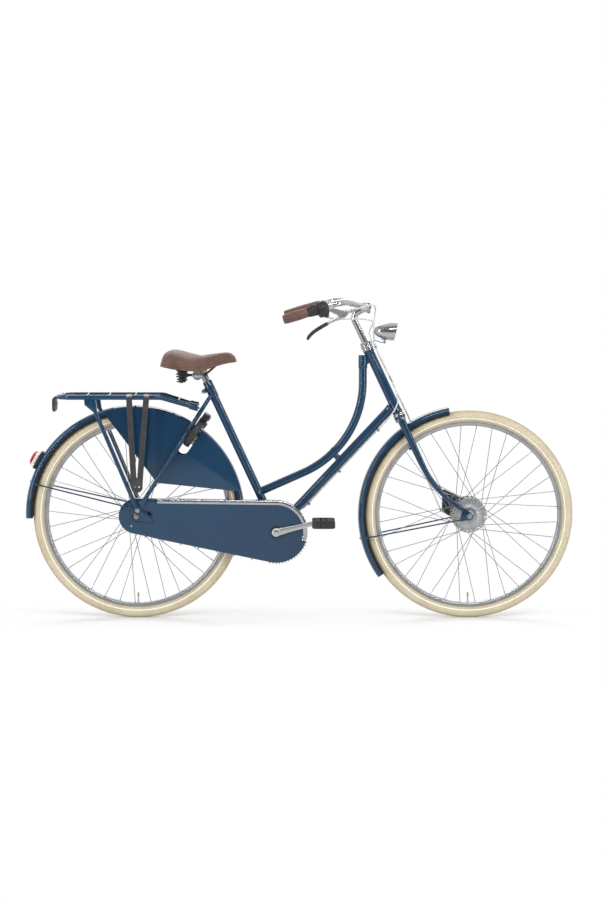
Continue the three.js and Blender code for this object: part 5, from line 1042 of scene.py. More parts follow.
class Grower:
    """A Geometry Nodes tree with named inputs, grown once into a plain mesh."""

    def __init__(self, name: str) -> None:
        """Starts a tree that takes and gives a shape."""
        self.group = bpy.data.node_groups.new(name, "GeometryNodeTree")
        self.group.interface.new_socket("Shape", in_out="INPUT", socket_type="NodeSocketGeometry")
        self.group.interface.new_socket("Shape", in_out="OUTPUT", socket_type="NodeSocketGeometry")
        self.source = self.group.nodes.new("NodeGroupInput")
        self.result = self.group.nodes.new("NodeGroupOutput")
        self.identifiers: dict[str, str] = {}

    def takes(self, name: str, kind: str, value: object) -> bpy.types.NodeSocket:
        """Adds a named input.

        Args:
            name: the input's name.
            kind: "Float", "Int", "Vector" or "Material".
            value: its default.

        Returns:
            The socket that gives the input inside the tree.
        """
        made = self.group.interface.new_socket(name, in_out="INPUT", socket_type=f"NodeSocket{kind}")
        if kind != "Material":
            made.default_value = value
        self.identifiers[name] = made.identifier
        return self.source.outputs[name]

    def node(
        self,
        kind: str,
        settings: dict[str, object] | None = None,
        inputs: dict[str | int, object] | None = None,
    ) -> bpy.types.Node:
        """Adds a node with its settings, and values or links for its sockets."""
        made = self.group.nodes.new(kind)
        for key, value in (settings or {}).items():
            setattr(made, key, value)
        for key, value in (inputs or {}).items():
            for one in value if isinstance(value, list) else [value]:
                if isinstance(one, bpy.types.NodeSocket):
                    self.group.links.new(one, made.inputs[key])
                else:
                    made.inputs[key].default_value = one
        return made

    def maths(self, operation: str, *values: object) -> bpy.types.NodeSocket:
        """Numbers or sockets through one Math node."""
        return self.node("ShaderNodeMath", {"operation": operation}, dict(enumerate(values))).outputs[0]

    def close(self, shape: bpy.types.NodeSocket) -> None:
        """Ends the tree: instances become real and take the material."""
        material = self.takes("Finish", "Material", None)
        real = self.node("GeometryNodeRealizeInstances", None, {0: shape}).outputs[0]
        dressed = self.node(
            "GeometryNodeSetMaterial", None, {"Geometry": real, "Material": material}
        ).outputs[0]
        self.group.links.new(dressed, self.result.inputs[0])

    def grow(
        self,
        name: str,
        finish: bpy.types.Material,
        points: Sequence[Vector] = (),
        smooth: float = 40.0,
        **values: object,
    ) -> bpy.types.Object:
        """Runs the tree and keeps its result as a plain mesh.

        Args:
            name: the new object's name.
            finish: the material of the result.
            points: a line of places that the tree starts from, if it needs one.
            smooth: faces that meet at less than this many degrees are shaded as one.
            values: the tree's inputs, by name with underscores for spaces.

        Returns:
            The new object, linked to the scene.
        """
        mesh = bpy.data.meshes.new(name)
        mesh.from_pydata([tuple(p) for p in points], [(i, i + 1) for i in range(len(points) - 1)], [])
        made = bpy.data.objects.new(name, mesh)
        bpy.context.scene.collection.objects.link(made)
        modifier = made.modifiers.new("grow", "NODES")
        modifier.node_group = self.group
        modifier[self.identifiers["Finish"]] = finish
        for key, value in values.items():
            modifier[self.identifiers[key.replace("_", " ")]] = value
        made.update_tag()
        bpy.context.view_layer.update()
        plain = bpy.data.meshes.new_from_object(made.evaluated_get(bpy.context.evaluated_depsgraph_get()))
        made.modifiers.clear()
        made.data = plain
        bpy.data.meshes.remove(mesh)
        plain.name = name
        shaded(plain, smooth)
        return made


def ray_grower() -> Grower:
    """The tree that repeats one bar round the bike's crosswise axis, for spokes and their fittings."""
    grower = Grower("bars_round_an_axle")
    count = grower.takes("Count", "Int", 9)
    start = grower.takes("Start", "Vector", (0.0, 0.0, 0.0))
    end = grower.takes("End", "Vector", (0.0, 0.0, 1.0))
    radius = grower.takes("Radius", "Float", 0.001)
    sides = grower.takes("Sides", "Int", 8)
    centre = grower.takes("Centre", "Vector", (0.0, 0.0, 0.0))
    line = grower.node("GeometryNodeCurvePrimitiveLine", None, {"Start": start, "End": end}).outputs[0]
    ring = grower.node(
        "GeometryNodeCurvePrimitiveCircle", None, {"Resolution": sides, "Radius": radius}
    ).outputs[0]
    bar = grower.node(
        "GeometryNodeCurveToMesh", None, {"Curve": line, "Profile Curve": ring, "Fill Caps": True}
    ).outputs[0]
    dots = grower.node(
        "GeometryNodeMeshLine", {"mode": "OFFSET"}, {"Count": count, "Offset": (0.0, 0.0, 0.0)}
    ).outputs[0]
    index = grower.node("GeometryNodeInputIndex").outputs[0]
    turn = grower.maths("MULTIPLY", index, grower.maths("DIVIDE", math.tau, count))
    spin = grower.node("ShaderNodeCombineXYZ", None, {1: turn}).outputs[0]
    placed = grower.node("GeometryNodeSetPosition", None, {"Geometry": dots, "Offset": centre}).outputs[0]
    around = grower.node(
        "GeometryNodeInstanceOnPoints", None, {"Points": placed, "Instance": bar, "Rotation": spin}
    ).outputs[0]
    grower.close(around)
    return grower


def bead_grower() -> Grower:
    """The tree that sets small boxes evenly along a line, for stitches, clips, ribs and teeth."""
    grower = Grower("beads_along_a_line")
    count = grower.takes("Count", "Int", 20)
    size = grower.takes("Size", "Vector", (0.001, 0.001, 0.003))
    fillet = grower.takes("Tilt", "Float", 0.0)
    shape = grower.source.outputs["Shape"]
    curve = grower.node("GeometryNodeMeshToCurve", None, {"Mesh": shape}).outputs[0]
    dots = grower.node("GeometryNodeCurveToPoints", {"mode": "COUNT"}, {"Curve": curve, "Count": count})
    box = grower.node("GeometryNodeMeshCube", None, {"Size": size}).outputs[0]
    soft = grower.node("GeometryNodeSubdivisionSurface", None, {"Mesh": box, "Level": 1}).outputs[0]
    tilt = grower.node("ShaderNodeCombineXYZ", None, {2: fillet}).outputs[0]
    turned = grower.node(
        "FunctionNodeRotateRotation", {"rotation_space": "LOCAL"}, {0: dots.outputs["Rotation"], 1: tilt}
    ).outputs[0]
    around = grower.node(
        "GeometryNodeInstanceOnPoints",
        None,
        {"Points": dots.outputs["Points"], "Instance": soft, "Rotation": turned},
    ).outputs[0]
    grower.close(around)
    return grower


def oval(half_up: float, half_across: float, sides: int = 32) -> list[Flat]:
    """An oval section, its first half-axis in side view and its second across the bike."""
    return [(x * half_up, z * half_across) for x, z in circle(1.0, sides)]


def run_through(stations: Sequence[tuple[Vector, float, float]], count: int) -> tuple[Ring, list[list[Flat]]]:
    """A smooth run of oval sections through stations.

    Args:
        stations: each a place, its half height in side view and its half width across.
        count: the number of spans that come back.

    Returns:
        The places of the run, and the section at each.
    """
    places = [s[0] for s in stations]
    path = spline(places, count)
    marks = [min(range(len(path)), key=lambda i, p=p: (path[i] - p).length) for p in places]
    marks[-1] = count
    steps = range(count + 1)
    up = np.interp(steps, marks, [s[1] for s in stations])
    across = np.interp(steps, marks, [s[2] for s in stations])
    return path, [oval(float(a), float(b)) for a, b in zip(up, across)]


def flared(
    shell: Shell,
    start: Vector,
    end: Vector,
    radius: float,
    first: float = 0.0,
    last: float = 0.0,
    slot: int = 0,
) -> Shell:
    """Adds a straight tube whose ends spread into brazed fillets.

    Args:
        shell: the collection that takes it.
        start: the tube's first end.
        end: its other end.
        radius: its radius.
        first: how much wider its first end is.
        last: how much wider its last end is.
        slot: the material slot of its faces.

    Returns:
        The same collection.
    """
    span = (end - start).length
    near = [d for d in (0.0, 0.003, 0.006, 0.009, 0.013, 0.018, 0.025, 0.034) if first]
    far = [span - d for d in (0.034, 0.025, 0.018, 0.013, 0.009, 0.006, 0.003, 0.0) if last]
    marks = sorted({0.0, span, *near, *far})
    profile = [(0.0, 0.0)]
    for d in marks:
        profile.append((radius + first * math.exp(-d / 0.007) + last * math.exp(-(span - d) / 0.007), d))
    return shell.turned([*profile, (0.0, span)], start, end - start, 40, slot)


def carved(piece: bpy.types.Object, *tools: bpy.types.Object, smooth: float = 40.0) -> bpy.types.Object:
    """Cuts tools out of a piece and keeps the result as its plain mesh.

    Args:
        piece: the object that is cut.
        tools: the objects that cut it; they are removed afterwards.
        smooth: faces that meet at less than this many degrees are shaded as one.

    Returns:
        The same piece.
    """
    for tool in tools:
        cutter = piece.modifiers.new("cut", "BOOLEAN")
        cutter.object = tool
        cutter.solver = "EXACT"
        cutter.use_self = True
    bpy.context.view_layer.update()
    old = piece.data
    plain = bpy.data.meshes.new_from_object(piece.evaluated_get(bpy.context.evaluated_depsgraph_get()))
    piece.modifiers.clear()
    piece.data = plain
    plain.name = piece.name
    bpy.data.meshes.remove(old)
    for tool in tools:
        bpy.data.objects.remove(tool)
    shaded(plain, smooth)
    return piece


def collar(radius: float, low: float, high: float, bore: float, soft: float = 0.0008) -> list[Flat]:
    """The profile of a ring with rounded outer rims."""
    rim = [(radius - soft, low), (radius - soft * 0.3, low + soft * 0.3), (radius, low + soft)]
    return [(bore, low), *rim, *[(r, high - (d - low)) for r, d in reversed(rim)], (bore, high)]


def hexagon(
    radius: float, low: float, high: float, at: Vector, axis: Vector, shell: Shell, slot: int = 0
) -> None:
    """Adds a six-sided nut with bevelled rims."""
    bevel = (high - low) * 0.16
    profile = [
        (0.0, low),
        (radius * 0.88, low),
        (radius, low + bevel),
        (radius, high - bevel),
        (radius * 0.88, high),
        (0.0, high),
    ]
    shell.turned(profile, at, axis, 6, slot)


@dataclass
class FrameSet:
    """The brazed frame: its tubes, stays, dropouts, bottom bracket shell and headset cups."""

    finishes: Finishes
    head_radius: float = 0.0168
    ring_radius: float = 0.0182
    cup_radius: float = 0.0205
    cup_height: float = 0.011
    upper_cup: float = 0.018
    down_radius: float = 0.0153
    down_join: float = 0.031
    curved_radius: float = 0.014
    curved_join: float = 0.142
    seat_radius: float = 0.0143
    lug_radius: float = 0.0164
    lug_length: float = 0.062
    bolt_drop: float = 0.027
    bolt_offset: float = 0.0254
    shell_radius: float = 0.02
    shell_half: float = 0.029
    dropout_inner: float = 0.06
    dropout_outer: float = 0.064
    tab: float = 0.0034
    gap: float = 0.0003

    def build(self) -> None:
        """Makes every piece of the frame."""
        self.head_tube()
        self.headset()
        self.curved_tube()
        self.down_tube()
        self.seat_tube()
        for side in Side:
            self.chain_stay(side)
            self.seat_stay(side)

    def head_tube(self) -> None:
        """The head tube with its two rings and the bright lower cup."""
        length, bore = LAYOUT.head_length, 0.0129
        wall, ring = self.head_radius, self.ring_radius
        profile = [
            (bore, 0.0),
            (ring - 0.0008, 0.0),
            (ring, 0.0008),
            (ring, 0.009),
            (ring - 0.0006, 0.0099),
            (wall, 0.0112),
        ]
        profile += [(r, length - d) for r, d in reversed(profile)]
        shell = Shell().turned(profile, LAYOUT.head_bottom, LAYOUT.head_up, 56)
        cup = [
            (bore, -self.cup_height), (self.cup_radius - 0.001, -self.cup_height), (self.cup_radius, -0.01)
        ]
        cup += [
            (self.cup_radius, -0.0064),
            (0.0196, -0.0048),
            (0.0188, -0.0042),
            (0.0188, -0.0002),
            (bore, -0.0002),
        ]
        shell.turned(cup, LAYOUT.head_bottom, LAYOUT.head_up, 56, 1)
        piece = shell.made("head_tube_fine", self.finishes.paint, self.finishes.chrome)
        settle(piece, "frame", "frame_paint", "head_tube")

    def headset(self) -> None:
        """The upper cup with its knurled ring."""
        low, high = LAYOUT.head_length + self.gap, LAYOUT.head_length + self.upper_cup - self.gap
        shell = Shell().turned(
            collar(self.cup_radius, low, low + 0.0072, 0.0138), LAYOUT.head_bottom, LAYOUT.head_up, 56
        )
        shell.turned(
            collar(0.0186, low + 0.0074, low + 0.0098, 0.0138, 0.0004), LAYOUT.head_bottom, LAYOUT.head_up, 56
        )
        ring = collar(self.cup_radius - 0.0004, low + 0.01, high, 0.0138)
        shell.turned(ring, LAYOUT.head_bottom, LAYOUT.head_up, 56)
        for i in range(28):
            turn = Quaternion(LAYOUT.head_up, math.tau * i / 28)
            out = turn @ LAYOUT.head_front
            base = LAYOUT.head_bottom + out * (self.cup_radius - 0.0005)
            shell.rod(
                base + LAYOUT.head_up * (low + 0.0112), base + LAYOUT.head_up * (high - 0.0012), 0.0008, 6
            )
        settle(
            shell.made("headset_upper_cup_fine", self.finishes.chrome), "frame", "chrome", "headset_upper_cup"
        )

    def curved_line(self) -> Ring:
        """The middle line of the curved top tube, from the head down."""
        end = LAYOUT.bracket + LAYOUT.seat_up * self.curved_join
        top = LAYOUT.head_top - LAYOUT.head_up * 0.02 - FORWARD * 0.027
        corner = Vector((top.x, 0.0, end.z + (top.x - end.x) * math.tan(math.radians(24))))
        return rounded([top, corner, end], 0.338, 3.0)

    def curved_tube(self) -> None:
        """The curved top tube with its lug at the head and its fillet on the seat tube."""
        path = subdivided(self.curved_line(), 0.02)
        top = path[0]
        shell = Shell().tube(path, self.curved_radius, 40)
        shell.rod(top, top - UP * 0.046, self.curved_radius + 0.0014, 40, soft=0.0016)
        end, before = path[-1], path[-4]
        flared(shell, before, end, self.curved_radius * 0.9, 0.0, 0.006)
        axis = LAYOUT.head_bottom + LAYOUT.head_up * 0.212
        low = LAYOUT.head_bottom + LAYOUT.head_up * 0.176
        middle = (blend(top.x, low.x, 0.52), low.z + 0.013)
        web = [
            (top.x + 0.004, top.z - 0.004),
            (axis.x, axis.z),
            (low.x - 0.006, low.z),
            middle,
            (top.x + 0.009, low.z + 0.001),
        ]
        shell.slab(web, -0.0085, 0.0085, soft=0.003)
        settle(
            shell.made("curved_top_tube_fine", self.finishes.paint), "frame", "frame_paint", "curved_top_tube"
        )

    def down_line(self) -> tuple[Vector, Vector, Vector]:
        """The down tube's ends, and the direction above it in side view."""
        top = LAYOUT.head_bottom + LAYOUT.head_up * self.down_join
        along = (top - LAYOUT.bracket).normalized()
        return LAYOUT.bracket, top, Vector((-along.z, 0.0, along.x))

    def down_tube(self) -> None:
        """The down tube, the short strut to the curved tube and the clips of the shift cable."""
        start, top, above = self.down_line()
        along = (top - start).normalized()
        shell = flared(Shell(), start + along * 0.016, top - along * 0.014, self.down_radius, 0.004, 0.004)
        foot = start + along * 0.325
        flared(shell, foot + above * 0.011, foot + above * 0.0545, 0.009, 0.005, 0.005)
        bolts = Shell()
        for share in (0.83, 0.5, 0.24):
            at = start.lerp(top, share)
            clip = [
                at + Quaternion(along, t) @ (-above * (self.down_radius + 0.0004))
                for t in np.linspace(-2.2, 2.2, 25)
            ]
            shell.bent_slab(clip, [along] * len(clip), 0.007, 0.0011)
            ear = at - above * (self.down_radius + 0.0062)
            shell.rod(ear - along * 0.0035, ear + along * 0.0035, 0.0042, 20, soft=0.0008)
            bolts.across(
                at - above * (self.down_radius + 0.0035) + along * 0.001,
                0.0022,
                -0.0085,
                -0.0035,
                12,
                soft=0.0006,
            )
        settle(shell.made("down_tube_fine", self.finishes.paint), "frame", "frame_paint", "down_tube")
        settle(bolts.made("cable_clip_screws", self.finishes.zinc), "frame", "steel")

    def seat_tube(self) -> None:
        """The seat tube with its slotted lug, the clamp bolt and the bottom bracket shell."""
        top, up, back = LAYOUT.seat_top, LAYOUT.seat_up, LAYOUT.seat_back
        shell = Shell()
        bore = 0.0131
        lug = [
            (bore, -self.lug_length),
            (self.seat_radius, -self.lug_length),
            (self.lug_radius - 0.0005, -self.lug_length + 0.0016),
        ]
        lug += [
            (self.lug_radius, -self.lug_length + 0.003),
            (self.lug_radius, -0.002),
            (self.lug_radius - 0.0012, 0.0),
            (bore, 0.0),
        ]
        shell.turned(lug, top, up, 48)
        bolt = top - up * self.bolt_drop + back * self.bolt_offset
        outline = band(
            [(bolt.x, bolt.z, 0.007), (bolt.x - back.x * 0.011, bolt.z - back.z * 0.011, 0.0085)], 32
        )
        shell.slab(outline, -0.0098, 0.0098, soft=0.0014)
        low = top - up * 0.06
        slot = Shell()
        cut = [
            top + up * 0.004 - back * 0.002,
            top + up * 0.004 + back * 0.05,
            low + up * 0.012 + back * 0.05,
            low + up * 0.012 - back * 0.002,
        ]
        slot.slab([(p.x, p.z) for p in cut], -0.0009, 0.0009)
        piece = carved(shell.made("seat_lug", self.finishes.paint), slot.made("lug_slot"))
        settle(piece, "frame", "frame_paint")
        shell = flared(Shell(), LAYOUT.bracket + up * 0.014, low, self.seat_radius, 0.005)
        rim = [
            (0.0104, -self.shell_half),
            (0.0188, -self.shell_half),
            (self.shell_radius, -self.shell_half + 0.001),
        ]
        shell.turned([*rim, *[(r, -y) for r, y in reversed(rim)]], LAYOUT.bracket, LEFT, 56)
        settle(shell.made("seat_tube_fine", self.finishes.paint), "frame", "frame_paint", "seat_tube")
        steel = Shell()
        for side in Side:
            near = side.value * self.shell_half
            cup = [
                (0.0104, near),
                (0.0168, near),
                (0.0172, near + side.value * 0.001),
                (0.0166, near + side.value * 0.0034),
                (0.0104, near + side.value * 0.0034),
            ]
            steel.turned(cup, LAYOUT.bracket, LEFT, 24)
            steel.across(bolt, 0.0062, side.value * 0.0102, side.value * 0.0142, 28, soft=0.001)
        steel.across(bolt, 0.004, -0.0102, 0.0102)
        settle(steel.made("seat_bolt_and_cups", self.finishes.chrome), "frame", "chrome")

    def stay_line(self, side: Side) -> list[Vector]:
        """The chain stay's start, bend and end."""
        start = beside(LAYOUT.bracket, side.value * 0.024)
        reach = LAYOUT.rear_axle + Vector((0.044, side.value * 0.0572, -0.008))
        return [start, beside(start.lerp(reach, 1 - 0.09 / LAYOUT.chain_stay), reach.y), reach]

    def chain_stay(self, side: Side) -> None:
        """A chain stay with its slotted dropout."""
        start, bend, reach = self.stay_line(side)
        path, sections = run_through(
            [(start, 0.0095, 0.0095), (bend, 0.0092, 0.0068), (reach, 0.0066, 0.0064)], 40
        )
        shell = Shell().swept(path, sections)
        if side is Side.LEFT:
            pivot = LAYOUT.bracket + Vector((-0.032, 0.0, -0.026))
            plate = band([(pivot.x, pivot.z, 0.01), (pivot.x, LAYOUT.bracket.z, 0.0095)], 32)
            shell.slab(plate, 0.0167, 0.0227, soft=0.001)
        body = shell.made(f"chain_stay_{side.word}_fine", self.finishes.paint)
        settle(body, "frame", "frame_paint", f"chain_stay_{side.word}")
        axle, bolt = LAYOUT.rear_axle, LAYOUT.stay_bolt
        rounds = [(axle.x, axle.z, 0.015), (axle.x + 0.044, axle.z - 0.008, 0.012)]
        rounds += [(bolt.x, bolt.z, 0.0095), (axle.x - 0.019, axle.z + 0.03, 0.0047)]
        shell = Shell().slab(
            band(rounds), side.value * self.dropout_inner, side.value * self.dropout_outer, soft=0.0008
        )
        slot = band([(axle.x, axle.z, 0.0054), (axle.x - 0.012, axle.z, 0.0054)], 32)
        tool = Shell().slab(slot, side.value * 0.055, side.value * 0.07)
        tool.across(bolt, 0.0033, side.value * 0.055, side.value * 0.07)
        name = f"dropout_{side.word}"
        settle(
            carved(shell.made(name, self.finishes.paint), tool.made(f"{name}_slot")), "frame", "frame_paint"
        )

    def seat_stay(self, side: Side) -> None:
        """A seat stay, flattened to its eye at the dropout."""
        top = stay_top()
        along = (LAYOUT.stay_bolt - top).normalized()
        middle = self.dropout_outer + self.gap + self.tab / 2
        stations = [
            (beside(top - along * 0.004, side.value * 0.0165), 0.0068, 0.0068),
            (beside(top + along * 0.0644, side.value * 0.0351), 0.0075, 0.0075),
            (beside(top + along * 0.1196, side.value * 0.0413), 0.0075, 0.0075),
            (beside(LAYOUT.stay_bolt - along * 0.084, side.value * 0.061), 0.0075, 0.0075),
            (beside(LAYOUT.stay_bolt - along * 0.05, side.value * (middle - self.gap)), 0.0076, 0.0034),
            (beside(LAYOUT.stay_bolt - along * 0.0186, side.value * middle), 0.0079, self.tab / 2),
        ]
        path, sections = run_through(stations, 60)
        shell = Shell().swept(path, sections)
        shell.ball(path[0], 0.0072)
        shell.slab(
            bolt_eye(along),
            side.value * (middle - self.tab / 2),
            side.value * (middle + self.tab / 2),
            soft=0.0006,
        )
        piece = shell.made(f"seat_stay_{side.word}_fine", self.finishes.paint)
        settle(piece, "frame", "frame_paint", f"seat_stay_{side.word}")


@dataclass
class Guards:
    """The two mudguards with their wire stays, the coat guards and the rear lamp."""

    finishes: Finishes
    half_width: float = 0.029
    depth: float = 0.018
    liner: float = 0.0274
    clip_depth: float = 0.02
    wall: float = 0.0014
    wire: float = 0.0026
    rear_arc: Flat = (3.5, 181.8)
    front_arc: Flat = (100.3, 215.2)
    rear_stay: float = 162.4
    front_stay: float = 192.8
    coat_inner: float = 0.0293
    coat_wall: float = 0.0013
    coat_bulge: float = 0.0022
    lamp_angle: float = 150.4

    @property
    def rear_centre(self) -> Vector:
        """The middle of the rear mudguard's arc."""
        return LAYOUT.rear_axle - FORWARD * LAYOUT.rear_shift

    @property
    def front_centre(self) -> Vector:
        """The middle of the front mudguard's arc."""
        return LAYOUT.front_axle - FORWARD * LAYOUT.front_shift

    def build(self) -> None:
        """Makes every piece of the guards."""
        self.guard("rear_mudguard", "frame", self.rear_centre, self.rear_arc)
        self.guard("front_mudguard", "steering", self.front_centre, self.front_arc)
        eye = LAYOUT.rear_axle + Vector((-0.019, 0.0, 0.03))
        self.stays("rear_mudguard_stays", "frame", self.rear_centre, self.rear_stay, eye, 0.0672)
        eye = LAYOUT.front_axle + Vector((-0.027, 0.0, -0.012))
        self.stays("front_mudguard_stays", "steering", self.front_centre, self.front_stay, eye, 0.0582)
        for side in Side:
            self.coat_guard(side)
        self.rear_lamp()

    def section(self, inset: float, wall: float) -> list[Flat]:
        """The guard's section: distances to the left and out from its crown."""
        outer, inner = [], []
        for i in range(37):
            angle = blend(-math.pi / 2, math.pi / 2, i / 36)
            width = eased(math.sin(angle), 0.7)
            rise = abs(math.cos(angle)) ** 0.75 - 1
            for offset, line in ((inset, outer), (inset + wall, inner)):
                line.append([(self.half_width - offset) * width, (self.depth - offset) * rise - offset])
        for i in (0, -1):
            inner[i][1] = outer[i][1]
        return [tuple(p) for p in outer + inner[::-1]]

    def arc(self, centre: Vector, ends: Flat, section: Sequence[Flat], step: float = 1.5) -> list[Ring]:
        """Rings of the section swept round a wheel."""
        count = max(2, round(abs(ends[1] - ends[0]) / step))
        turns = [heading(blend(ends[0], ends[1], i / count)) for i in range(count + 1)]
        return [
            [beside(centre + out * (LAYOUT.guard_radius - 0.001 + r), y) for y, r in section] for out in turns
        ]

    def guard(self, node: str, body: str, centre: Vector, ends: Flat) -> None:
        """A mudguard with rolled lips; its inner faces and a wall below each lip are near-black painted
        shade.
        """
        section = self.section(0.0, self.wall)
        shell = Shell().loft(self.arc(centre, ends, section))
        sides = len(section)
        # The guard's inner faces take the near-black slot: painted shade for its shaded inside.
        for face in range(len(shell.slots) - 2):
            shell.slots[face] = int(face % sides >= sides // 2)
        for side in Side:
            lip = (side.value * (self.half_width - 0.0012), -self.depth + 0.0006)
            path = [ring[0] for ring in self.arc(centre, ends, [lip])]
            shell.tube(path, 0.0014, 10)
            # A near-black wall hangs below each lip: painted shade where the gap between guard and tyre lies
            # in shadow.
            near, far = (side.value * (self.half_width - inset) for inset in (0.0022, 0.0034))
            strip = [(near, -0.013), (near, -self.liner), (far, -self.liner), (far, -0.013)]
            shell.loft(self.arc(centre, ends, strip if side is Side.LEFT else strip[::-1]), 1)
        piece = shell.made(f"{node}_fine", self.finishes.paint, self.finishes.lining)
        settle(piece, body, "frame_paint", node)

    def stays(self, node: str, body: str, centre: Vector, angle: float, eye: Vector, eye_out: float) -> None:
        """The wire stays of a guard, their strip, clips and screws."""
        paint, screws = Shell(), Shell()
        paint.loft(self.arc(centre, (angle - 1.5, angle + 1.5), self.section(self.wall + 0.0005, self.wall)))
        out = heading(angle)
        for side in Side:
            lip = LAYOUT.guard_radius - self.clip_depth
            clip = beside(centre + out * (lip - 0.0068), side.value * (self.half_width + self.wire))
            end = beside(eye, side.value * eye_out)
            along = (end - clip).normalized()
            paint.rod(clip + out * 0.001, end + along * 0.003, self.wire, 20, soft=0.0006)
            root = beside(centre + out * (lip - 0.004), side.value * (self.half_width - 0.0042))
            paint.bent_slab(
                [root, beside(root, side.value * (self.half_width + self.wire + 0.0022))],
                [out, out],
                0.0165,
                0.0105,
            )
            paint.across(end, 0.0062, end.y - 0.0013, end.y + 0.0013, 28, soft=0.0006)
            paint.across(
                clip, 0.0027, clip.y + side.value * 0.0022, clip.y + side.value * 0.0042, 20, soft=0.0008
            )
            hexagon(0.0046, 0.0013, 0.0043, end, LEFT * side.value, paint)
        crown = centre + out * LAYOUT.guard_radius
        screws.ball(crown + out * 0.0004, 0.0042, 0.5, out)
        settle(paint.made(f"{node}_fine", self.finishes.paint), body, "frame_paint", node)
        settle(screws.made(f"{node}_screws", self.finishes.zinc), body, "steel")

    def coat_outline(self) -> list[Flat]:
        """The outline of a coat guard in side view."""
        turns = [blend(106.5, 12.8, i / 60) for i in range(61)]
        arc = [self.rear_centre + heading(t) * (LAYOUT.guard_radius - 0.007) for t in turns]
        corner = LAYOUT.rear_axle + Vector((0.061, 0.0, 0.112))
        low = corner + UP * 0.009
        points = [*arc, *subdivided([arc[-1], corner], 0.02)[1:], low]
        points += subdivided([low, arc[0]], 0.02)[1:-1]
        return [(p.x, p.z) for p in points]

    def coat_guard(self, side: Side) -> None:
        """A coat guard panel, a little dished, with its notch for the lock."""
        outline = self.coat_outline()
        middle = (sum(x for x, _ in outline) / len(outline), sum(z for _, z in outline) / len(outline))
        rings: list[Ring] = []
        inner = [
            (share, self.coat_inner + self.coat_bulge * (1 - share**2))
            for share in (0.02, 0.25, 0.5, 0.75, 0.9, 0.97, 1.0)
        ]
        outer = [(share, y + self.coat_wall) for share, y in reversed(inner)]
        for share, y in inner + outer:
            rings.append(
                [
                    Vector((blend(middle[0], x, share), side.value * y, blend(middle[1], z, share)))
                    for x, z in outline
                ]
            )
        shell = Shell().loft(rings)
        centre, out = LOCK.centre, LOCK.out
        near = centre - out * 0.066
        far = near + out * 0.159
        tool = Shell().slab(
            band([(near.x, near.z, 0.019), (far.x, far.z, 0.019)], 64), side.value * 0.02, side.value * 0.04
        )
        name = f"coat_guard_{side.word}"
        piece = carved(shell.made(f"{name}_fine", self.finishes.paint), tool.made("notch"))
        settle(piece, "frame", "frame_paint", name)
        hooks = Shell()
        for turn in (98.0, 78.0, 34.0, 18.0):
            at = self.rear_centre + heading(turn) * (LAYOUT.guard_radius - 0.0175)
            hooks.across(at, 0.0032, side.value * 0.0285, side.value * 0.0322, 20, soft=0.001)
        settle(hooks.made(f"{name}_rivets", self.finishes.paint), "frame", "frame_paint")

    def lamp_block(self, levels: Sequence[tuple[float, float, float]], shell: Shell, slot: int = 0) -> None:
        """Adds a rounded block on the rear guard, from levels of height, half length and half width."""
        out, along = heading(self.lamp_angle), heading(self.lamp_angle + 90)
        base = self.rear_centre + out * LAYOUT.guard_radius
        rings = []
        for rise, half, wide in levels:
            ring = []
            for x, y in circle(1.0, 48):
                a = eased(x, 0.45) * half
                b = eased(y, 0.45) * wide
                ring.append(base + out * rise + along * a + LEFT * b)
            rings.append(ring)
        shell.loft(rings, slot)

    def rear_lamp(self) -> None:
        """The rear lamp: a black housing, a bright rim and the lens."""
        body = Shell()
        self.lamp_block(
            [
                (-0.006, 0.03, 0.018),
                (0.001, 0.0335, 0.0235),
                (0.0062, 0.033, 0.0238),
                (0.0074, 0.032, 0.0228),
            ],
            body,
        )
        settle(
            body.made("rear_lamp_body_fine", self.finishes.plastic),
            "frame",
            "black_plastic",
            "rear_lamp_body",
        )
        lens = Shell()
        self.lamp_block([(0.0078, 0.031, 0.0222), (0.014, 0.029, 0.0214), (0.0186, 0.0266, 0.0204)], lens)
        rise = [
            (0.0187, 0.0262, 0.02),
            (0.0235, 0.0232, 0.0184),
            (0.0268, 0.0188, 0.0158),
            (0.0288, 0.0136, 0.0112),
            (0.0297, 0.005, 0.004),
        ]
        self.lamp_block(rise, lens, 1)
        piece = lens.made("rear_lamp_lens_fine", self.finishes.pale, self.finishes.red)
        settle(piece, "frame", "red_lens", "rear_lamp_lens")


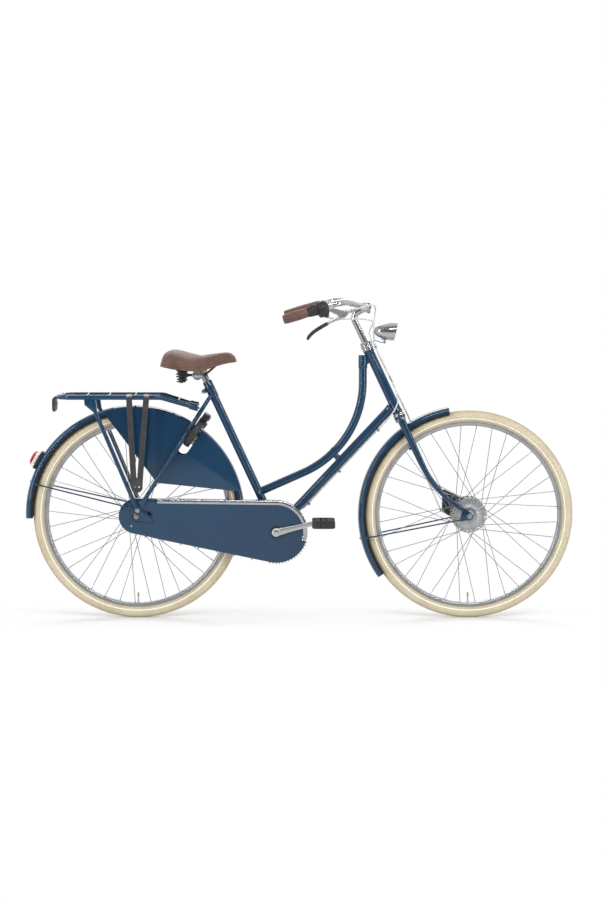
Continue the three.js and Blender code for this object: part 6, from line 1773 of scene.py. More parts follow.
@dataclass
class Carrier:
    """The luggage carrier with its legs, straps and reflector."""

    finishes: Finishes
    half: float = 0.075
    tube: float = 0.0084
    tail: float = 0.262
    bend: float = 0.086
    front: float = 0.207
    front_drop: float = 0.037
    front_half: float = 0.046
    corner: float = 0.046
    above_guard: float = 0.0305
    bars: tuple[float, ...] = (-0.172, -0.097, -0.008, 0.141)
    strap_half: float = 0.01
    strap_wall: float = 0.003

    @property
    def height(self) -> float:
        """The height of the rails' middle."""
        return LAYOUT.rear_axle.z + LAYOUT.guard_radius + self.above_guard

    def build(self) -> None:
        """Makes every piece of the carrier."""
        self.rack()
        self.straps()
        self.reflector()

    def at(self, place: float, across: float = 0.0) -> Vector:
        """A place on the rack, counted forward from the rear axle, at the height of the rails there."""
        share = max(0.0, (place - self.bend) / (self.front - self.bend))
        return Vector((LAYOUT.rear_axle.x + place, across, self.height - self.front_drop * share))

    def rack(self) -> None:
        """The loop of tube, its bars, front plate, legs and bolts."""
        paint, bright = Shell(), Shell()
        corners = [
            self.at(self.front, -self.front_half),
            self.at(self.bend, -self.half),
            self.at(-self.tail, -self.half),
        ]
        corners += [Vector((c.x, -c.y, c.z)) for c in reversed(corners)]
        paint.tube(subdivided(rounded(corners, self.corner, 5), 0.03), self.tube, 32)
        for place in self.bars:
            share = max(0.0, (place - self.bend) / (self.front - self.bend))
            half = blend(self.half, self.front_half, share)
            for side in Side:
                flared(
                    paint,
                    self.at(place),
                    self.at(place, side.value * (half - self.tube * 0.7)),
                    0.004,
                    0.0,
                    0.0026,
                )
        front = self.at(self.front)
        outline = band([(front.x, front.z, 0.004), (front.x - 0.036, front.z + 0.009, 0.004)], 32)
        plate = Shell().slab(outline, -self.front_half - 0.002, self.front_half + 0.002, soft=0.001)
        slots = Shell()
        for y in (-0.026, 0.0, 0.026):
            mid = Vector((front.x - 0.018, y, front.z))
            slots.loft(
                [
                    [
                        mid + Vector((x, z, h))
                        for x, z in band([(-0.006, 0.0, 0.0045), (0.006, 0.0, 0.0045)], 24)
                    ]
                    for h in (-0.03, 0.03)
                ]
            )
        plate_piece = carved(
            plate.made("carrier_front_plate", self.finishes.paint), slots.made("plate_slots")
        )
        settle(plate_piece, "frame", "frame_paint")
        for side in Side:
            self.leg(side, paint, bright)
            box = [(0.004, -0.012), (0.002, 0.0125), (-0.024, 0.019), (-0.026, -0.004)]
            inner, outer = sorted(
                (side.value * (self.front_half - 0.001), side.value * (self.front_half + 0.0095))
            )
            paint.slab([(front.x + x, front.z + z) for x, z in box], inner, outer, soft=0.0016)
        settle(paint.made("rear_carrier_fine", self.finishes.paint), "frame", "frame_paint", "rear_carrier")
        settle(bright.made("carrier_bolts", self.finishes.steel), "frame", "steel")

    def leg(self, side: Side, paint: Shell, bright: Shell) -> None:
        """Adds a leg from the rail to the dropout, with its gusset and bolts."""
        top = self.at(0.111 - self.tail, side.value * self.half) - UP * self.tube
        bolt = LAYOUT.stay_bolt
        along = (bolt - beside(top, 0.0)).normalized()
        layer = 0.064 + 0.0003 + 0.0017 + 0.0034 + 0.0003
        stations = [
            (top, 0.0072, 0.0072),
            (beside(bolt - along * 0.084, side.value * (layer + 0.0036)), 0.0072, 0.0072),
            (beside(bolt - along * 0.054, side.value * layer), 0.0073, 0.0034),
            (beside(bolt - along * 0.018, side.value * layer), 0.0078, 0.0017),
        ]
        path, sections = run_through(stations, 60)
        paint.swept(path, sections)
        paint.slab(bolt_eye(along), side.value * (layer - 0.0017), side.value * (layer + 0.0017), soft=0.0006)
        low = beside(top, 0.0) + along * 0.04
        rounds = [
            (top.x - 0.0175, self.height - 0.002, 0.0042),
            (top.x + 0.0133, self.height, 0.0042),
            (low.x, low.z, 0.0072),
            (top.x - 0.0145, self.height - 0.023, 0.0052),
        ]
        paint.slab(
            band(rounds, 36),
            side.value * (self.half - 0.0062),
            side.value * (self.half + 0.0062),
            soft=0.0018,
        )
        for place in ((top.x, self.height - 0.012), (low.x, low.z)):
            at = Vector((place[0], 0.0, place[1]))
            paint.across(
                at,
                0.0042,
                side.value * (self.half + 0.0062),
                side.value * (self.half + 0.0086),
                24,
                soft=0.0009,
            )
        bright.across(
            bolt, 0.0072, side.value * (layer + 0.0018), side.value * (layer + 0.0028), 32, soft=0.0003
        )
        hexagon(0.0062, layer + 0.0027, layer + 0.0058, beside(bolt, 0.0), LEFT * side.value, bright)
        bright.across(bolt, 0.003, side.value * 0.057, side.value * (layer + 0.0066), 20, soft=0.0004)

    def straps(self) -> None:
        """The two rubber straps with their end piece and metal hooks."""
        rubber, bright = Shell(), Shell()
        inner = self.half + self.tube + 0.0003
        rear = LAYOUT.rear_axle
        end = Vector((rear.x + 0.0045, 0.0, rear.z + 0.1035))
        for place, low in ((-0.02, -0.006), (0.039, 0.015)):
            top = Vector((rear.x + place, 0.0, self.height))
            foot = Vector((rear.x + low, 0.0, rear.z + 0.125))
            along = (top - foot).normalized()
            wide = along.cross(LEFT)
            down = [foot.lerp(top + UP * 0.006, i / 24) for i in range(25)]
            outward = [inner + 0.0014 + 0.0004 * math.sin(i * 1.3) for i in range(25)]
            path = [beside(p, -y) for p, y in zip(down, outward)]
            rubber.bent_slab(path, [wide] * 25, self.strap_half * 2, self.strap_wall)
            for shift in (-0.0062, 0.0, 0.0062):
                rib = [p + wide * shift - LEFT * (self.strap_wall / 2) for p in path[2:-1]]
                rubber.bent_slab(rib, [wide] * len(rib), 0.0022, 0.0009)
            back = [beside(p, -(self.half - self.tube * 0.2)) for p in down[16:]]
            rubber.bent_slab(back, [wide] * len(back), self.strap_half * 1.7, 0.0024)
            over = [Vector((top.x, y, z)) for y, z in self.hook_line()]
            bright.bent_slab(over, [FORWARD] * len(over), self.strap_half * 1.7, 0.0014)
            for shift in (-0.0042, 0.0042):
                bright.ball(
                    Vector((top.x + shift, -self.half - 0.002, self.height + self.tube + 0.0018)), 0.0018, 0.6
                )
        rounds = [
            (end.x, end.z, 0.0198),
            (rear.x - 0.006, rear.z + 0.125, 0.01),
            (rear.x + 0.015, rear.z + 0.125, 0.01),
        ]
        plate = Shell().slab(band(rounds, 48), -inner - 0.0002, -inner - 0.0044, soft=0.0011)
        holes = Shell()
        for x, z, radius in ((-0.0065, 0.0, 0.0024), (0.0075, 0.0, 0.0024)):
            holes.across(end + Vector((x, 0.0, z)), radius, -inner + 0.002, -inner - 0.006, 20)
            ring = collar(radius + 0.0008, -inner - 0.0049, -inner - 0.0036, radius, 0.0003)
            bright.turned(ring, beside(end + Vector((x, 0.0, z)), 0.0), LEFT, 24)
        settle(
            carved(plate.made("strap_end", self.finishes.rubber), holes.made("strap_holes")),
            "frame",
            "black_rubber",
        )
        settle(
            rubber.made("luggage_strap_fine", self.finishes.rubber), "frame", "black_rubber", "luggage_strap"
        )
        settle(bright.made("strap_hooks", self.finishes.steel), "frame", "steel")

    def hook_line(self) -> list[Flat]:
        """The line of a strap's hook over the rail: distances to the left and up."""
        round_the_rail = circle(self.tube + 0.0012, 36, (-self.half, self.height))
        over = sorted((p for p in round_the_rail if p[1] > self.height), key=lambda p: p[0])
        outer = -self.half - self.tube - 0.0042
        return [
            (outer, self.height + 0.001),
            (outer, self.height + 0.005),
            *over[3:],
            (over[-1][0], self.height - 0.004),
        ]

    def reflector(self) -> None:
        """The reflector behind the carrier with its bracket and nut."""
        body = Shell()
        tail = LAYOUT.rear_axle.x - self.tail
        top = self.height + self.tube - 0.006
        middle = Vector((tail - 0.0145, 0.0, top - 0.03))
        outline = soft_oblong(0.047, 0.025, 0.5, 56)
        levels = [(0.0, 0.9), (-0.001, 0.97), (-0.002, 1.0), (-0.0066, 1.0), (-0.0074, 0.97), (-0.0076, 0.93)]
        body.loft([[middle + Vector((x, y * s, z * s)) for y, z in outline] for x, s in levels])
        face = [(-0.0074, 0.92), (-0.0084, 0.91), (-0.009, 0.87)]
        body.loft([[middle + Vector((x, y * s, z * s)) for y, z in outline] for x, s in face], 1)
        bracket = [
            Vector((tail - 0.0086, 0.0, self.height + 0.001)),
            Vector((tail - 0.0135, 0.0, self.height)),
            Vector((tail - 0.0145, 0.0, self.height - 0.009)),
        ]
        body.bent_slab(rounded(bracket, 0.006, 20), [LEFT] * len(rounded(bracket, 0.006, 20)), 0.016, 0.004)
        body.rod(
            middle + UP * 0.002 - FORWARD * 0.001,
            middle + UP * 0.002 + FORWARD * 0.0068,
            0.0034,
            24,
            2,
            soft=0.0008,
        )
        hexagon(0.0052, 0.0006, 0.0042, middle + UP * 0.002, FORWARD, body, 2)
        piece = body.made("rear_reflector_fine", self.finishes.plastic, self.finishes.red, self.finishes.zinc)
        settle(piece, "frame", "red_lens", "rear_reflector")


@dataclass
class RingLock:
    """The ring lock on the seat stays: its ring, housing, key and sliding shackle."""

    finishes: Finishes | None = None
    below_stay: float = 1.9
    radius: float = 0.34
    forward: float = 0.002
    ring: float = 0.053
    ring_half: float = 0.009
    half_thick: float = 0.0115
    gap_from: float = 231.0
    gap_to: float = 307.0
    shackle: float = 0.0042
    tab_angle: float = 32.0
    slot_half: float = 0.0046
    hole_half: float = 0.0052
    far_hole: tuple[float, float] = (-8.0, 26.0)
    near_hole: tuple[float, float] = (-10.0, 8.0)

    @property
    def angle(self) -> float:
        """The lock's place round the wheel, in degrees."""
        up = stay_top() - LAYOUT.stay_bolt
        return math.degrees(math.atan2(up.z, up.x)) - self.below_stay

    @property
    def out(self) -> Vector:
        """The direction from the axle through the lock."""
        return heading(self.angle)

    @property
    def front(self) -> Vector:
        """The direction that the lock's open face looks to, along the wheel."""
        return heading(self.angle - 90)

    @property
    def centre(self) -> Vector:
        """The middle of the lock's ring."""
        return LAYOUT.rear_axle + self.out * self.radius + self.front * self.forward

    def point(self, degrees: float, radius: float, forward: float = 0.0) -> Vector:
        """A place on the ring, by its turn from the left, its radius and its distance forward."""
        turn = math.radians(degrees)
        return self.centre + self.out * (
            radius * math.sin(turn)
        ) + LEFT * (radius * math.cos(turn)) + self.front * forward

    def arc(
        self, low: float, high: float, half_out: float, half_thick: float, steps: int, power: float = 0.5
    ) -> list[Ring]:
        """Rings of a rounded section along a stretch of the ring."""
        section = soft_oblong(half_out, half_thick, power, 40)
        turns = [blend(low, high, i / steps) for i in range(steps + 1)]
        return [[self.point(t, self.ring + x, z) for x, z in section] for t in turns]

    def build(self) -> None:
        """Makes the body and the shackle."""
        low = self.gap_to - 360
        body = Shell().loft(self.arc(low, self.gap_from, self.ring_half, self.half_thick, 84))
        run, hole = self.slot_half, self.hole_half
        slot = Shell().loft(self.arc(self.tab_angle - 6, self.tab_angle + 134, run, run, 70, 1.0))
        for end, (back, ahead), steps in ((low, self.far_hole, 16), (self.gap_from, self.near_hole, 8)):
            slot.loft(self.arc(end + back, end + ahead, hole, hole, steps, 1.0))
        mouth = ((-0.004, 0.002), (0.004, 0.002), (0.004, 0.02), (-0.004, 0.02))
        slot.loft([[self.point(t, self.ring + x, z) for x, z in mouth] for t in range(26, 167, 4)])
        piece = carved(body.made("ring_lock_ring", self.finishes.plastic), slot.made("lock_slot"))
        settle(piece, "frame", "black_plastic", "ring_lock_body")
        self.housing()
        self.bow()

    def housing(self) -> None:
        """The housing over the ring, its key and the lugs on the stays."""
        shell = Shell()
        inner, outer = self.ring + 0.0055, self.ring + self.ring_half + 0.0215
        outline = [
            (-0.036, inner - 0.002),
            (0.036, inner - 0.002),
            (0.0345, outer - 0.006),
            (0.022, outer),
            (-0.022, outer),
            (-0.0345, outer - 0.006),
        ]
        dense = [
            (a[0] + (b[0] - a[0]) * k / 6, a[1] + (b[1] - a[1]) * k / 6)
            for a, b in zip(outline, [*outline[1:], outline[0]])
            for k in range(6)
        ]
        rings = []
        for inset, forward in (
            (0.0026, -0.0096),
            (0.0008, -0.0091),
            (0.0, -0.0076),
            (0.0, 0.0116),
            (0.0008, 0.0141),
            (0.0036, 0.0156),
        ):
            rings.append(
                [
                    self.centre + LEFT * y + self.out * o + self.front * forward
                    for y, o in drawn_in(dense, inset)
                ]
            )
        shell.loft(rings)
        for side in Side:
            root = self.point(0 if side is Side.LEFT else 180, 0.048, -0.0057)
            shell.bent_slab([root, root - self.front * 0.0185], [self.out, self.out], 0.0165, 0.0096)
        key = self.centre + self.out * (self.ring + 0.019) - LEFT * 0.013 + self.front * 0.0155
        shell.rod(
            self.centre + self.out * (self.ring - 0.004) - LEFT * 0.03 + self.front * 0.008,
            self.centre + self.out * (self.ring - 0.004) - LEFT * 0.03 + self.front * 0.021,
            0.0075,
            28,
            2,
            soft=0.0016,
        )
        shell.rod(key, key + self.front * 0.0028, 0.0086, 32, 1, soft=0.0008)
        shell.rod(key + self.front * 0.0028, key + self.front * 0.0034, 0.0064, 32, 1, soft=0.0003)
        shell.bent_slab(
            [key + self.front * 0.003, key + self.front * 0.0037], [LEFT, LEFT], 0.0078, 0.0014, 2
        )
        piece = shell.made(
            "ring_lock_housing", self.finishes.gloss_plastic, self.finishes.steel, self.finishes.plastic
        )
        settle(piece, "frame", "black_plastic")

    def bow(self) -> None:
        """The sliding shackle with its thumb knob."""
        path = [self.point(blend(26, 204, i / 60), self.ring) for i in range(61)]
        shell = Shell().tube(path, self.shackle, 24)
        shell.ball(path[-1], self.shackle * 0.98)
        base = self.point(self.tab_angle, self.ring)
        shell.rod(base, self.point(self.tab_angle, self.ring, 0.0135), 0.0034, 20)
        knob = [
            (0.0, 0.0126),
            (0.0062, 0.0126),
            (0.0069, 0.0134),
            (0.0058, 0.0162),
            (0.0069, 0.019),
            (0.0064, 0.0202),
            (0.0, 0.0205),
        ]
        shell.turned(knob, base, self.front, 32, 1)
        piece = shell.made("lock_shackle_fine", self.finishes.chrome, self.finishes.plastic)
        settle(piece, "lock_shackle", "chrome", "lock_shackle")


LOCK = RingLock()


@dataclass
class Kickstand:
    """The side stand folded along the left chain stay."""

    finishes: Finishes
    radius: float = 0.007
    length: float = 0.266
    foot: float = 0.034
    droop: float = -1.0

    def build(self) -> None:
        """Makes the leg, its pivot and its rubber foot."""
        pivot = LAYOUT.bracket + Vector((-0.032, 0.03, -0.026))
        reach = -heading(-self.droop) * self.length
        end = pivot + Vector((reach.x, 0.0, math.sin(math.radians(self.droop)) * self.length))
        path = subdivided(rounded([pivot, end, end + LEFT * self.foot], self.radius * 3, 8), 0.03)
        shell = Shell().across(pivot, 0.0098, pivot.y - self.radius, pivot.y + self.radius, 40, soft=0.0012)
        leg = resampled(path, 50)
        shell.swept(leg, [circle(self.radius * blend(1.0, 0.86, i / 50), 28) for i in range(51)])
        shell.rod(leg[-7], leg[-1] + LEFT * 0.0, self.radius * 0.99, 32, 1, soft=0.002)
        hexagon(0.0072, -0.0008, 0.0042, pivot + LEFT * self.radius, LEFT, shell, 2)
        piece = shell.made(
            "kickstand_fine", self.finishes.black_enamel, self.finishes.block_rubber, self.finishes.zinc
        )
        settle(piece, "kickstand", "black_plastic", "kickstand")


@dataclass
class Wheel:
    """One wheel: its tyre, rim, valve and crossed spokes; its hub is turned by the two kinds below."""

    finishes: Finishes
    word: str
    centre: Vector
    hole_radius: float
    flange: float
    turn: float = 0.0
    section: float = 0.02
    rim_outer: float = 0.3195
    rim_half: float = 0.0125
    spokes_each: int = 9
    crossing: float = 60.0
    stagger: float = 0.00115
    spoke_radius: float = 0.00115
    nipple_radius: float = 0.0019
    nipple_length: float = 0.0125
    head_radius: float = 0.0017
    head_out: float = 0.0042
    head_in: float = 0.0012

    @property
    def body(self) -> str:
        """The body that turns with the wheel."""
        return f"{self.word}_wheel"

    def build(self, rays: Grower) -> None:
        """Makes every piece of the wheel but its hub shell."""
        self.tyre()
        self.rim()
        self.spokes(rays)
        self.hub_shell()

    def tyre(self) -> None:
        """The cream tyre, with a raised tread and a ridge where it meets the rim."""
        middle = LAYOUT.tyre_radius - self.section
        profile: list[Flat] = []
        for i in range(49):
            angle = math.radians(blend(-138.0, 138.0, i / 48))
            bulge = self.section - 0.0005 * (
                1 - math.cos(min(abs(angle) * 3.4, math.pi))
            ) * (0.5 if abs(angle) < 1.2 else 1.0)
            profile.append((middle + bulge * math.cos(angle), bulge * math.sin(angle)))
        profile += [(self.rim_outer, 0.0102), (0.3129, 0.0101), (0.3129, -0.0101), (self.rim_outer, -0.0102)]
        shell = Shell().turned(profile, self.centre, LEFT, 192)
        rubber = CreamTyre(f"cream_rubber_{self.word}", self.centre).build()
        settle(
            shell.made(f"{self.word}_tyre_fine", rubber, smooth=60),
            self.body,
            "cream_tyre",
            f"{self.word}_tyre",
        )

    def rim(self) -> None:
        """The box rim with its lips and the valve."""
        half = self.rim_half
        side = [
            (self.rim_outer, half - 0.0006),
            (self.rim_outer - 0.0006, half),
            (0.3112, half),
            (0.3088, half - 0.0014),
            (0.3063, half - 0.0044),
            (0.3052, 0.0052),
            (0.305, 0.0034),
        ]
        inner = [
            (0.3126, half - 0.0021), (self.rim_outer - 0.0008, half - 0.002), (self.rim_outer, half - 0.0014)
        ]
        right = [*inner, *side]
        profile = [*right, *[(r, -y) for r, y in reversed(right)]]
        shell = Shell().turned(profile, self.centre, LEFT, 192)
        foot = self.centre - UP * 0.306
        tip = self.centre - UP * 0.2712
        shell.rod(foot, foot + UP * 0.022, 0.0022, 20)
        shell.turned(collar(0.0032, 0.0, 0.0026, 0.0018, 0.0006), foot, UP, 20)
        shell.rod(tip - UP * 0.0135, tip, 0.003, 24, 1, soft=0.0014)
        for i in range(7):
            shell.turned(
                collar(0.00318, 0.0016 * i, 0.0016 * i + 0.0008, 0.002, 0.0003), tip - UP * 0.0125, UP, 20, 1
            )
        alloy = WheelAlloy(f"{self.word}_rim_alloy", self.centre).build()
        piece = shell.made(f"{self.word}_rim_fine", alloy, self.finishes.brass)
        settle(piece, self.body, "alloy", f"{self.word}_rim")

    def spokes(self, rays: Grower) -> None:
        """The spokes, their nipples at the rim and their heads at the flange, all grown round the axle."""
        step = 360.0 / (self.spokes_each * 2)
        for side in Side:
            for lean in (1, -1):
                hole = self.turn + step * (0.25 + (side.value > 0) * 0.5 + (lean < 0))
                start = beside(
                    heading(hole) * self.hole_radius, side.value * (self.flange + lean * self.stagger)
                )
                end = beside(
                    heading(hole + lean * self.crossing) * 0.3052, side.value * (0.0025 + lean * self.stagger)
                )
                inward = (start - end).normalized()
                label = f"{self.word}_{side.word}_{'leading' if lean > 0 else 'trailing'}"
                outside = LEFT * side.value * lean
                finishes = self.finishes
                for part, finish, low, high, radius, sides in (
                    ("spokes", finishes.spoke, start, end, self.spoke_radius, 8),
                    (
                        "nipples",
                        finishes.alloy,
                        end,
                        end + inward * self.nipple_length,
                        self.nipple_radius,
                        10,
                    ),
                    (
                        "heads",
                        finishes.steel,
                        start - outside * self.head_out,
                        start + outside * self.head_in,
                        self.head_radius,
                        10,
                    ),
                ):
                    sizes = {
                        "Count": self.spokes_each, "Start": low, "End": high, "Radius": radius, "Sides": sides
                    }
                    made = rays.grow(f"{label}_{part}", finish, Centre=self.centre, **sizes)
                    settle(made, self.body, "alloy")

    def turned_hub(self, profile: Sequence[Flat], tools: Shell, name: str) -> None:
        """Turns a hub shell, cuts its openings and hangs it on the wheel."""
        alloy = WheelAlloy(f"{name}_alloy", self.centre, srgb(186, 188, 189), 0.3).build()
        shell = Shell().turned(profile, self.centre, LEFT, 96)
        piece = carved(shell.made(f"{name}_fine", alloy), tools.made(f"{name}_openings"))
        settle(piece, self.body, "alloy", name)

    def hub_shell(self) -> None:
        """Makes the hub; each kind of wheel has its own."""


@dataclass
class FrontWheel(Wheel):
    """The front wheel, with its wide slotted flanges and brake drum."""

    slots: int = 24

    def hub_shell(self) -> None:
        """The drum hub: a dished face, a slotted flange and the drum's rim on the left."""
        right = [
            (0.006, -0.04),
            (0.0145, -0.04),
            (0.016, -0.0388),
            (0.0165, -0.0372),
            (0.0235, -0.0368),
            (0.027, -0.0372),
            (0.0285, -0.0366),
        ]
        right += [
            (0.0415, -0.0335),
            (0.0433, -0.0331),
            (0.0592, -0.0331),
            (0.06, -0.0323),
            (0.06, -0.0297),
            (0.0592, -0.0289),
            (0.044, -0.0287),
            (0.0262, -0.0245),
            (0.024, -0.022),
        ]
        left = [
            (0.024, 0.022),
            (0.0262, 0.0245),
            (0.044, 0.0287),
            (0.0592, 0.0289),
            (0.06, 0.0297),
            (0.06, 0.0323),
            (0.0592, 0.0331),
            (0.046, 0.0333),
            (0.046, 0.0352),
            (0.0455, 0.0357),
            (0.006, 0.0357),
        ]
        tools = Shell()
        for side in Side:
            low, high = sorted((side.value * 0.0275, side.value * 0.0345))
            for i in range(self.slots):
                mid = heading(360 * (i + 0.5) / self.slots)
                slant = heading(360 * (i + 0.5) / self.slots + 52)
                middle = self.centre + mid * 0.0541
                a, b = middle - slant * 0.0026, middle + slant * 0.0026
                tools.slab(band([(a.x, a.z, 0.0022), (b.x, b.z, 0.0022)], 20), low, high)
        self.turned_hub(right + left, tools, "front_hub")
        ring = Shell().turned(collar(0.0285, -0.0384, -0.0368, 0.0172, 0.0006), self.centre, LEFT, 64)
        settle(ring.made("front_hub_dust_ring", self.finishes.steel), self.body, "steel")


@dataclass
class RearWheel(Wheel):
    """The rear wheel, with its geared hub."""

    def hub_shell(self) -> None:
        """The hub: a necked shell between two drilled flanges."""
        right = [
            (0.006, -0.0395),
            (0.0155, -0.0395),
            (0.016, -0.039),
            (0.016, -0.0332),
            (0.022, -0.0304),
            (0.0353, -0.0302),
            (0.036, -0.0295),
            (0.036, -0.0265),
            (0.0353, -0.0258),
            (0.0275, -0.0256),
            (0.026, -0.024),
        ]
        left = [
            (0.026, 0.024),
            (0.0275, 0.0256),
            (0.0353, 0.0258),
            (0.036, 0.0265),
            (0.036, 0.0295),
            (0.0353, 0.0302),
            (0.0265, 0.0304),
            (0.024, 0.0315),
            (0.018, 0.0405),
            (0.0165, 0.043),
            (0.016, 0.0475),
            (0.0155, 0.048),
            (0.006, 0.048),
        ]
        tools = Shell()
        for side in Side:
            for i in range(18):
                hole = self.centre + heading(
                    self.turn + 20 * (i + 0.25 + (side.value > 0) * 0.5)
                ) * self.hole_radius
                low, high = sorted((side.value * 0.0245, side.value * 0.0318))
                tools.across(hole, 0.0014, low, high, 8)
        self.turned_hub(right + left, tools, "rear_hub")


@dataclass
class Axles:
    """The two axles with their cones, washers and nuts, threaded at their ends."""

    finishes: Finishes
    radius: float = 0.005
    nut: float = 0.0095

    def build(self) -> None:
        """Makes the rear and the front axle."""
        self.axle("rear_axle", "frame", LAYOUT.rear_axle, 0.08, 0.0643, (-0.0503, 0.0483), 0.0597)
        self.axle("front_axle", "steering", LAYOUT.front_axle, 0.067, 0.0553, (-0.0403, 0.0423), 0.0497)

    def axle(
        self, node: str, body: str, at: Vector, half: float, nut_from: float, stops: Flat, dropout: float
    ) -> None:
        """Makes one axle.

        Args:
            node: the plain node that it stands for.
            body: the body that carries it.
            at: its middle.
            half: half its length.
            nut_from: the distance out to the nuts.
            stops: where its cones meet the hub, right and left.
            dropout: where its cones meet the dropouts.
        """
        shell = Shell().across(at, self.radius - 0.0004, -half, half, 32, soft=0.0008)
        for side in Side:
            for i in range(12):
                start = half - 0.0014 - i * 0.0009
                if start < nut_from:
                    break
                profile = [
                    (0.002, start - 0.0009),
                    (self.radius - 0.0004, start - 0.0009),
                    (self.radius, start - 0.00045),
                    (self.radius - 0.0004, start),
                    (0.002, start),
                ]
                shell.turned(profile, at, LEFT * side.value, 24)
            stop = abs(stops[0] if side is Side.RIGHT else stops[1])
            cone = [
                (0.002, stop),
                (0.0078, stop),
                (self.nut - 0.0004, stop + 0.0012),
                (self.nut - 0.0004, dropout - 0.0006),
                (self.nut - 0.001, dropout),
                (0.002, dropout),
            ]
            shell.turned(cone, at, LEFT * side.value, 32)
            shell.turned(
                collar(self.nut, nut_from, nut_from + 0.0014, 0.002, 0.0004), at, LEFT * side.value, 40
            )
            hexagon(
                self.nut - 0.0003,
                nut_from + 0.0015,
                nut_from + 0.0088,
                at,
                LEFT * side.value,
                shell,
                1 if body == "frame" else 0,
            )
        settle(shell.made(f"{node}_fine", self.finishes.steel, self.finishes.brass), body, "steel", node)


def toothed(centre: Vector, teeth: int, pitch: float = 0.0127) -> list[Flat]:
    """The outline of a sprocket's rounded teeth.

    Args:
        centre: its middle.
        teeth: how many teeth it has.
        pitch: the chain's pitch.

    Returns:
        The outline's points, in order round it.
    """
    radius = pitch / (2 * math.sin(math.pi / teeth))
    shape = (
        (0.0, 0.0031),
        (0.1, 0.0029),
        (0.22, 0.0008),
        (0.34, -0.0026),
        (0.5, -0.0039),
        (0.66, -0.0026),
        (0.78, 0.0008),
        (0.9, 0.0029),
    )
    outline = []
    for i in range(teeth):
        for share, rise in shape:
            out = heading(360 * (i + share) / teeth) * (radius + rise)
            outline.append((centre.x + out.x, centre.z + out.z))
    return outline


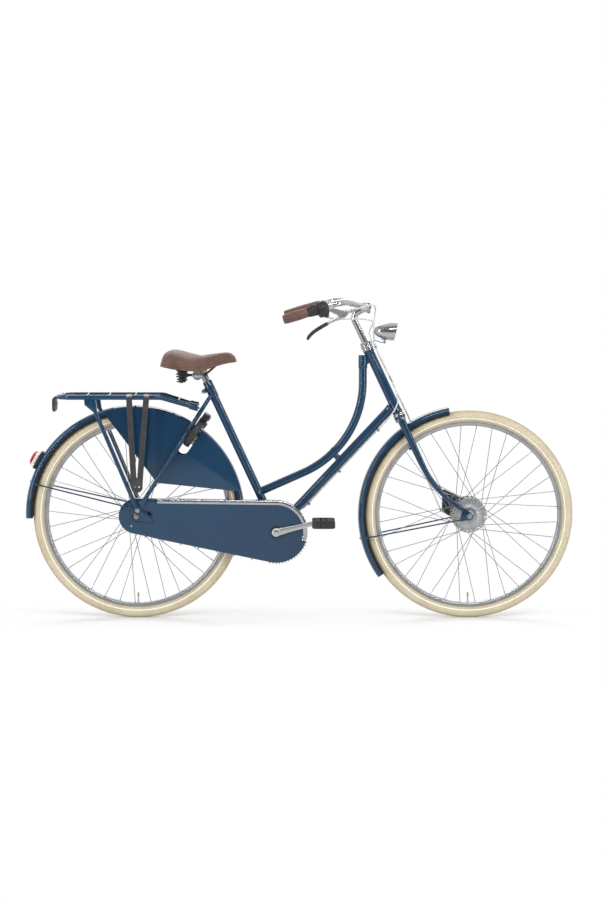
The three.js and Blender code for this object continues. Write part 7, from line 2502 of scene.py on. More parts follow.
@dataclass
class Drive:
    """The chain case with its trim and clips, the chain, the sprocket, the cranks and the pedals."""

    finishes: Finishes
    front_radius: float = 0.107
    rear_radius: float = 0.061
    wall: float = 0.0015
    inner: float = -0.033
    split: float = -0.048
    outer: float = -0.066
    rear_outer: float = -0.0586
    step: float = 0.05
    line: float = -0.044
    crank_length: float = 0.165
    tooth_share: float = 0.86
    crank_angle: float = 13.5
    ring_radius: float = 0.0769
    sprocket_radius: float = 0.03858

    def build(self, beads: Grower) -> None:
        """Makes every piece of the drive."""
        self.case()
        self.trim()
        self.clips(beads)
        self.chain(beads)
        self.sprocket()
        self.cranks()
        for side in Side:
            self.pedal(side)

    def outline(self, inset: float) -> list[Flat]:
        """The chain case's outline, drawn in by an inset."""
        axle, bracket = LAYOUT.rear_axle, LAYOUT.bracket
        rounds = [
            (bracket.x, bracket.z, self.front_radius - inset), (axle.x, axle.z, self.rear_radius - inset)
        ]
        corners = band(rounds, 160)
        path = subdivided([Vector((x, 0.0, z)) for x, z in [*corners, corners[0]]], 0.012)
        return [(p.x, p.z) for p in path[:-1]]

    def case(self) -> None:
        """The two shells, their rounded rims and the openings for crank, hub and dropout."""
        axle, bracket = LAYOUT.rear_axle, LAYOUT.bracket
        soft = 0.0042
        rim = [(soft * (1 - math.sin(a)), soft * (1 - math.cos(a))) for a in np.linspace(0, math.pi / 2, 7)]
        rings = []
        for inset, rise in rim:
            rings.append((self.outline(inset), rise))
        edge = axle.x + self.step
        layers: list[Ring] = [[Vector((x, self.split, z)) for x, z in self.outline(0.0)]]
        for outline, rise in reversed(rings):
            ring = []
            for x, z in outline:
                share = min(1.0, max(0.0, (x - edge + 0.004) / 0.01))
                face = blend(self.rear_outer, self.outer, share * share * (3 - 2 * share))
                ring.append(Vector((x, face + rise, z)))
            layers.append(ring)
        face = layers[-1]
        for inset in (0.012, 0.024, 0.036, 0.046):
            ring = []
            for x, z in self.outline(inset):
                share = min(1.0, max(0.0, (x - edge + 0.004) / 0.01))
                ring.append(
                    Vector((x, blend(self.rear_outer, self.outer, share * share * (3 - 2 * share)), z))
                )
            if len(ring) == len(face):
                layers.append(ring)
        outer = Shell().loft(layers)
        hollow = Shell().slab(
            [(x, z) for x, z in self.outline(self.wall) if x > edge + 0.008],
            self.split + 0.003,
            self.outer + self.wall,
        )
        hollow.slab(self.outline(self.wall), self.split + 0.003, self.rear_outer + self.wall)
        tools = Shell().across(bracket, 0.019, self.split + 0.001, self.outer - 0.003, 64)
        rounds = [(axle.x + 0.037, axle.z, 0.017), (axle.x + 0.004, axle.z, 0.017)]
        tools.slab(band(rounds, 64), self.rear_outer + 0.006, self.outer)
        piece = carved(
            outer.made("chain_case_outer_fine", self.finishes.paint),
            hollow.made("hollow"),
            tools.made("openings"),
            smooth=38,
        )
        settle(piece, "frame", "frame_paint", "chain_case_outer")
        inner = Shell().slab(self.outline(0.0), self.inner, self.split + 0.0003, soft=0.003)
        hollow = Shell().slab(self.outline(self.wall), self.inner - self.wall, self.split - 0.004)
        tools = Shell().across(bracket, 0.019, self.inner + 0.004, self.split, 64)
        tools.across(axle, 0.024, self.inner + 0.004, self.split, 64)
        piece = carved(
            inner.made("chain_case_inner_fine", self.finishes.paint),
            hollow.made("hollow"),
            tools.made("openings"),
            smooth=38,
        )
        settle(piece, "frame", "frame_paint", "chain_case_inner")
        self.details()

    def details(self) -> None:
        """The black ring round the crank, a black rim round the rear opening whose inner part is painted
        shade inside the opening, and the small screws.
        """
        axle, bracket = LAYOUT.rear_axle, LAYOUT.bracket
        black, screws = Shell(), Shell()
        black.turned(collar(0.0212, 0.0657, 0.0672, 0.0172, 0.0006), bracket, -LEFT, 64)
        # A black rim on the case round the rear opening; its inner part, inside the opening, is painted shade
        # for the shaded hollow behind it.
        rim = band([(axle.x + 0.037, axle.z, 0.0195), (axle.x + 0.004, axle.z, 0.0195)], 64)
        hole = band([(axle.x + 0.037, axle.z, 0.0145), (axle.x + 0.004, axle.z, 0.0145)], 64)
        rings = [
            [Vector((x, y, z)) for x, z in shape]
            for shape, y in ((rim, -0.0577), (rim, -0.0596), (hole, -0.0596), (hole, -0.0577))
        ]
        black.loft(rings, loop=True)
        profile = [(0.0, 0.0), (0.004, 0.0), (0.004, 0.0008), (0.003, 0.0016), (0.0014, 0.002), (0.0, 0.002)]
        screws.turned(
            profile, beside(axle + Vector((-0.0175, 0.0, -0.0335)), self.rear_outer + 0.0002), -LEFT, 24
        )
        settle(black.made("chain_case_seals", self.finishes.plastic), "frame", "black_plastic")
        settle(screws.made("chain_case_screws", self.finishes.zinc), "frame", "steel")

    def edge_path(self, inset: float, start: float, end: float, y: float) -> Ring:
        """A stretch of the case's edge, turned about the bracket.

        Args:
            inset: how far in from the edge it lies.
            start: the first point's turn about the bracket, in degrees; above 90 it runs back along the top.
            end: the last point's turn.
            y: its distance to the left.

        Returns:
            The points of the stretch.
        """
        bracket, radius = LAYOUT.bracket, self.front_radius - inset
        turns = np.linspace(start, end, max(2, int(abs(end - start) / 2.5)))
        return [beside(bracket + heading(float(t)) * radius, y) for t in turns]

    def straight(self, upper: bool, inset: float, ahead: float, y: float) -> tuple[Ring, float]:
        """The case's straight edge, from ahead of the rear axle to the nose's arc, and its turn there."""
        axle, bracket = LAYOUT.rear_axle, LAYOUT.bracket
        line = bracket - axle
        tilt = math.degrees(math.atan2(line.z, line.x))
        lean = math.degrees(math.acos((self.front_radius - self.rear_radius) / line.length))
        turn = tilt + 180 - lean if upper else tilt - 180 + lean
        out = heading(turn)
        near = axle + out * (self.rear_radius - inset)
        far = bracket + out * (self.front_radius - inset)
        start = near.lerp(far, (axle.x + ahead - near.x) / (far.x - near.x))
        return subdivided([beside(start, y), beside(far, y)], 0.01), turn

    def trim(self) -> None:
        """The bright strip along the top edge and round the nose, with its rolled rims."""
        path, turn = self.straight(True, 0.0077, 0.072, -0.0669)
        path = path[:-1] + self.edge_path(0.0077, turn, -18.0, -0.0669)
        shell = Shell().swept([p + LEFT * 0.0008 for p in path], [oval(0.0074, 0.0024)] * len(path))
        for place in (0, len(path) - 1):
            screw = path[place].lerp(path[abs(place - 2)], 0.6)
            shell.ball(beside(screw, -0.0675), 0.0026, 0.45, -LEFT)
        settle(shell.made("chain_case_trim_fine", self.finishes.chrome), "frame", "chrome", "chain_case_trim")

    def clips(self, beads: Grower) -> None:
        """The dark clips along the lower edge, closer together round the nose."""
        path, turn = self.straight(False, 0.0004, 0.03, -0.0574)
        made = beads.grow(
            "chain_case_clips", self.finishes.plastic, path, Count=8, Size=(0.0056, 0.016, 0.0046), Tilt=0.0
        )
        settle(made, "frame", "black_plastic")
        path = self.edge_path(0.0006, turn, -20.0, -0.0574)
        made = beads.grow(
            "chain_case_nose_clips",
            self.finishes.plastic,
            path,
            Count=15,
            Size=(0.0062, 0.016, 0.0038),
            Tilt=0.0,
        )
        settle(made, "frame", "black_plastic")

    def loop(self, y: float) -> Ring:
        """The chain's closed line round both sprockets."""
        axle, bracket = LAYOUT.rear_axle, LAYOUT.bracket
        corners = band([(bracket.x, bracket.z, self.ring_radius), (axle.x, axle.z, self.sprocket_radius)], 96)
        closed = [Vector((x, y, z)) for x, z in [*corners, corners[0]]]
        return resampled(closed, 208)

    def chain(self, beads: Grower) -> None:
        """The chain: rollers between two rows of plates, all grown along its line."""
        for name, y, size, count in (
            ("chain_plates_outer", self.line - 0.0036, (0.0088, 0.0012, 0.0126), 104),
            ("chain_plates_inner", self.line + 0.0036, (0.0088, 0.0012, 0.0126), 104),
            ("chain_rollers", self.line, (0.0072, 0.0058, 0.0072), 105),
        ):
            made = beads.grow(name, self.finishes.zinc, self.loop(y), Count=count, Size=size, Tilt=0.0)
            settle(made, "frame", "steel", *(["chain"] if name == "chain_rollers" else []))

    def sprocket(self) -> None:
        """The rear sprocket with its boss."""
        axle = LAYOUT.rear_axle
        teeth = [
            (blend(axle.x, x, self.tooth_share), blend(axle.z, z, self.tooth_share))
            for x, z in toothed(axle, 19)
        ]
        plate = Shell().slab(teeth, self.line - 0.0011, self.line + 0.0011)
        tool = Shell().across(axle, 0.0158, self.line - 0.003, self.line + 0.003, 48)
        piece = carved(plate.made("rear_sprocket_fine", self.finishes.zinc), tool.made("bore"))
        settle(piece, "rear_sprocket", "steel", "rear_sprocket")
        boss = Shell().turned(collar(0.016, -0.05, -0.0398, 0.0062), axle, LEFT, 48)
        settle(boss.made("sprocket_boss", self.finishes.zinc), "rear_sprocket", "steel")

    def arm(self, side: Side) -> Shell:
        """A crank arm, thinner between its ends, with its cap and the eye of the pedal."""
        at, out = LAYOUT.bracket, heading(self.crank_angle + (180 if side is Side.LEFT else 0))
        end = at + out * self.crank_length
        low, high = 0.069, 0.082
        shell = Shell()
        across = out.cross(LEFT)
        rings = []
        for i in range(33):
            share = i / 32
            waist = 0.0034 * math.sin(math.pi * share) ** 0.8 if 0 < share < 1 else 0.0
            half = blend(0.0142, 0.0104, share) - waist
            inset = 0.0011 * math.sin(math.pi * share) ** 0.6 if 0 < share < 1 else 0.0
            middle = at + out * (self.crank_length * share)
            ring = []
            for x, z in circle(1.0, 28):
                a = eased(x, 0.55) * half
                b = eased(z, 0.55) * ((high - low) / 2 - inset)
                ring.append(beside(middle + across * a, 0.0) + LEFT * (side.value * ((low + high) / 2) + b))
            rings.append(ring)
        shell.loft(rings)
        root = 0.0429 if side is Side.RIGHT else 0.0625
        profile = [
            (0.0088, root),
            (0.0142, root),
            (0.015, root + 0.0012),
            (0.015, 0.0812),
            (0.0138, 0.0822),
            (0.0128, 0.0838),
            (0.0106, 0.0848),
            (0.0, 0.085),
            (0.0, 0.08),
            (0.0088, 0.0796),
        ]
        shell.turned(profile[:8] + [(0.0, root)], at, LEFT * side.value, 48)
        shell.turned(
            [
                (0.0, low + 0.0002),
                (0.0098, low),
                (0.011, low + 0.0014),
                (0.011, high - 0.0014),
                (0.0098, high),
                (0.0, high),
            ],
            end,
            LEFT * side.value,
            48,
        )
        shell.turned(
            [
                (0.0, high - 0.001),
                (0.0068, high - 0.001),
                (0.0068, high + 0.0004),
                (0.0058, high + 0.0009),
                (0.0, high + 0.0009),
            ],
            end,
            LEFT * side.value,
            32,
            1,
        )
        return shell

    def cranks(self) -> None:
        """The two cranks, the chainring with its five openings, and the spindle."""
        bracket = LAYOUT.bracket
        for side in Side:
            piece = self.arm(side).made(f"crank_{side.word}_fine", self.finishes.alloy, self.finishes.zinc)
            settle(piece, "crankset", "alloy", f"crank_{side.word}")
        ring = Shell().slab(toothed(bracket, 38), self.line - 0.0011, self.line + 0.0011)
        tools = Shell()
        for i in range(5):
            at = bracket + heading(self.crank_angle + 72 * (i + 0.5)) * (self.ring_radius * 0.56)
            tools.across(at, 0.015, self.line - 0.003, self.line + 0.003, 40)
        piece = carved(ring.made("chainring", self.finishes.zinc), tools.made("ring_openings"))
        settle(piece, "crankset", "alloy")
        spindle = Shell().across(bracket, 0.0085, -0.0796, 0.0796, 40, soft=0.001)
        settle(spindle.made("crank_spindle_fine", self.finishes.zinc), "crankset", "steel", "crank_spindle")

    def pedal(self, side: Side) -> None:
        """A pedal: two ribbed rubber blocks between end plates, with a reflector in each edge."""
        at = LAYOUT.bracket + heading(
            self.crank_angle + (180 if side is Side.LEFT else 0)
        ) * self.crank_length
        low, high = 0.086, 0.178
        shell = Shell()

        def span(near: float, far: float) -> Flat:
            """Two distances from the middle plane, as they lie on this side."""
            first, last = sorted((side.value * near, side.value * far))
            return first, last

        cage = soft_oblong(0.0388, 0.0135, 0.28, 56)
        for near, far in ((low, low + 0.0036), (high - 0.0036, high)):
            outline = [(at.x + x, at.z + z) for x, z in cage]
            shell.slab(outline, *span(near, far), slot=0, soft=0.0009)
        for ahead in (-0.0225, 0.0225):
            block = [
                (at.x + ahead + eased(x, 0.45) * 0.0125, at.z + eased(z, 0.4) * 0.0112)
                for x, z in circle(1.0, 40)
            ]
            first, last = span(low + 0.0048, high - 0.0048)
            shell.slab(block, first, last, slot=0, soft=0.0012)
            for face in (-1, 1):
                for row in (-0.0082, -0.0027, 0.0027, 0.0082):
                    start = Vector((at.x + ahead + row, first + 0.004, at.z + face * 0.0112))
                    count = 7
                    for k in range(count):
                        a = start + LEFT * ((last - first - 0.008) * (k + 0.08) / count)
                        b = start + LEFT * ((last - first - 0.008) * (k + 0.92) / count)
                        shell.rod(a, b, 0.0013, 8, 0, soft=0.0005)
            edge = math.copysign(0.0372, ahead)
            reflector = [(at.x + edge + x * 0.0016, at.z + z * 0.0062) for x, z in CORNERS]
            shell.slab(reflector, *span(0.104, 0.16), slot=3)
            behind = edge - math.copysign(0.0012, ahead)
            frame = [(at.x + behind + x * 0.0018, at.z + z * 0.0082) for x, z in CORNERS]
            shell.slab(frame, *span(0.1, 0.164), slot=0, soft=0.0004)
        shell.across(at, 0.0055, side.value * 0.0712, side.value * 0.087, 32, 2)
        barrel = [
            (0.0, low + 0.0005),
            (0.0092, low + 0.0005),
            (0.0104, low + 0.0026),
            (0.0096, low + 0.009),
            (0.0086, 0.12),
            (0.0086, 0.15),
            (0.0096, high - 0.006),
            (0.0104, high + 0.0014),
            (0.0094, high + 0.0036),
            (0.0, high + 0.004),
        ]
        shell.turned(barrel, at, LEFT * side.value, 40)
        piece = shell.made(
            f"pedal_{side.word}_fine",
            self.finishes.block_rubber,
            self.finishes.steel,
            self.finishes.zinc,
            self.finishes.amber,
        )
        settle(piece, f"pedal_{side.word}", "black_plastic", f"pedal_{side.word}")


@dataclass
class Seat:
    """The seat post, the clamp, the sprung rails and the padded saddle."""

    finishes: Finishes
    post_radius: float = 0.0127
    post_low: float = -0.12
    post_high: float = 0.044
    rail_radius: float = 0.0035
    rail_nose: float = 0.012
    rail_out: float = 0.021
    spring_out: float = 0.046
    spring_seat: float = 0.018
    spring_height: float = 0.034
    wire: float = 0.0026
    length: float = 0.26
    height: float = 0.074
    half_width: float = 0.11
    stations: tuple[float, ...] = (0, 0.035, 0.092, 0.169, 0.258, 0.385, 0.531, 0.654, 0.823, 0.915, 0.977, 1)
    tops: tuple[float, ...] = (0.35, 0.73, 0.92, 1, 0.955, 0.81, 0.72, 0.78, 0.865, 0.85, 0.68, 0.5)
    edges: tuple[float, ...] = (0.24, 0.23, 0.2, 0.15, 0.11, 0.06, 0.02, 0.14, 0.32, 0.385, 0.41, 0.43)
    widths: tuple[float, ...] = (0.45, 0.74, 0.9, 0.98, 1, 0.93, 0.68, 0.43, 0.32, 0.3, 0.24, 0.1)

    @property
    def clamp(self) -> Vector:
        """The middle of the saddle clamp."""
        return LAYOUT.seat_top + Vector((-0.0314, 0.0, 0.0212))

    @property
    def back(self) -> float:
        """The place of the saddle's back end."""
        return self.clamp.x - 0.126

    @property
    def base(self) -> float:
        """The height that the saddle's heights count from."""
        return self.clamp.z + 0.015

    @property
    def spring_foot(self) -> Vector:
        """The foot of a spring, in the middle plane."""
        return Vector((self.back + 0.094 - self.rail_out, 0.0, self.clamp.z - self.spring_seat))

    def build(self, beads: Grower) -> None:
        """Makes every piece of the seat."""
        self.post()
        self.clamp_block()
        self.frame()
        self.cover(beads)

    def post(self) -> None:
        """The seat post with its turned-in mouth."""
        low = LAYOUT.seat_top + LAYOUT.seat_up * self.post_low
        high = LAYOUT.seat_top + LAYOUT.seat_up * self.post_high
        shell = Shell().rod(low, high, self.post_radius, 56, soft=0.0012)
        settle(shell.made("seat_post_fine", self.finishes.chrome), "seat", "chrome", "seat_post")

    def clamp_block(self) -> None:
        """The clamp: its sleeve on the post, its toothed cheeks, rail blocks and cross bolt."""
        at, top, up = self.clamp, LAYOUT.seat_top, LAYOUT.seat_up
        shell = Shell().turned(collar(0.0167, 0.024, 0.0475, 0.0128, 0.0012), top, up, 48)
        for side in Side:
            cheek = [
                (0.0, 0.0),
                (0.015, 0.0),
                (0.0165, 0.0012),
                (0.017, 0.003),
                (0.017, 0.0125),
                (0.0158, 0.0142),
                (0.0, 0.0142),
            ]
            shell.turned(cheek, at, LEFT * side.value, 48)
            shell.turned(
                [
                    (0.0, 0.0145),
                    (0.0142, 0.0145),
                    (0.0152, 0.0152),
                    (0.0152, 0.0235),
                    (0.0142, 0.0245),
                    (0.0, 0.0245),
                ],
                at,
                LEFT * side.value,
                48,
            )
            block = band([(at.x - 0.013, at.z, 0.0066), (at.x + 0.013, at.z, 0.0066)], 36)
            shell.slab(block, side.value * 0.0155, side.value * 0.0262, soft=0.0012)
            hexagon(0.0078, 0.0245, 0.0272, at, LEFT * side.value, shell)
        for i in range(36):
            out = heading(10 * i)
            for side in Side:
                tooth = at + out * 0.0158
                shell.rod(beside(tooth, side.value * 0.0139), beside(tooth, side.value * 0.0149), 0.001, 6)
        settle(shell.made("saddle_clamp_fine", self.finishes.alloy), "seat", "steel", "saddle_clamp")

    def rail(self, side: Side) -> Ring:
        """The line of one rail, from the nose back to its spring."""
        at = self.clamp
        corners = [
            Vector((at.x + 0.062, side.value * self.rail_nose, at.z + 0.032)),
            Vector((at.x + 0.025, side.value * self.rail_out, at.z)),
            Vector((self.spring_foot.x + self.rail_out, side.value * self.rail_out, at.z)),
            beside(self.spring_foot, side.value * self.spring_out),
        ]
        return rounded(corners, 0.016, 8)

    def frame(self) -> None:
        """The rails, the springs with their cups, and the plate under the cover."""
        shell = Shell()
        foot = self.spring_foot
        for side in Side:
            shell.tube(subdivided(self.rail(side), 0.01), self.rail_radius, 20)
            base = beside(foot, side.value * self.spring_out)
            coil = []
            for i in range(121):
                share = i / 120
                radius = blend(0.0115, 0.0165, min(1.0, share * 1.9))
                turn = heading(share * 3.4 * 360) * radius
                coil.append(
                    base + Vector((turn.x, turn.z, blend(0.0012, self.spring_height - 0.0016, share)))
                )
            shell.tube(coil, self.wire, 14)
            shell.turned(
                [
                    (0.0, -0.0039),
                    (0.0148, -0.0039),
                    (0.016, -0.003),
                    (0.016, -0.0006),
                    (0.0148, 0.0002),
                    (0.0, 0.0002),
                ],
                base,
                UP,
                40,
            )
            shell.turned(
                [
                    (0.0, 0.034),
                    (0.018, 0.034),
                    (0.0188, 0.0348),
                    (0.0188, 0.0362),
                    (0.018, 0.0366),
                    (0.0, 0.0366),
                ],
                base,
                UP,
                40,
            )
            shell.turned(
                [(0.0, 0.0), (0.0062, 0.0), (0.0062, 0.012), (0.005, 0.0132), (0.0, 0.0132)], base, UP, 28
            )
            hexagon(0.0062, -0.0068, -0.0037, base, UP, shell, 1)
        nose = Vector((self.clamp.x + 0.062, 0.0, self.clamp.z + 0.032))
        shell.across(
            nose, self.rail_radius, -self.rail_nose - 0.0034, self.rail_nose + 0.0034, 20, soft=0.0012
        )
        top = foot.z + self.spring_height
        plate = [Vector((foot.x + 0.0013, y, top + 0.0013)) for y in np.linspace(-0.052, 0.052, 9)]
        shell.bent_slab(plate, [FORWARD] * 9, 0.0178, 0.0026)
        piece = shell.made("saddle_frame_fine", self.finishes.black_enamel, self.finishes.zinc)
        settle(piece, "seat", "steel", "saddle_frame")

    def at_share(self, share: float) -> tuple[float, float, float, float]:
        """The cover's place, top, edge and half width at a share of its length, from smooth curves."""

        def read(values: Sequence[float]) -> float:
            """One curve through the stations, read at the share."""
            low = max(i for i in range(len(self.stations) - 1) if self.stations[i] <= share or i == 0)

            def slope(i: int) -> float:
                """The curve's slope at a station."""
                before, after = max(i - 1, 0), min(i + 1, len(values) - 1)
                return (values[after] - values[before]) / (self.stations[after] - self.stations[before])

            span = self.stations[low + 1] - self.stations[low]
            t = (share - self.stations[low]) / span
            h = (2 * t**3 - 3 * t**2 + 1, t**3 - 2 * t**2 + t, 3 * t**2 - 2 * t**3, t**3 - t**2)
            start = h[0] * values[low] + h[1] * slope(low) * span
            return start + h[2] * values[low + 1] + h[3] * slope(low + 1) * span

        place = self.back + self.length * share
        top = self.base + self.height * read(self.tops)
        edge = self.base + self.height * read(self.edges)
        return place, top, edge, self.half_width * read(self.widths)

    def cover_ring(self, share: float, shrink: float) -> Ring:
        """One closed ring of the cover: over the top from edge to edge, and back along its underside."""
        place, top, edge, half = self.at_share(share)
        place = blend(self.back + shrink, self.back + self.length - shrink, share)
        ring: Ring = []
        for i in range(41):
            angle = math.pi * i / 40
            out = eased(math.cos(angle), 0.72) if 0 < i < 40 else (1.0 if i == 0 else -1.0)
            rise = math.sin(angle) ** 0.78 if 0 < i < 40 else 0.0
            dip = 0.0022 * math.exp(-((out / 0.34) ** 2)) * min(1.0, share * 5) * min(1.0, (1 - share) * 4)
            ring.append(Vector((place, (half - shrink) * out, edge + (top - shrink - edge) * rise - dip)))
        lift = min(0.009, (top - edge) * 0.35)
        for out, rise in (
            (-0.93, 0.0), (-0.9, 1.0), (-0.45, 1.0), (0.0, 1.0), (0.45, 1.0), (0.9, 1.0), (0.93, 0.0)
        ):
            ring.append(Vector((place, (half - shrink) * out, edge + lift * rise)))
        return ring

    def cover(self, beads: Grower) -> None:
        """The padded cover, swelled a little by simulation, with its hem and stitches."""
        shares = [(1 - math.cos(math.pi * i / 56)) / 2 for i in range(57)]
        shell = Shell().loft([self.cover_ring(s, 0.0016) for s in shares])
        piece = shell.made("saddle_cover_fine", self.finishes.leather, smooth=70)
        self.swell(piece)
        hem = [
            self.hem_point(s, side)
            for side in (Side.RIGHT, Side.LEFT)
            for s in (shares if side is Side.RIGHT else shares[::-1])
        ]
        settle(piece, "seat", "brown_leather", "saddle_cover")
        edge = Shell().tube(resampled(hem, 220), 0.0013, 10)
        settle(edge.made("saddle_hem", self.finishes.leather, smooth=70), "seat", "brown_leather")
        line = [
            self.seam_point(s, side)
            for side in (Side.RIGHT, Side.LEFT)
            for s in (shares[4:-4] if side is Side.RIGHT else shares[-5:3:-1])
        ]
        made = beads.grow(
            "saddle_stitches",
            self.finishes.thread,
            resampled(line, 260),
            Count=150,
            Size=(0.0006, 0.0007, 0.0024),
            Tilt=0.0,
        )
        settle(made, "seat", "brown_leather")

    def hem_point(self, share: float, side: Side) -> Vector:
        """A place on the cover's lower edge."""
        _, _, edge, half = self.at_share(share)
        return Vector(
            (
                blend(self.back + 0.0016, self.back + self.length - 0.0016, share),
                side.value * (half - 0.0022),
                edge + 0.0002,
            )
        )

    def seam_point(self, share: float, side: Side) -> Vector:
        """A place on the side seam, a little above the lower edge."""
        ring = self.cover_ring(share, 0.0005)
        return ring[38] if side is Side.RIGHT else ring[2]

    def swell(self, piece: bpy.types.Object) -> None:
        """Fills the cover: a short cloth simulation under pressure, kept to a few millimetres."""
        rest = np.empty(len(piece.data.vertices) * 3)
        piece.data.vertices.foreach_get("co", rest)
        copy = bpy.data.objects.new("saddle_filling", piece.data.copy())
        bpy.context.scene.collection.objects.link(copy)
        group = copy.vertex_groups.new(name="held")
        places = rest.reshape(-1, 3)
        ring = 48
        held = [
            i
            for i in range(len(places))
            if i % ring in (0, 1, 39, 40)
            or i % ring > 40
            or i < ring * 2
            or i >= len(places) - ring * 2
        ]
        group.add(held, 1.0, "REPLACE")
        modifier = copy.modifiers.new("cloth", "CLOTH")
        cloth = modifier.settings
        cloth.quality = 6
        cloth.mass = 0.35
        cloth.tension_stiffness = 22
        cloth.compression_stiffness = 22
        cloth.bending_stiffness = 4.0
        cloth.use_pressure = True
        cloth.uniform_pressure_force = 5.0
        cloth.vertex_group_mass = "held"
        cloth.effector_weights.gravity = 0.0
        modifier.collision_settings.use_collision = False
        modifier.point_cache.frame_start = 1
        modifier.point_cache.frame_end = 16
        scene = bpy.context.scene
        for frame_number in range(1, 17):
            scene.frame_set(frame_number)
        moved = bpy.data.meshes.new_from_object(copy.evaluated_get(bpy.context.evaluated_depsgraph_get()))
        after = np.empty(len(moved.vertices) * 3)
        moved.vertices.foreach_get("co", after)
        shift = after.reshape(-1, 3) - places
        reach = np.linalg.norm(shift, axis=1, keepdims=True)
        cap = 0.0032
        shift *= np.minimum(1.0, cap / np.maximum(reach, 1e-9))
        piece.data.vertices.foreach_set("co", (places + shift).ravel())
        piece.data.update()
        bpy.data.objects.remove(copy)
        bpy.data.meshes.remove(moved)
        scene.frame_set(1)
        log.info(
            "the saddle's filling moved its cover by up to %.1f mm",
            float(np.linalg.norm(shift, axis=1).max()) * 1000,
        )


@dataclass(frozen=True)
class BarEnd:
    """Places on one straight end of the handlebar, counted from its tip."""

    side: Side
    corner_back: float = 0.08
    corner_out: float = 0.2436
    corner_rise: float = 0.024
    end_back: float = 0.273
    end_out: float = 0.282
    end_drop: float = 0.034

    @property
    def corner(self) -> Vector:
        """Where the bar bends back."""
        return LAYOUT.stem_clamp + Vector(
            (-self.corner_back, self.side.value * self.corner_out, self.corner_rise)
        )

    @property
    def end(self) -> Vector:
        """The bar's tip."""
        return LAYOUT.stem_clamp + Vector((-self.end_back, self.side.value * self.end_out, -self.end_drop))

    @property
    def along(self) -> Vector:
        """The direction in from the tip."""
        return (self.corner - self.end).normalized()

    @property
    def down(self) -> Vector:
        """The direction below the bar, square to it."""
        return (self.along * self.along.z - UP).normalized()

    @property
    def across(self) -> Vector:
        """The direction square to both."""
        return self.along.cross(self.down).normalized()

    def at(self, distance: float, low: float = 0.0, across: float = 0.0) -> Vector:
        """A place by its distance from the tip, below the bar and beside it."""
        return self.end + self.along * distance + self.down * low + self.across * across


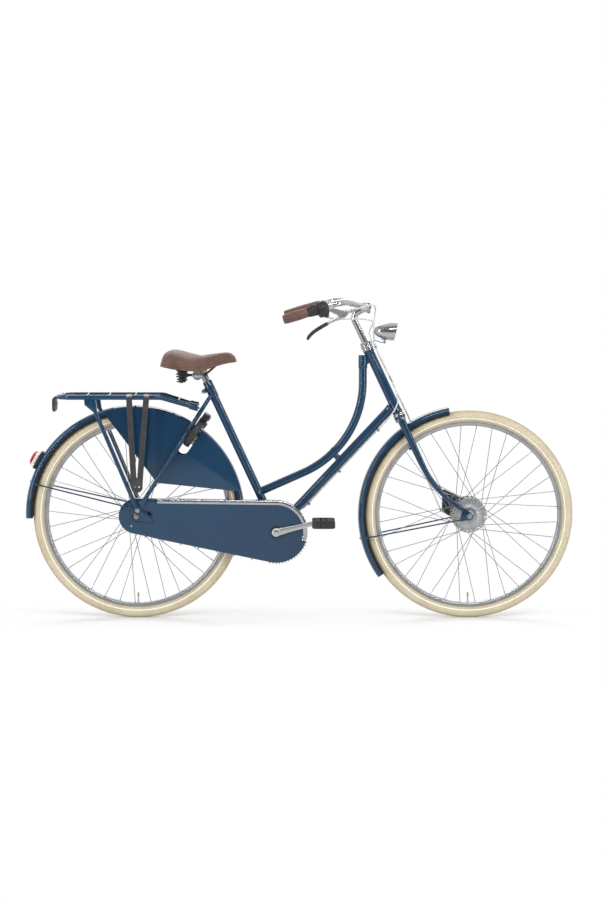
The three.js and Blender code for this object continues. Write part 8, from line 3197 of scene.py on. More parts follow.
@dataclass
class Steering:
    """Everything that turns with the fork, apart from its mudguard and the wheel."""

    finishes: Finishes
    right: BarEnd = BarEnd(Side.RIGHT)
    left: BarEnd = BarEnd(Side.LEFT)
    stack_top: float = 0.2682
    nut_radius: float = 0.019
    nut_height: float = 0.009
    lamp_ring: float = 0.0026
    crown: float = -0.026
    blade_out: float = 0.047
    blade_end_out: float = 0.051
    blade_bend: float = 0.345
    blade_straight: float = 0.195
    bar_radius: float = 0.0108
    stem_radius: float = 0.0111
    right_grip: float = 0.078
    left_grip: float = 0.128
    lever_at: float = 0.1549

    def build(self) -> None:
        """Makes every piece of the steering."""
        self.fork()
        self.headset()
        self.stem()
        self.bar()
        self.grips()
        self.shifter()
        self.bracket()
        self.lever()
        self.lamp()
        self.brake()

    def blade(self, side: Side) -> Shell:
        """One raked blade with its flat dropout."""
        slope = math.radians(35)
        corner = self.blade_straight + self.blade_bend * math.tan(slope / 2)
        end = (
            self.blade_bend * (1 - math.cos(slope)), -self.blade_straight - self.blade_bend * math.sin(slope)
        )
        corners = [
            LAYOUT.steer(0, side.value * self.blade_out, self.crown),
            LAYOUT.steer(0, side.value * blend(self.blade_out, self.blade_end_out, 0.7), -corner),
            LAYOUT.steer(end[0], side.value * self.blade_end_out, end[1]),
        ]
        path = resampled(subdivided(rounded(corners, self.blade_bend, 2), 0.01), 60)
        sections = []
        for i in range(61):
            share = (i / 60) ** 0.9
            flat = 1.0 if i < 56 else blend(1.0, 0.62, (i - 56) / 4)
            sections.append(oval(blend(0.0133, 0.0068, share), blend(0.0086, 0.0068, share) * flat, 36))
        shell = Shell().swept(path, sections)
        axle = LAYOUT.front_axle
        low = LAYOUT.steer(end[0], 0, end[1])
        rounds = [(axle.x, axle.z, 0.0125), (low.x, low.z, 0.0066), (axle.x - 0.027, axle.z - 0.012, 0.006)]
        shell.slab(band(rounds, 64), side.value * 0.05, side.value * 0.055, soft=0.0009)
        return shell

    def fork(self) -> None:
        """The fork: crown, race, blades, dropouts and the peg on the right blade."""
        crown = Shell()
        rings = []
        for i in range(41):
            share = blend(-1.0, 1.0, i / 40)
            size = 0.45 + 0.55 * (1 - abs(share) ** 5) if abs(share) < 0.999 else 0.45
            middle = LAYOUT.steer(0, share * 0.0602, self.crown)
            ring = [
                middle + LAYOUT.head_up * (z * 0.013 * size) + LAYOUT.head_front * (x * 0.014 * size)
                for x, z in circle(1.0, 36)
            ]
            rings.append(ring)
        crown.loft(rings)
        flare = [
            (0.0129, -0.0208),
            (0.0186, -0.0205),
            (0.0205, -0.0186),
            (0.0205, -0.0125),
            (0.0195, -0.0115),
            (0.0129, -0.0113),
        ]
        crown.turned(flare, LAYOUT.head_bottom, LAYOUT.head_up, 48)
        for side in Side:
            blade = self.blade(side)
            crown.points, base = crown.points + blade.points, len(crown.points)
            crown.faces += [tuple(base + i for i in f) for f in blade.faces]
            crown.slots += blade.slots
        peg = LAYOUT.steer(0, -self.blade_out - 0.001, -0.125)
        crown.rod(peg, LAYOUT.steer(-0.019, -self.blade_out - 0.001, -0.125), 0.004, 20, soft=0.001)
        tube = [
            (0.0113, self.crown),
            (0.0127, self.crown),
            (0.0127, self.stack_top - 0.0004),
            (0.0113, self.stack_top - 0.0004),
        ]
        crown.turned(tube, LAYOUT.head_bottom, LAYOUT.head_up, 40, 1)
        bolt = LAYOUT.steer(-0.0135, 0, self.crown)
        crown.rod(bolt, LAYOUT.steer(-0.0195, 0, self.crown), 0.0046, 24, 1, soft=0.0012)
        crown.rod(
            LAYOUT.steer(0.0135, 0, self.crown),
            LAYOUT.steer(0.0175, 0, self.crown),
            0.0052,
            24,
            1,
            soft=0.0014,
        )
        piece = crown.made("fork_fine", self.finishes.paint, self.finishes.steel)
        settle(piece, "steering", "frame_paint", "fork")

    def headset(self) -> None:
        """The lock nut with its eight flats, and the spacer under it."""
        low, high = self.stack_top - self.nut_height, self.stack_top
        shell = Shell().turned(
            collar(self.nut_radius, low, low + 0.0018, 0.0131, 0.0005), LAYOUT.head_bottom, LAYOUT.head_up, 56
        )
        nut = [
            (0.0131, low + 0.0019),
            (self.nut_radius - 0.0005, low + 0.0019),
            (self.nut_radius, low + 0.0025),
            (self.nut_radius, high - 0.002),
            (self.nut_radius - 0.0022, high),
            (0.0131, high),
        ]
        shell.turned(nut, LAYOUT.head_bottom, LAYOUT.head_up, 8)
        piece = shell.made("headset_lock_nut_fine", self.finishes.chrome)
        settle(piece, "steering", "chrome", "headset_lock_nut")

    def stem(self) -> None:
        """The quill stem, its round clamp, the clamp's bolt and the quill's bolt."""
        clamp = LAYOUT.stem_clamp
        corners = [LAYOUT.steer(0, 0, 0.19), LAYOUT.steer(0, 0, LAYOUT.stem_height - 0.006), clamp]
        path = subdivided(rounded(corners, 0.026, 4), 0.02)
        total = length_of(path)
        run, sections = 0.0, []
        for i, here in enumerate(path):
            run += (here - path[max(i - 1, 0)]).length
            spread = min(1.0, max(0.0, (run - total + 0.052) / 0.045))
            sections.append(
                oval(blend(self.stem_radius, 0.0138, spread), blend(self.stem_radius, 0.0152, spread), 40)
            )
        shell = Shell().swept(path, sections)
        barrel = [
            (0.0113, -0.021),
            (0.0168, -0.021),
            (0.018, -0.0202),
            (0.0185, -0.0188),
            (0.0185, 0.0188),
            (0.018, 0.0202),
            (0.0168, 0.021),
            (0.0113, 0.021),
        ]
        shell.turned(barrel, clamp, LEFT, 64)
        low = clamp - LAYOUT.head_up * 0.0185
        for side in Side:
            shell.across(
                low + LAYOUT.head_front * 0.002,
                0.0066,
                side.value * 0.0016,
                side.value * 0.0118,
                32,
                soft=0.001,
            )
        shell.across(low + LAYOUT.head_front * 0.002, 0.0036, -0.0135, 0.0135, 6, 1)
        shell.across(low + LAYOUT.head_front * 0.002, 0.0052, -0.0142, -0.0118, 32, 1, soft=0.0008)
        knee = LAYOUT.steer(0.0, 0.0, LAYOUT.stem_height + 0.0035)
        shell.rod(knee, knee + LAYOUT.head_up * 0.0042, 0.0074, 32, 0, soft=0.0012)
        hexagon(0.0044, 0.0036, 0.0066, knee, LAYOUT.head_up, shell, 1)
        piece = shell.made("handlebar_stem_fine", self.finishes.chrome, self.finishes.steel)
        settle(piece, "steering", "chrome", "handlebar_stem")

    def bar(self) -> None:
        """The swept-back handlebar, a little thicker where the stem holds it."""
        clamp = LAYOUT.stem_clamp
        middle = [beside(clamp, side.value * 0.045) for side in (Side.RIGHT, Side.LEFT)]
        corners = [self.right.end, self.right.corner, middle[0], middle[1], self.left.corner, self.left.end]
        path = subdivided(rounded(corners, 0.07, 4), 0.015)
        shell = Shell().tube(path, self.bar_radius, 40)
        shell.turned(
            [
                (0.005, -0.034),
                (0.0111, -0.034),
                (0.0119, -0.0325),
                (0.0119, 0.0325),
                (0.0111, 0.034),
                (0.005, 0.034),
            ],
            clamp,
            LEFT,
            48,
        )
        settle(shell.made("handlebar_fine", self.finishes.chrome), "steering", "chrome", "handlebar")

    def grips(self) -> None:
        """The leather grips, barrel-shaped between their end rings."""
        for bar, length in ((self.right, self.right_grip), (self.left, self.left_grip)):
            profile: list[Flat] = [
                (0.0, -0.004),
                (0.0128, -0.004),
                (0.0142, -0.0034),
                (0.0147, -0.002),
                (0.0148, 0.0016),
                (0.0145, 0.003),
            ]
            for i in range(21):
                share = i / 20
                profile.append(
                    (
                        0.0147 + 0.0018 * math.sin(math.pi * (share * 0.86 + 0.07)) ** 0.7,
                        blend(0.0042, length - 0.0042, share),
                    )
                )
            profile += [
                (0.0145, length - 0.003),
                (0.0151, length - 0.0018),
                (0.0149, length - 0.0004),
                (0.0112, length),
                (0.0112, 0.0),
                (0.0, 0.0),
            ]
            shell = Shell().turned(profile, bar.end, bar.along, 72)
            name = f"grip_{bar.side.word}"
            settle(
                shell.made(f"{name}_fine", self.finishes.grip_leather, smooth=60),
                "steering",
                "brown_leather",
                name,
            )

    def shifter(self) -> None:
        """The ribbed twist sleeve and the round housing beside it with its lug and window."""
        bar, start, length = self.right, self.right_grip + 0.0003, 0.0345
        profile = [(0.0112, 0.0), (0.0156, 0.0), (0.016, 0.0006), (0.0163, 0.0028)]
        profile += [
            (blend(0.0163, 0.0186, i / 8) - 0.0004, blend(0.0034, length - 0.004, i / 8)) for i in range(9)
        ]
        profile += [(0.019, length - 0.003), (0.019, length - 0.0006), (0.0184, length), (0.0112, length)]
        shell = Shell().turned(profile, bar.at(start), bar.along, 72)
        for i in range(30):
            turn = Quaternion(bar.along, math.tau * i / 30)
            low, high = turn @ bar.down * 0.01605, turn @ bar.down * 0.0182
            shell.rod(bar.at(start + 0.0044) + low, bar.at(start + length - 0.005) + high, 0.0007, 6)
        settle(
            shell.made("twist_sleeve_fine", self.finishes.plastic),
            "twist_sleeve",
            "black_plastic",
            "twist_sleeve",
        )
        start, length = start + length + 0.0003, 0.0345
        drum = [
            (0.0114, 0.0),
            (0.0205, 0.0),
            (0.0245, 0.0012),
            (0.0265, 0.0036),
            (0.027, 0.0068),
            (0.027, 0.0225),
            (0.0264, 0.0262),
            (0.0244, 0.0302),
            (0.0215, 0.0335),
            (0.0195, 0.0345),
            (0.0114, 0.0345),
        ]
        shell = Shell().turned(drum, bar.at(start, 0.003), bar.along, 72)
        lug = bar.at(start + length * 0.7, 0.012)
        foot = bar.at(start + length * 0.7, 0.0338)
        shell.turned(
            [(0.0, 0.0), (0.0086, 0.0), (0.0086, 0.017), (0.0078, 0.0202), (0.0064, 0.0214), (0.0, 0.0218)],
            lug,
            foot - lug,
            40,
        )
        shell.rod(
            bar.at(start + length * 0.7, 0.0302),
            bar.at(start + length * 0.7, 0.0302, 0.0146),
            0.0046,
            28,
            0,
            soft=0.0008,
        )
        ring = band([(-0.0085, 0.0, 0.0034), (0.0085, 0.0, 0.0034)], 24)
        window = [
            [
                bar.at(start + 0.0145 + z, 0.003) + Quaternion(bar.along, x / 0.027) @ (-bar.down * r)
                for x, z in ring
            ]
            for r in (0.0255, 0.0274)
        ]
        shell.loft(window, 1)
        piece = shell.made("shifter_housing_fine", self.finishes.plastic, self.finishes.gloss_plastic)
        settle(piece, "steering", "black_plastic", "shifter_housing")

    def on_lever(self, along: float, low: float, across: float = 0.0) -> Vector:
        """A place in the brake lever's flat frame: along the grip, down from the bar and beside it."""
        return self.right.at(self.lever_at - along, low, across)

    def lever_run(
        self,
        points: Sequence[tuple[float, float, float, float]],
        shell: Shell,
        slot: int = 0,
        count: int = 40,
    ) -> None:
        """Adds a smooth bar in the lever's frame, from places with a half height and a half width."""
        stations = [(self.on_lever(a, b), h, w) for a, b, h, w in points]
        path = spline([s[0] for s in stations], count)
        marks = [min(range(len(path)), key=lambda i, p=s[0]: (path[i] - p).length) for s in stations]
        marks[-1] = count
        up = np.interp(range(count + 1), marks, [s[1] for s in stations])
        wide = np.interp(range(count + 1), marks, [s[2] for s in stations])
        rings = []
        for i, here in enumerate(path):
            along = (path[min(i + 1, count)] - path[max(i - 1, 0)]).normalized()
            flat = self.right.across
            rise = along.cross(flat).normalized()
            ring = []
            for x, z in circle(1.0, 28):
                ring.append(here + rise * (eased(x, 0.8) * up[i]) + flat * (eased(z, 0.8) * wide[i]))
            rings.append(ring)
        shell.loft(rings, slot)

    def bracket(self) -> None:
        """The lever's bracket: clamp band, cheeks, cable nose and adjuster."""
        bar, at = self.right, self.lever_at
        shell = Shell().turned(collar(0.0155, -0.007, 0.007, 0.0113, 0.0012), bar.at(at), bar.along, 56)
        for side in (1, -1):
            across = side * 0.0067
            outline = band([(0.0, 0.0125, 0.0068), (-0.036, 0.044, 0.0078), (-0.047, 0.0405, 0.006)], 40)
            rings = []
            for inset, level in (
                (0.0008, across - side * 0.0017),
                (0.0, across - side * 0.0009),
                (0.0, across + side * 0.0009),
                (0.0008, across + side * 0.0017),
            ):
                rings.append([self.on_lever(x, y, level) for x, y in drawn_in(outline, inset)])
            shell.loft(rings)
            pin = self.on_lever(-0.036, 0.044, side * 0.0084)
            shell.rod(pin, pin + bar.across * (side * 0.0008), 0.0048, 28, 1, soft=0.0004)
        self.lever_run(
            [
                (0.001, 0.0115, 0.0066, 0.0062),
                (-0.016, 0.0215, 0.0052, 0.0056),
                (-0.032, 0.0295, 0.0048, 0.0056),
                (-0.05, 0.0338, 0.0046, 0.0056),
                (-0.0645, 0.0368, 0.0049, 0.0058),
            ],
            shell,
        )
        nose = self.on_lever(-0.0655, 0.037)
        reach = (self.on_lever(-0.0725, 0.0373) - nose).normalized()
        shell.rod(nose - reach * 0.004, nose + reach * 0.003, 0.0052, 28, 2, soft=0.0006)
        for i in range(4):
            shell.turned(
                collar(0.0052, 0.0005 + 0.0008 * i, 0.001 + 0.0008 * i, 0.002, 0.0002),
                nose - reach * 0.0012,
                reach,
                16,
                2,
            )
        screw = bar.at(at, 0.0, 0.0)
        top = screw - bar.down * 0.0146 + bar.across * 0.004
        shell.rod(top - bar.across * 0.0095, top + bar.across * 0.003, 0.0026, 20, 1, soft=0.0006)
        piece = shell.made(
            "brake_lever_bracket_fine", self.finishes.alloy, self.finishes.steel, self.finishes.plastic
        )
        settle(piece, "steering", "alloy", "brake_lever_bracket")

    def lever(self) -> None:
        """The brake lever: an alloy root, a black sleeve on its blade and a hooked tip."""
        shell = Shell()
        self.lever_run(
            [
                (-0.0425, 0.0405, 0.0042, 0.0037),
                (-0.036, 0.044, 0.0072, 0.0038),
                (-0.022, 0.0474, 0.0068, 0.0038),
                (-0.004, 0.0492, 0.0058, 0.0038),
                (0.01, 0.0512, 0.0052, 0.0038),
                (0.03, 0.0568, 0.0046, 0.0036),
            ],
            shell,
        )
        self.lever_run(
            [
                (0.0215, 0.0538, 0.0058, 0.0042),
                (0.034, 0.0564, 0.0062, 0.0045),
                (0.052, 0.0606, 0.0062, 0.0046),
                (0.07, 0.0657, 0.006, 0.0046),
                (0.085, 0.0722, 0.0058, 0.0046),
                (0.0955, 0.0792, 0.0056, 0.0044),
                (0.1015, 0.086, 0.0036, 0.0032),
            ],
            shell,
            1,
            50,
        )
        piece = shell.made("brake_lever_fine", self.finishes.alloy, self.finishes.plastic)
        settle(piece, "brake_lever", "alloy", "brake_lever")

    def lamp_ring_at(self, centre: Vector, share: float, radius: float, length: float) -> Ring:
        """One ring of the lamp's shell, slanting more towards its front."""
        slant = math.tan(math.radians(11.7)) * share**3
        ring = []
        for x, z in circle(1.0, 56):
            ring.append(centre + Vector((-length * (1 - share) + z * radius * slant, x * radius, z * radius)))
        return ring

    def lamp(self) -> None:
        """The bullet headlamp: shell, bezel, lens, bulb, and the strip that carries it."""
        centre = Vector((LAYOUT.head_top.x + 0.093, 0.0, LAYOUT.head_bottom.z + 0.279))
        radius, length, wall = 0.033, 0.076, 0.0016
        shares = [0.002, 0.02, 0.05, 0.1, 0.17, 0.26, 0.37, 0.5, 0.65, 0.8, 0.92, 1.0]

        def full(share: float) -> float:
            """The shell's radius at a share of its length, as a share of its largest."""
            return math.sqrt(1 - (1 - share) ** 2)

        rings = [self.lamp_ring_at(centre, s, radius * full(s), length) for s in shares]
        rings += [
            self.lamp_ring_at(centre, s, max(0.001, radius * full(s) - wall), length - wall * 1.5)
            for s in reversed(shares)
        ]
        shell = Shell().loft(rings)
        axis = heading(-11.7)
        bezel = [p - axis * 0.0012 for p in self.lamp_ring_at(centre, 1.0, radius - 0.0014, length)]
        shell.loft(
            [
                [c + (c - centre).normalized() * x * 0.0013 + axis * z * 0.0016 for x, z in circle(1.0, 10)]
                for c in bezel
            ],
            loop=True,
        )
        ring_low = self.stack_top - self.nut_height - 0.0003 - self.lamp_ring
        shell.turned(
            collar(self.nut_radius, ring_low, ring_low + self.lamp_ring, 0.0131, 0.0006),
            LAYOUT.head_bottom,
            LAYOUT.head_up,
            48,
        )
        foot = Vector((centre.x - 0.038, 0.0, centre.z - 0.0375))
        start = LAYOUT.steer(0.016, 0, ring_low + self.lamp_ring / 2)
        corners = [start, start + LAYOUT.head_front * 0.019, foot - UP * 0.0045, foot + UP * 0.009]
        strip = subdivided(rounded(corners, 0.009, 12), 0.008)
        shell.bent_slab(strip, [LEFT] * len(strip), 0.016, 0.0026)
        shell.across(foot, 0.0045, -0.008, 0.008, 28, 0, soft=0.0008)
        shell.across(foot, 0.0026, -0.0104, 0.0104, 6, 1)
        hexagon(0.0046, 0.0081, 0.0112, foot, LEFT, shell, 1)
        shell.turned(
            [(0.0, 0.0081), (0.0042, 0.0081), (0.0042, 0.0098), (0.003, 0.011), (0.0, 0.0112)],
            foot,
            -LEFT,
            28,
            1,
        )
        saddle = [foot + Vector((x, 0.0, 0.0072 + 0.4 * x * x / 0.02)) for x in np.linspace(-0.012, 0.012, 7)]
        shell.bent_slab(saddle, [LEFT] * 7, 0.0135, 0.0022)
        piece = shell.made("headlamp_shell_fine", self.finishes.chrome, self.finishes.zinc)
        settle(piece, "steering", "chrome", "headlamp_shell")
        lens = Shell()
        front = centre - axis * 0.0003
        dome = [
            (0.0, -0.0048),
            (0.0272, -0.0048),
            (0.0286, -0.004),
            (0.0286, -0.0006),
            (0.027, 0.0006),
            (0.022, 0.002),
            (0.015, 0.0032),
            (0.007, 0.0038),
            (0.0, 0.004),
        ]
        lens.turned(dome, front, axis, 64)
        bulb = Shell().ball(front - axis * 0.024, 0.0052, 1.2, axis)
        bulb.rod(front - axis * 0.042, front - axis * 0.028, 0.0046, 24, 1, soft=0.001)
        settle(
            lens.made("headlamp_lens_fine", self.finishes.clear), "steering", "clear_lens", "headlamp_lens"
        )
        settle(bulb.made("headlamp_bulb", self.finishes.pale, self.finishes.brass), "steering", "clear_lens")

    def brake(self) -> None:
        """The front brake's plate, its black reaction arm and the cable's anchor."""
        axle = LAYOUT.front_axle
        shell = Shell()
        plate = [
            (0.0056, 0.0362),
            (0.0448, 0.0362),
            (0.046, 0.0372),
            (0.046, 0.0392),
            (0.0448, 0.0402),
            (0.03, 0.0408),
            (0.0285, 0.042),
            (0.0056, 0.042),
        ]
        shell.turned(plate, axle, LEFT, 72)
        corners = [(-0.088, 0.085), (-0.088, 0.0075), (-0.044, -0.021), (-0.004, -0.021), (-0.002, 0.043)]
        outline = [(axle.x + x, axle.z + z) for x, z in corners]
        path = rounded([Vector((x, 0.0, z)) for x, z in [*outline, outline[0], outline[1]]], 0.007, 12)
        smooth = [(p.x, p.z) for p in resampled(path[1:-1], 90)]
        start = smooth[0]
        end = min(
            range(40, len(smooth)), key=lambda i: math.hypot(smooth[i][0] - start[0], smooth[i][1] - start[1])
        )
        shell.slab(smooth[:end], 0.0391, 0.042, soft=0.0007)
        for at in ((-0.08, 0.07), (-0.05, 0.055), (-0.02, 0.036)):
            shell.across(axle + Vector((at[0], 0.0, at[1])), 0.0042, 0.0385, 0.0426, 24, 1, soft=0.0006)
        anchor = axle + Vector((-0.084, 0.0, 0.006))
        shell.across(anchor, 0.0052, 0.0386, 0.0462, 28, 1, soft=0.0008)
        arm = [
            beside(anchor, 0.0445),
            beside(anchor + Vector((0.026, 0.0, -0.014)), 0.0445),
            beside(anchor + Vector((0.05, 0.0, -0.006)), 0.0442),
        ]
        shell.bent_slab(spline(arm, 12), [UP] * 13, 0.0085, 0.0022, 1)
        piece = shell.made("front_brake_unit_fine", self.finishes.plastic, self.finishes.steel)
        settle(piece, "steering", "black_plastic", "front_brake_unit")


@dataclass
class Cables:
    """The brake cable to the front hub and the shift cable to the rear hub."""

    finishes: Finishes
    steering: Steering
    radius: float = 0.0025
    reach: float = 0.027
    blade_out: float = 0.061

    def brake_route(self) -> Ring:
        """The places that the brake cable passes, from the lever to its anchor."""
        bar, axle, r = self.steering.right, LAYOUT.front_axle, self.reach
        stop = self.steering.on_lever(-0.066 - self.radius * 2 - 0.001, 0.037)
        places = [
            stop,
            stop + bar.along * r,
            LAYOUT.steer(LAYOUT.stem_forward + r, -r, LAYOUT.stem_height - 0.0185),
            LAYOUT.steer(LAYOUT.stem_forward, -r / 2, LAYOUT.head_length + 0.074),
            LAYOUT.steer(r, -r / 2, LAYOUT.head_length),
            LAYOUT.steer(r, -r / 2, LAYOUT.head_length / 2),
            LAYOUT.steer(r, r / 2, r),
            LAYOUT.steer(r, self.blade_out, -r * 2),
            LAYOUT.steer(0, self.blade_out, -0.195),
            axle + Vector((-0.09, 0.042 + self.radius * 2, 0.004)),
        ]
        return spline(places, 40)

    def shift_route(self) -> Ring:
        """The places that the upper stretch of the shift cable passes, down to the head tube."""
        r = self.reach
        places = [
            self.steering.on_lever(0.021, 0.0306, 0.008625 + self.radius + 0.002),
            self.steering.on_lever(0.0, 0.044, 0.016 + self.radius),
            LAYOUT.steer(LAYOUT.stem_forward, -r * 2, LAYOUT.stem_height - 0.0555),
            LAYOUT.steer(r, -r, LAYOUT.head_length + r * 2),
            LAYOUT.steer(r, -r, LAYOUT.head_length * 0.8),
            LAYOUT.steer(r, -r, LAYOUT.head_length / 2),
        ]
        return spline(places, 22)

    def lower_route(self) -> Ring:
        """The places that the shift cable passes along the frame, from the head tube to the rear hub."""
        r, bracket, axle = self.reach, LAYOUT.bracket, LAYOUT.rear_axle
        top = LAYOUT.head_bottom + LAYOUT.head_up * 0.031
        along = (top - bracket).normalized()
        below = Vector((along.z, 0.0, -along.x))

        def under(share: float, y: float = 0.0) -> Vector:
            """A place under the down tube."""
            return beside(bracket.lerp(top, share) + below * (0.0153 + self.radius + 0.0003), y)

        def over(x: float, y: float) -> Vector:
            """A place over the left chain stay."""
            forward = math.sqrt(LAYOUT.chain_stay**2 - LAYOUT.bracket_drop**2)
            share = (bracket.x - x) / (forward - 0.044)
            return Vector((x, y, bracket.z + share * (LAYOUT.bracket_drop - 0.008) + 0.0145))

        places = [
            LAYOUT.steer(r, -r, LAYOUT.head_length / 2 - 0.0003),
            LAYOUT.steer(r, -r, LAYOUT.head_length * 0.35),
            LAYOUT.steer(r / 2, -r, r * 1.2),
            under(0.9, -r / 3),
            under(0.8),
            under(0.5),
            under(0.3),
            under(0.2, 0.0143),
            Vector((bracket.x, 0.024, bracket.z + 0.0275)),
            over(bracket.x - 0.142, blend(0.024, 0.0572, 0.3)),
            over(axle.x + 0.134, 0.0547),
            Vector((axle.x + 0.0145, 0.0505, axle.z + 0.0095)),
        ]
        return spline(places, 40)

    def build(self) -> None:
        """Makes the three stretches, their ferrules and the clip at the head tube."""
        for name, body, route, nodes in (
            ("brake_cable", "steering", self.brake_route(), ["control_cables"]),
            ("shift_cable_upper", "steering", self.shift_route(), []),
            ("shift_cable_lower", "frame", self.lower_route(), ["shift_cable"]),
        ):
            piece = Shell().tube(route, self.radius, 16).made(name, self.finishes.cable)
            settle(piece, body, "grey_cable", *nodes)
            length = length_of(route)
            log.info("%s is %.3f m long", name, length)
            ends = Shell()
            for tip, inside in ((route[0], route[1]), (route[-1], route[-2])):
                along = (inside - tip).normalized()
                ends.rod(tip - along * 0.0006, tip + along * 0.0105, self.radius + 0.0007, 20, soft=0.0006)
            settle(ends.made(f"{name}_ferrules", self.finishes.zinc), body, "steel")
        r = self.reach
        low, high = LAYOUT.steer(r, -r - self.radius, LAYOUT.head_length), LAYOUT.steer(
            r, self.radius - r / 2, LAYOUT.head_length
        )
        clip = Shell().rod(low, high, 0.004, 24, soft=0.0008)
        settle(clip.made("cable_clip", self.finishes.zinc), "steering", "steel")


@dataclass
class Studio:
    """The plain floor, the soft lights, the white surround and the camera."""

    camera_at: tuple[float, float, float] = (0.01336, -6.8, 1.23)
    looks_at: tuple[float, float, float] = (0.01336, 0.0, 0.5789)
    lens: float = 79.8
    floor_half: float = 14.0
    aim_height: float = 0.55
    pale: float = 0.8
    dim: float = 0.08
    dim_from: float = 2.9
    dim_to: float = 5.4
    dim_share: float = 0.7
    mirror_loss: float = 0.1
    near_from: float = 0.03
    near_to: float = 0.24
    near_glow: float = 0.12
    daylight: float = 0.8
    dark_room: float = 0.2
    room_from: float = -0.75
    room_to: float = 0.1

    def camera(self) -> None:
        """The camera at the photograph's view."""
        lens = bpy.data.cameras.new("camera")
        lens.lens = self.lens
        lens.sensor_fit = "AUTO"
        lens.clip_end = 60.0
        made = bpy.data.objects.new("camera", lens)
        made.location = self.camera_at
        made.rotation_euler = (
            Vector(self.looks_at) - Vector(self.camera_at)
        ).to_track_quat("-Z", "Y").to_euler()
        bpy.context.scene.collection.objects.link(made)
        bpy.context.scene.camera = made

    def floor(self) -> None:
        """The pale floor, white where the camera or a reflection sees it."""
        half = self.floor_half
        mesh = bpy.data.meshes.new("studio_floor")
        mesh.from_pydata(
            [(-half, -half, 0), (half, -half, 0), (half, half, 0), (-half, half, 0)], [], [(0, 1, 2, 3)]
        )
        bench = Bench("pale_floor")
        _, y, _ = bench.axes(bench.places)
        dark = (0.0 - y).step(self.dim_from, self.dim_to)
        tone = bench.mix((*[self.pale] * 3, 1.0), (*[self.dim] * 3, 1.0), dark)
        bench.shape(Base_Color=tone, Roughness=0.9, Specular_IOR_Level=0.0)
        far = y.maths("ABSOLUTE").step(self.near_from, self.near_to)
        path = bench.node("ShaderNodeLightPath")
        seen = Value(bench, path.outputs["Is Camera Ray"])
        glossy = Value(bench, path.outputs["Is Glossy Ray"]).maths(
            "MAXIMUM", Value(bench, path.outputs["Is Transmission Ray"])
        )
        seen = (seen * (far * (1.0 - self.near_glow) + self.near_glow)).maths("MAXIMUM", glossy)
        glow = bench.node(
            "ShaderNodeEmission",
            None,
            {
                "Color": (1.0, 1.0, 1.0, 1.0),
                "Strength": 1.0 - glossy * (dark * self.dim_share + self.mirror_loss),
            },
        )
        both = bench.node(
            "ShaderNodeMixShader", None, {0: seen, 1: bench.shader.outputs[0], 2: glow.outputs[0]}
        )
        bench.tree.links.new(both.outputs[0], bench.output.inputs["Surface"])
        mesh.materials.append(bench.material)
        made = bpy.data.objects.new("studio_floor", mesh)
        bpy.context.scene.collection.objects.link(made)

    def world(self) -> None:
        """The white surround, and its plain level of light."""
        made = bpy.data.worlds.new("surround")
        made.use_nodes = True
        tree = made.node_tree
        tree.nodes.clear()
        path = tree.nodes.new("ShaderNodeLightPath")
        split = tree.nodes.new("ShaderNodeSeparateXYZ")
        tree.links.new(tree.nodes.new("ShaderNodeTexCoord").outputs["Generated"], split.inputs[0])
        room = tree.nodes.new("ShaderNodeMapRange")
        room.interpolation_type = "SMOOTHSTEP"
        tree.links.new(split.outputs[1], room.inputs["Value"])
        for name, value in (
            ("From Min", self.room_from),
            ("From Max", self.room_to),
            ("To Min", self.dark_room),
            ("To Max", 1.0),
        ):
            room.inputs[name].default_value = value
        strength = self.daylight
        for ray, level in (
            ("Is Glossy Ray", room.outputs[0]), ("Is Transmission Ray", 1.0), ("Is Camera Ray", 1.0)
        ):
            mix = tree.nodes.new("ShaderNodeMix")
            tree.links.new(path.outputs[ray], mix.inputs[0])
            for socket, value in ((mix.inputs[2], strength), (mix.inputs[3], level)):
                if isinstance(value, float):
                    socket.default_value = value
                else:
                    tree.links.new(value, socket)
            strength = mix.outputs[0]
        back = tree.nodes.new("ShaderNodeBackground")
        back.inputs["Color"].default_value = (1.0, 1.0, 1.0, 1.0)
        tree.links.new(strength, back.inputs["Strength"])
        output = tree.nodes.new("ShaderNodeOutputWorld")
        tree.links.new(back.outputs[0], output.inputs["Surface"])
        bpy.context.scene.world = made

    def lamp(self, name: str, place: Sequence[float], power: float, width: float, height: float) -> None:
        """A soft oblong lamp that looks at the bike."""
        light = bpy.data.lights.new(name, "AREA")
        light.shape = "RECTANGLE"
        light.energy = power
        light.size = width
        light.size_y = height
        made = bpy.data.objects.new(name, light)
        made.location = place
        made.rotation_euler = (
            Vector((0.0, 0.0, self.aim_height)) - Vector(place)
        ).to_track_quat("-Z", "Y").to_euler()
        bpy.context.scene.collection.objects.link(made)

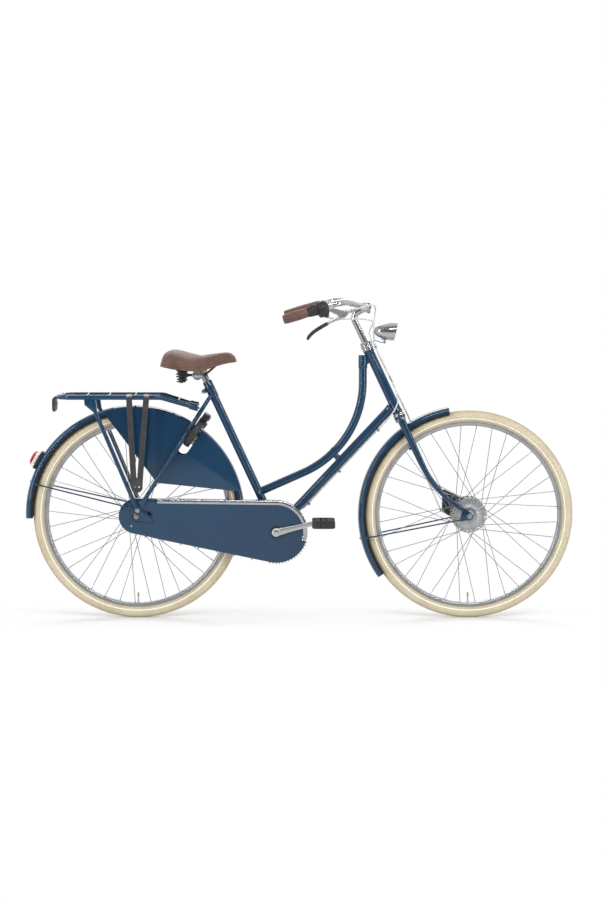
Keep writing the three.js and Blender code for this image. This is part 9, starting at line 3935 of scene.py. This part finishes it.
    def lights(self) -> None:
        """A key lamp above the camera, a strip on each side and a rim lamp behind."""
        self.lamp("key_lamp", (0.9, -3.4, 3.3), 66.0, 3.4, 0.25)
        self.lamp("left_strip", (-3.0, -2.6, 1.5), 46.0, 0.22, 2.6)
        self.lamp("right_strip", (3.2, -2.2, 1.4), 34.0, 0.22, 2.6)
        self.lamp("rim_lamp", (0.0, 3.0, 3.0), 50.0, 3.0, 1.0)


def dress_plain(frame: dict[str, object], finishes: Finishes) -> None:
    """Gives every plain node that still shows its finish, by the record's slot for it."""
    by_slot = {
        "frame_paint": finishes.paint,
        "chrome": finishes.chrome,
        "alloy": finishes.alloy,
        "steel": finishes.steel,
        "black_plastic": finishes.plastic,
        "black_rubber": finishes.rubber,
        "cream_tyre": finishes.plastic,
        "brown_leather": finishes.leather,
        "grey_cable": finishes.cable,
        "red_lens": finishes.red,
        "clear_lens": finishes.clear,
    }
    for piece in frame["nodes"].values():
        word = next(
            (w for w in by_slot if any(w in (m.name if m else "") for m in piece.data.materials)),
            "frame_paint",
        )
        for index in range(len(piece.data.materials)):
            piece.data.materials[index] = by_slot[word]


def main(frame: dict[str, object]) -> None:
    """Builds the studio, the cables and then every sub-assembly of the bike."""
    logging.basicConfig(level=logging.INFO, format="%(name)s: %(message)s")
    scene = bpy.context.scene
    scene.view_settings.view_transform = "Standard"
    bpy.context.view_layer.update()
    studio = Studio()
    studio.camera()
    finishes = Finishes()
    studio.floor()
    studio.world()
    studio.lights()
    dress_plain(frame, finishes)
    rays, beads = ray_grower(), bead_grower()
    steering = Steering(finishes)
    Cables(finishes, steering).build()
    steering.build()
    Seat(finishes).build(beads)
    FrameSet(finishes).build()
    Guards(finishes).build()
    Carrier(finishes).build()
    RingLock(finishes).build()
    Kickstand(finishes).build()
    FrontWheel(finishes, "front", LAYOUT.front_axle, 0.047, 0.031).build(rays)
    RearWheel(finishes, "rear", LAYOUT.rear_axle, 0.032, 0.028, 3.0).build(rays)
    Axles(finishes).build()
    Drive(finishes).build(beads)


if __name__ == "__main__":
    main(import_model())
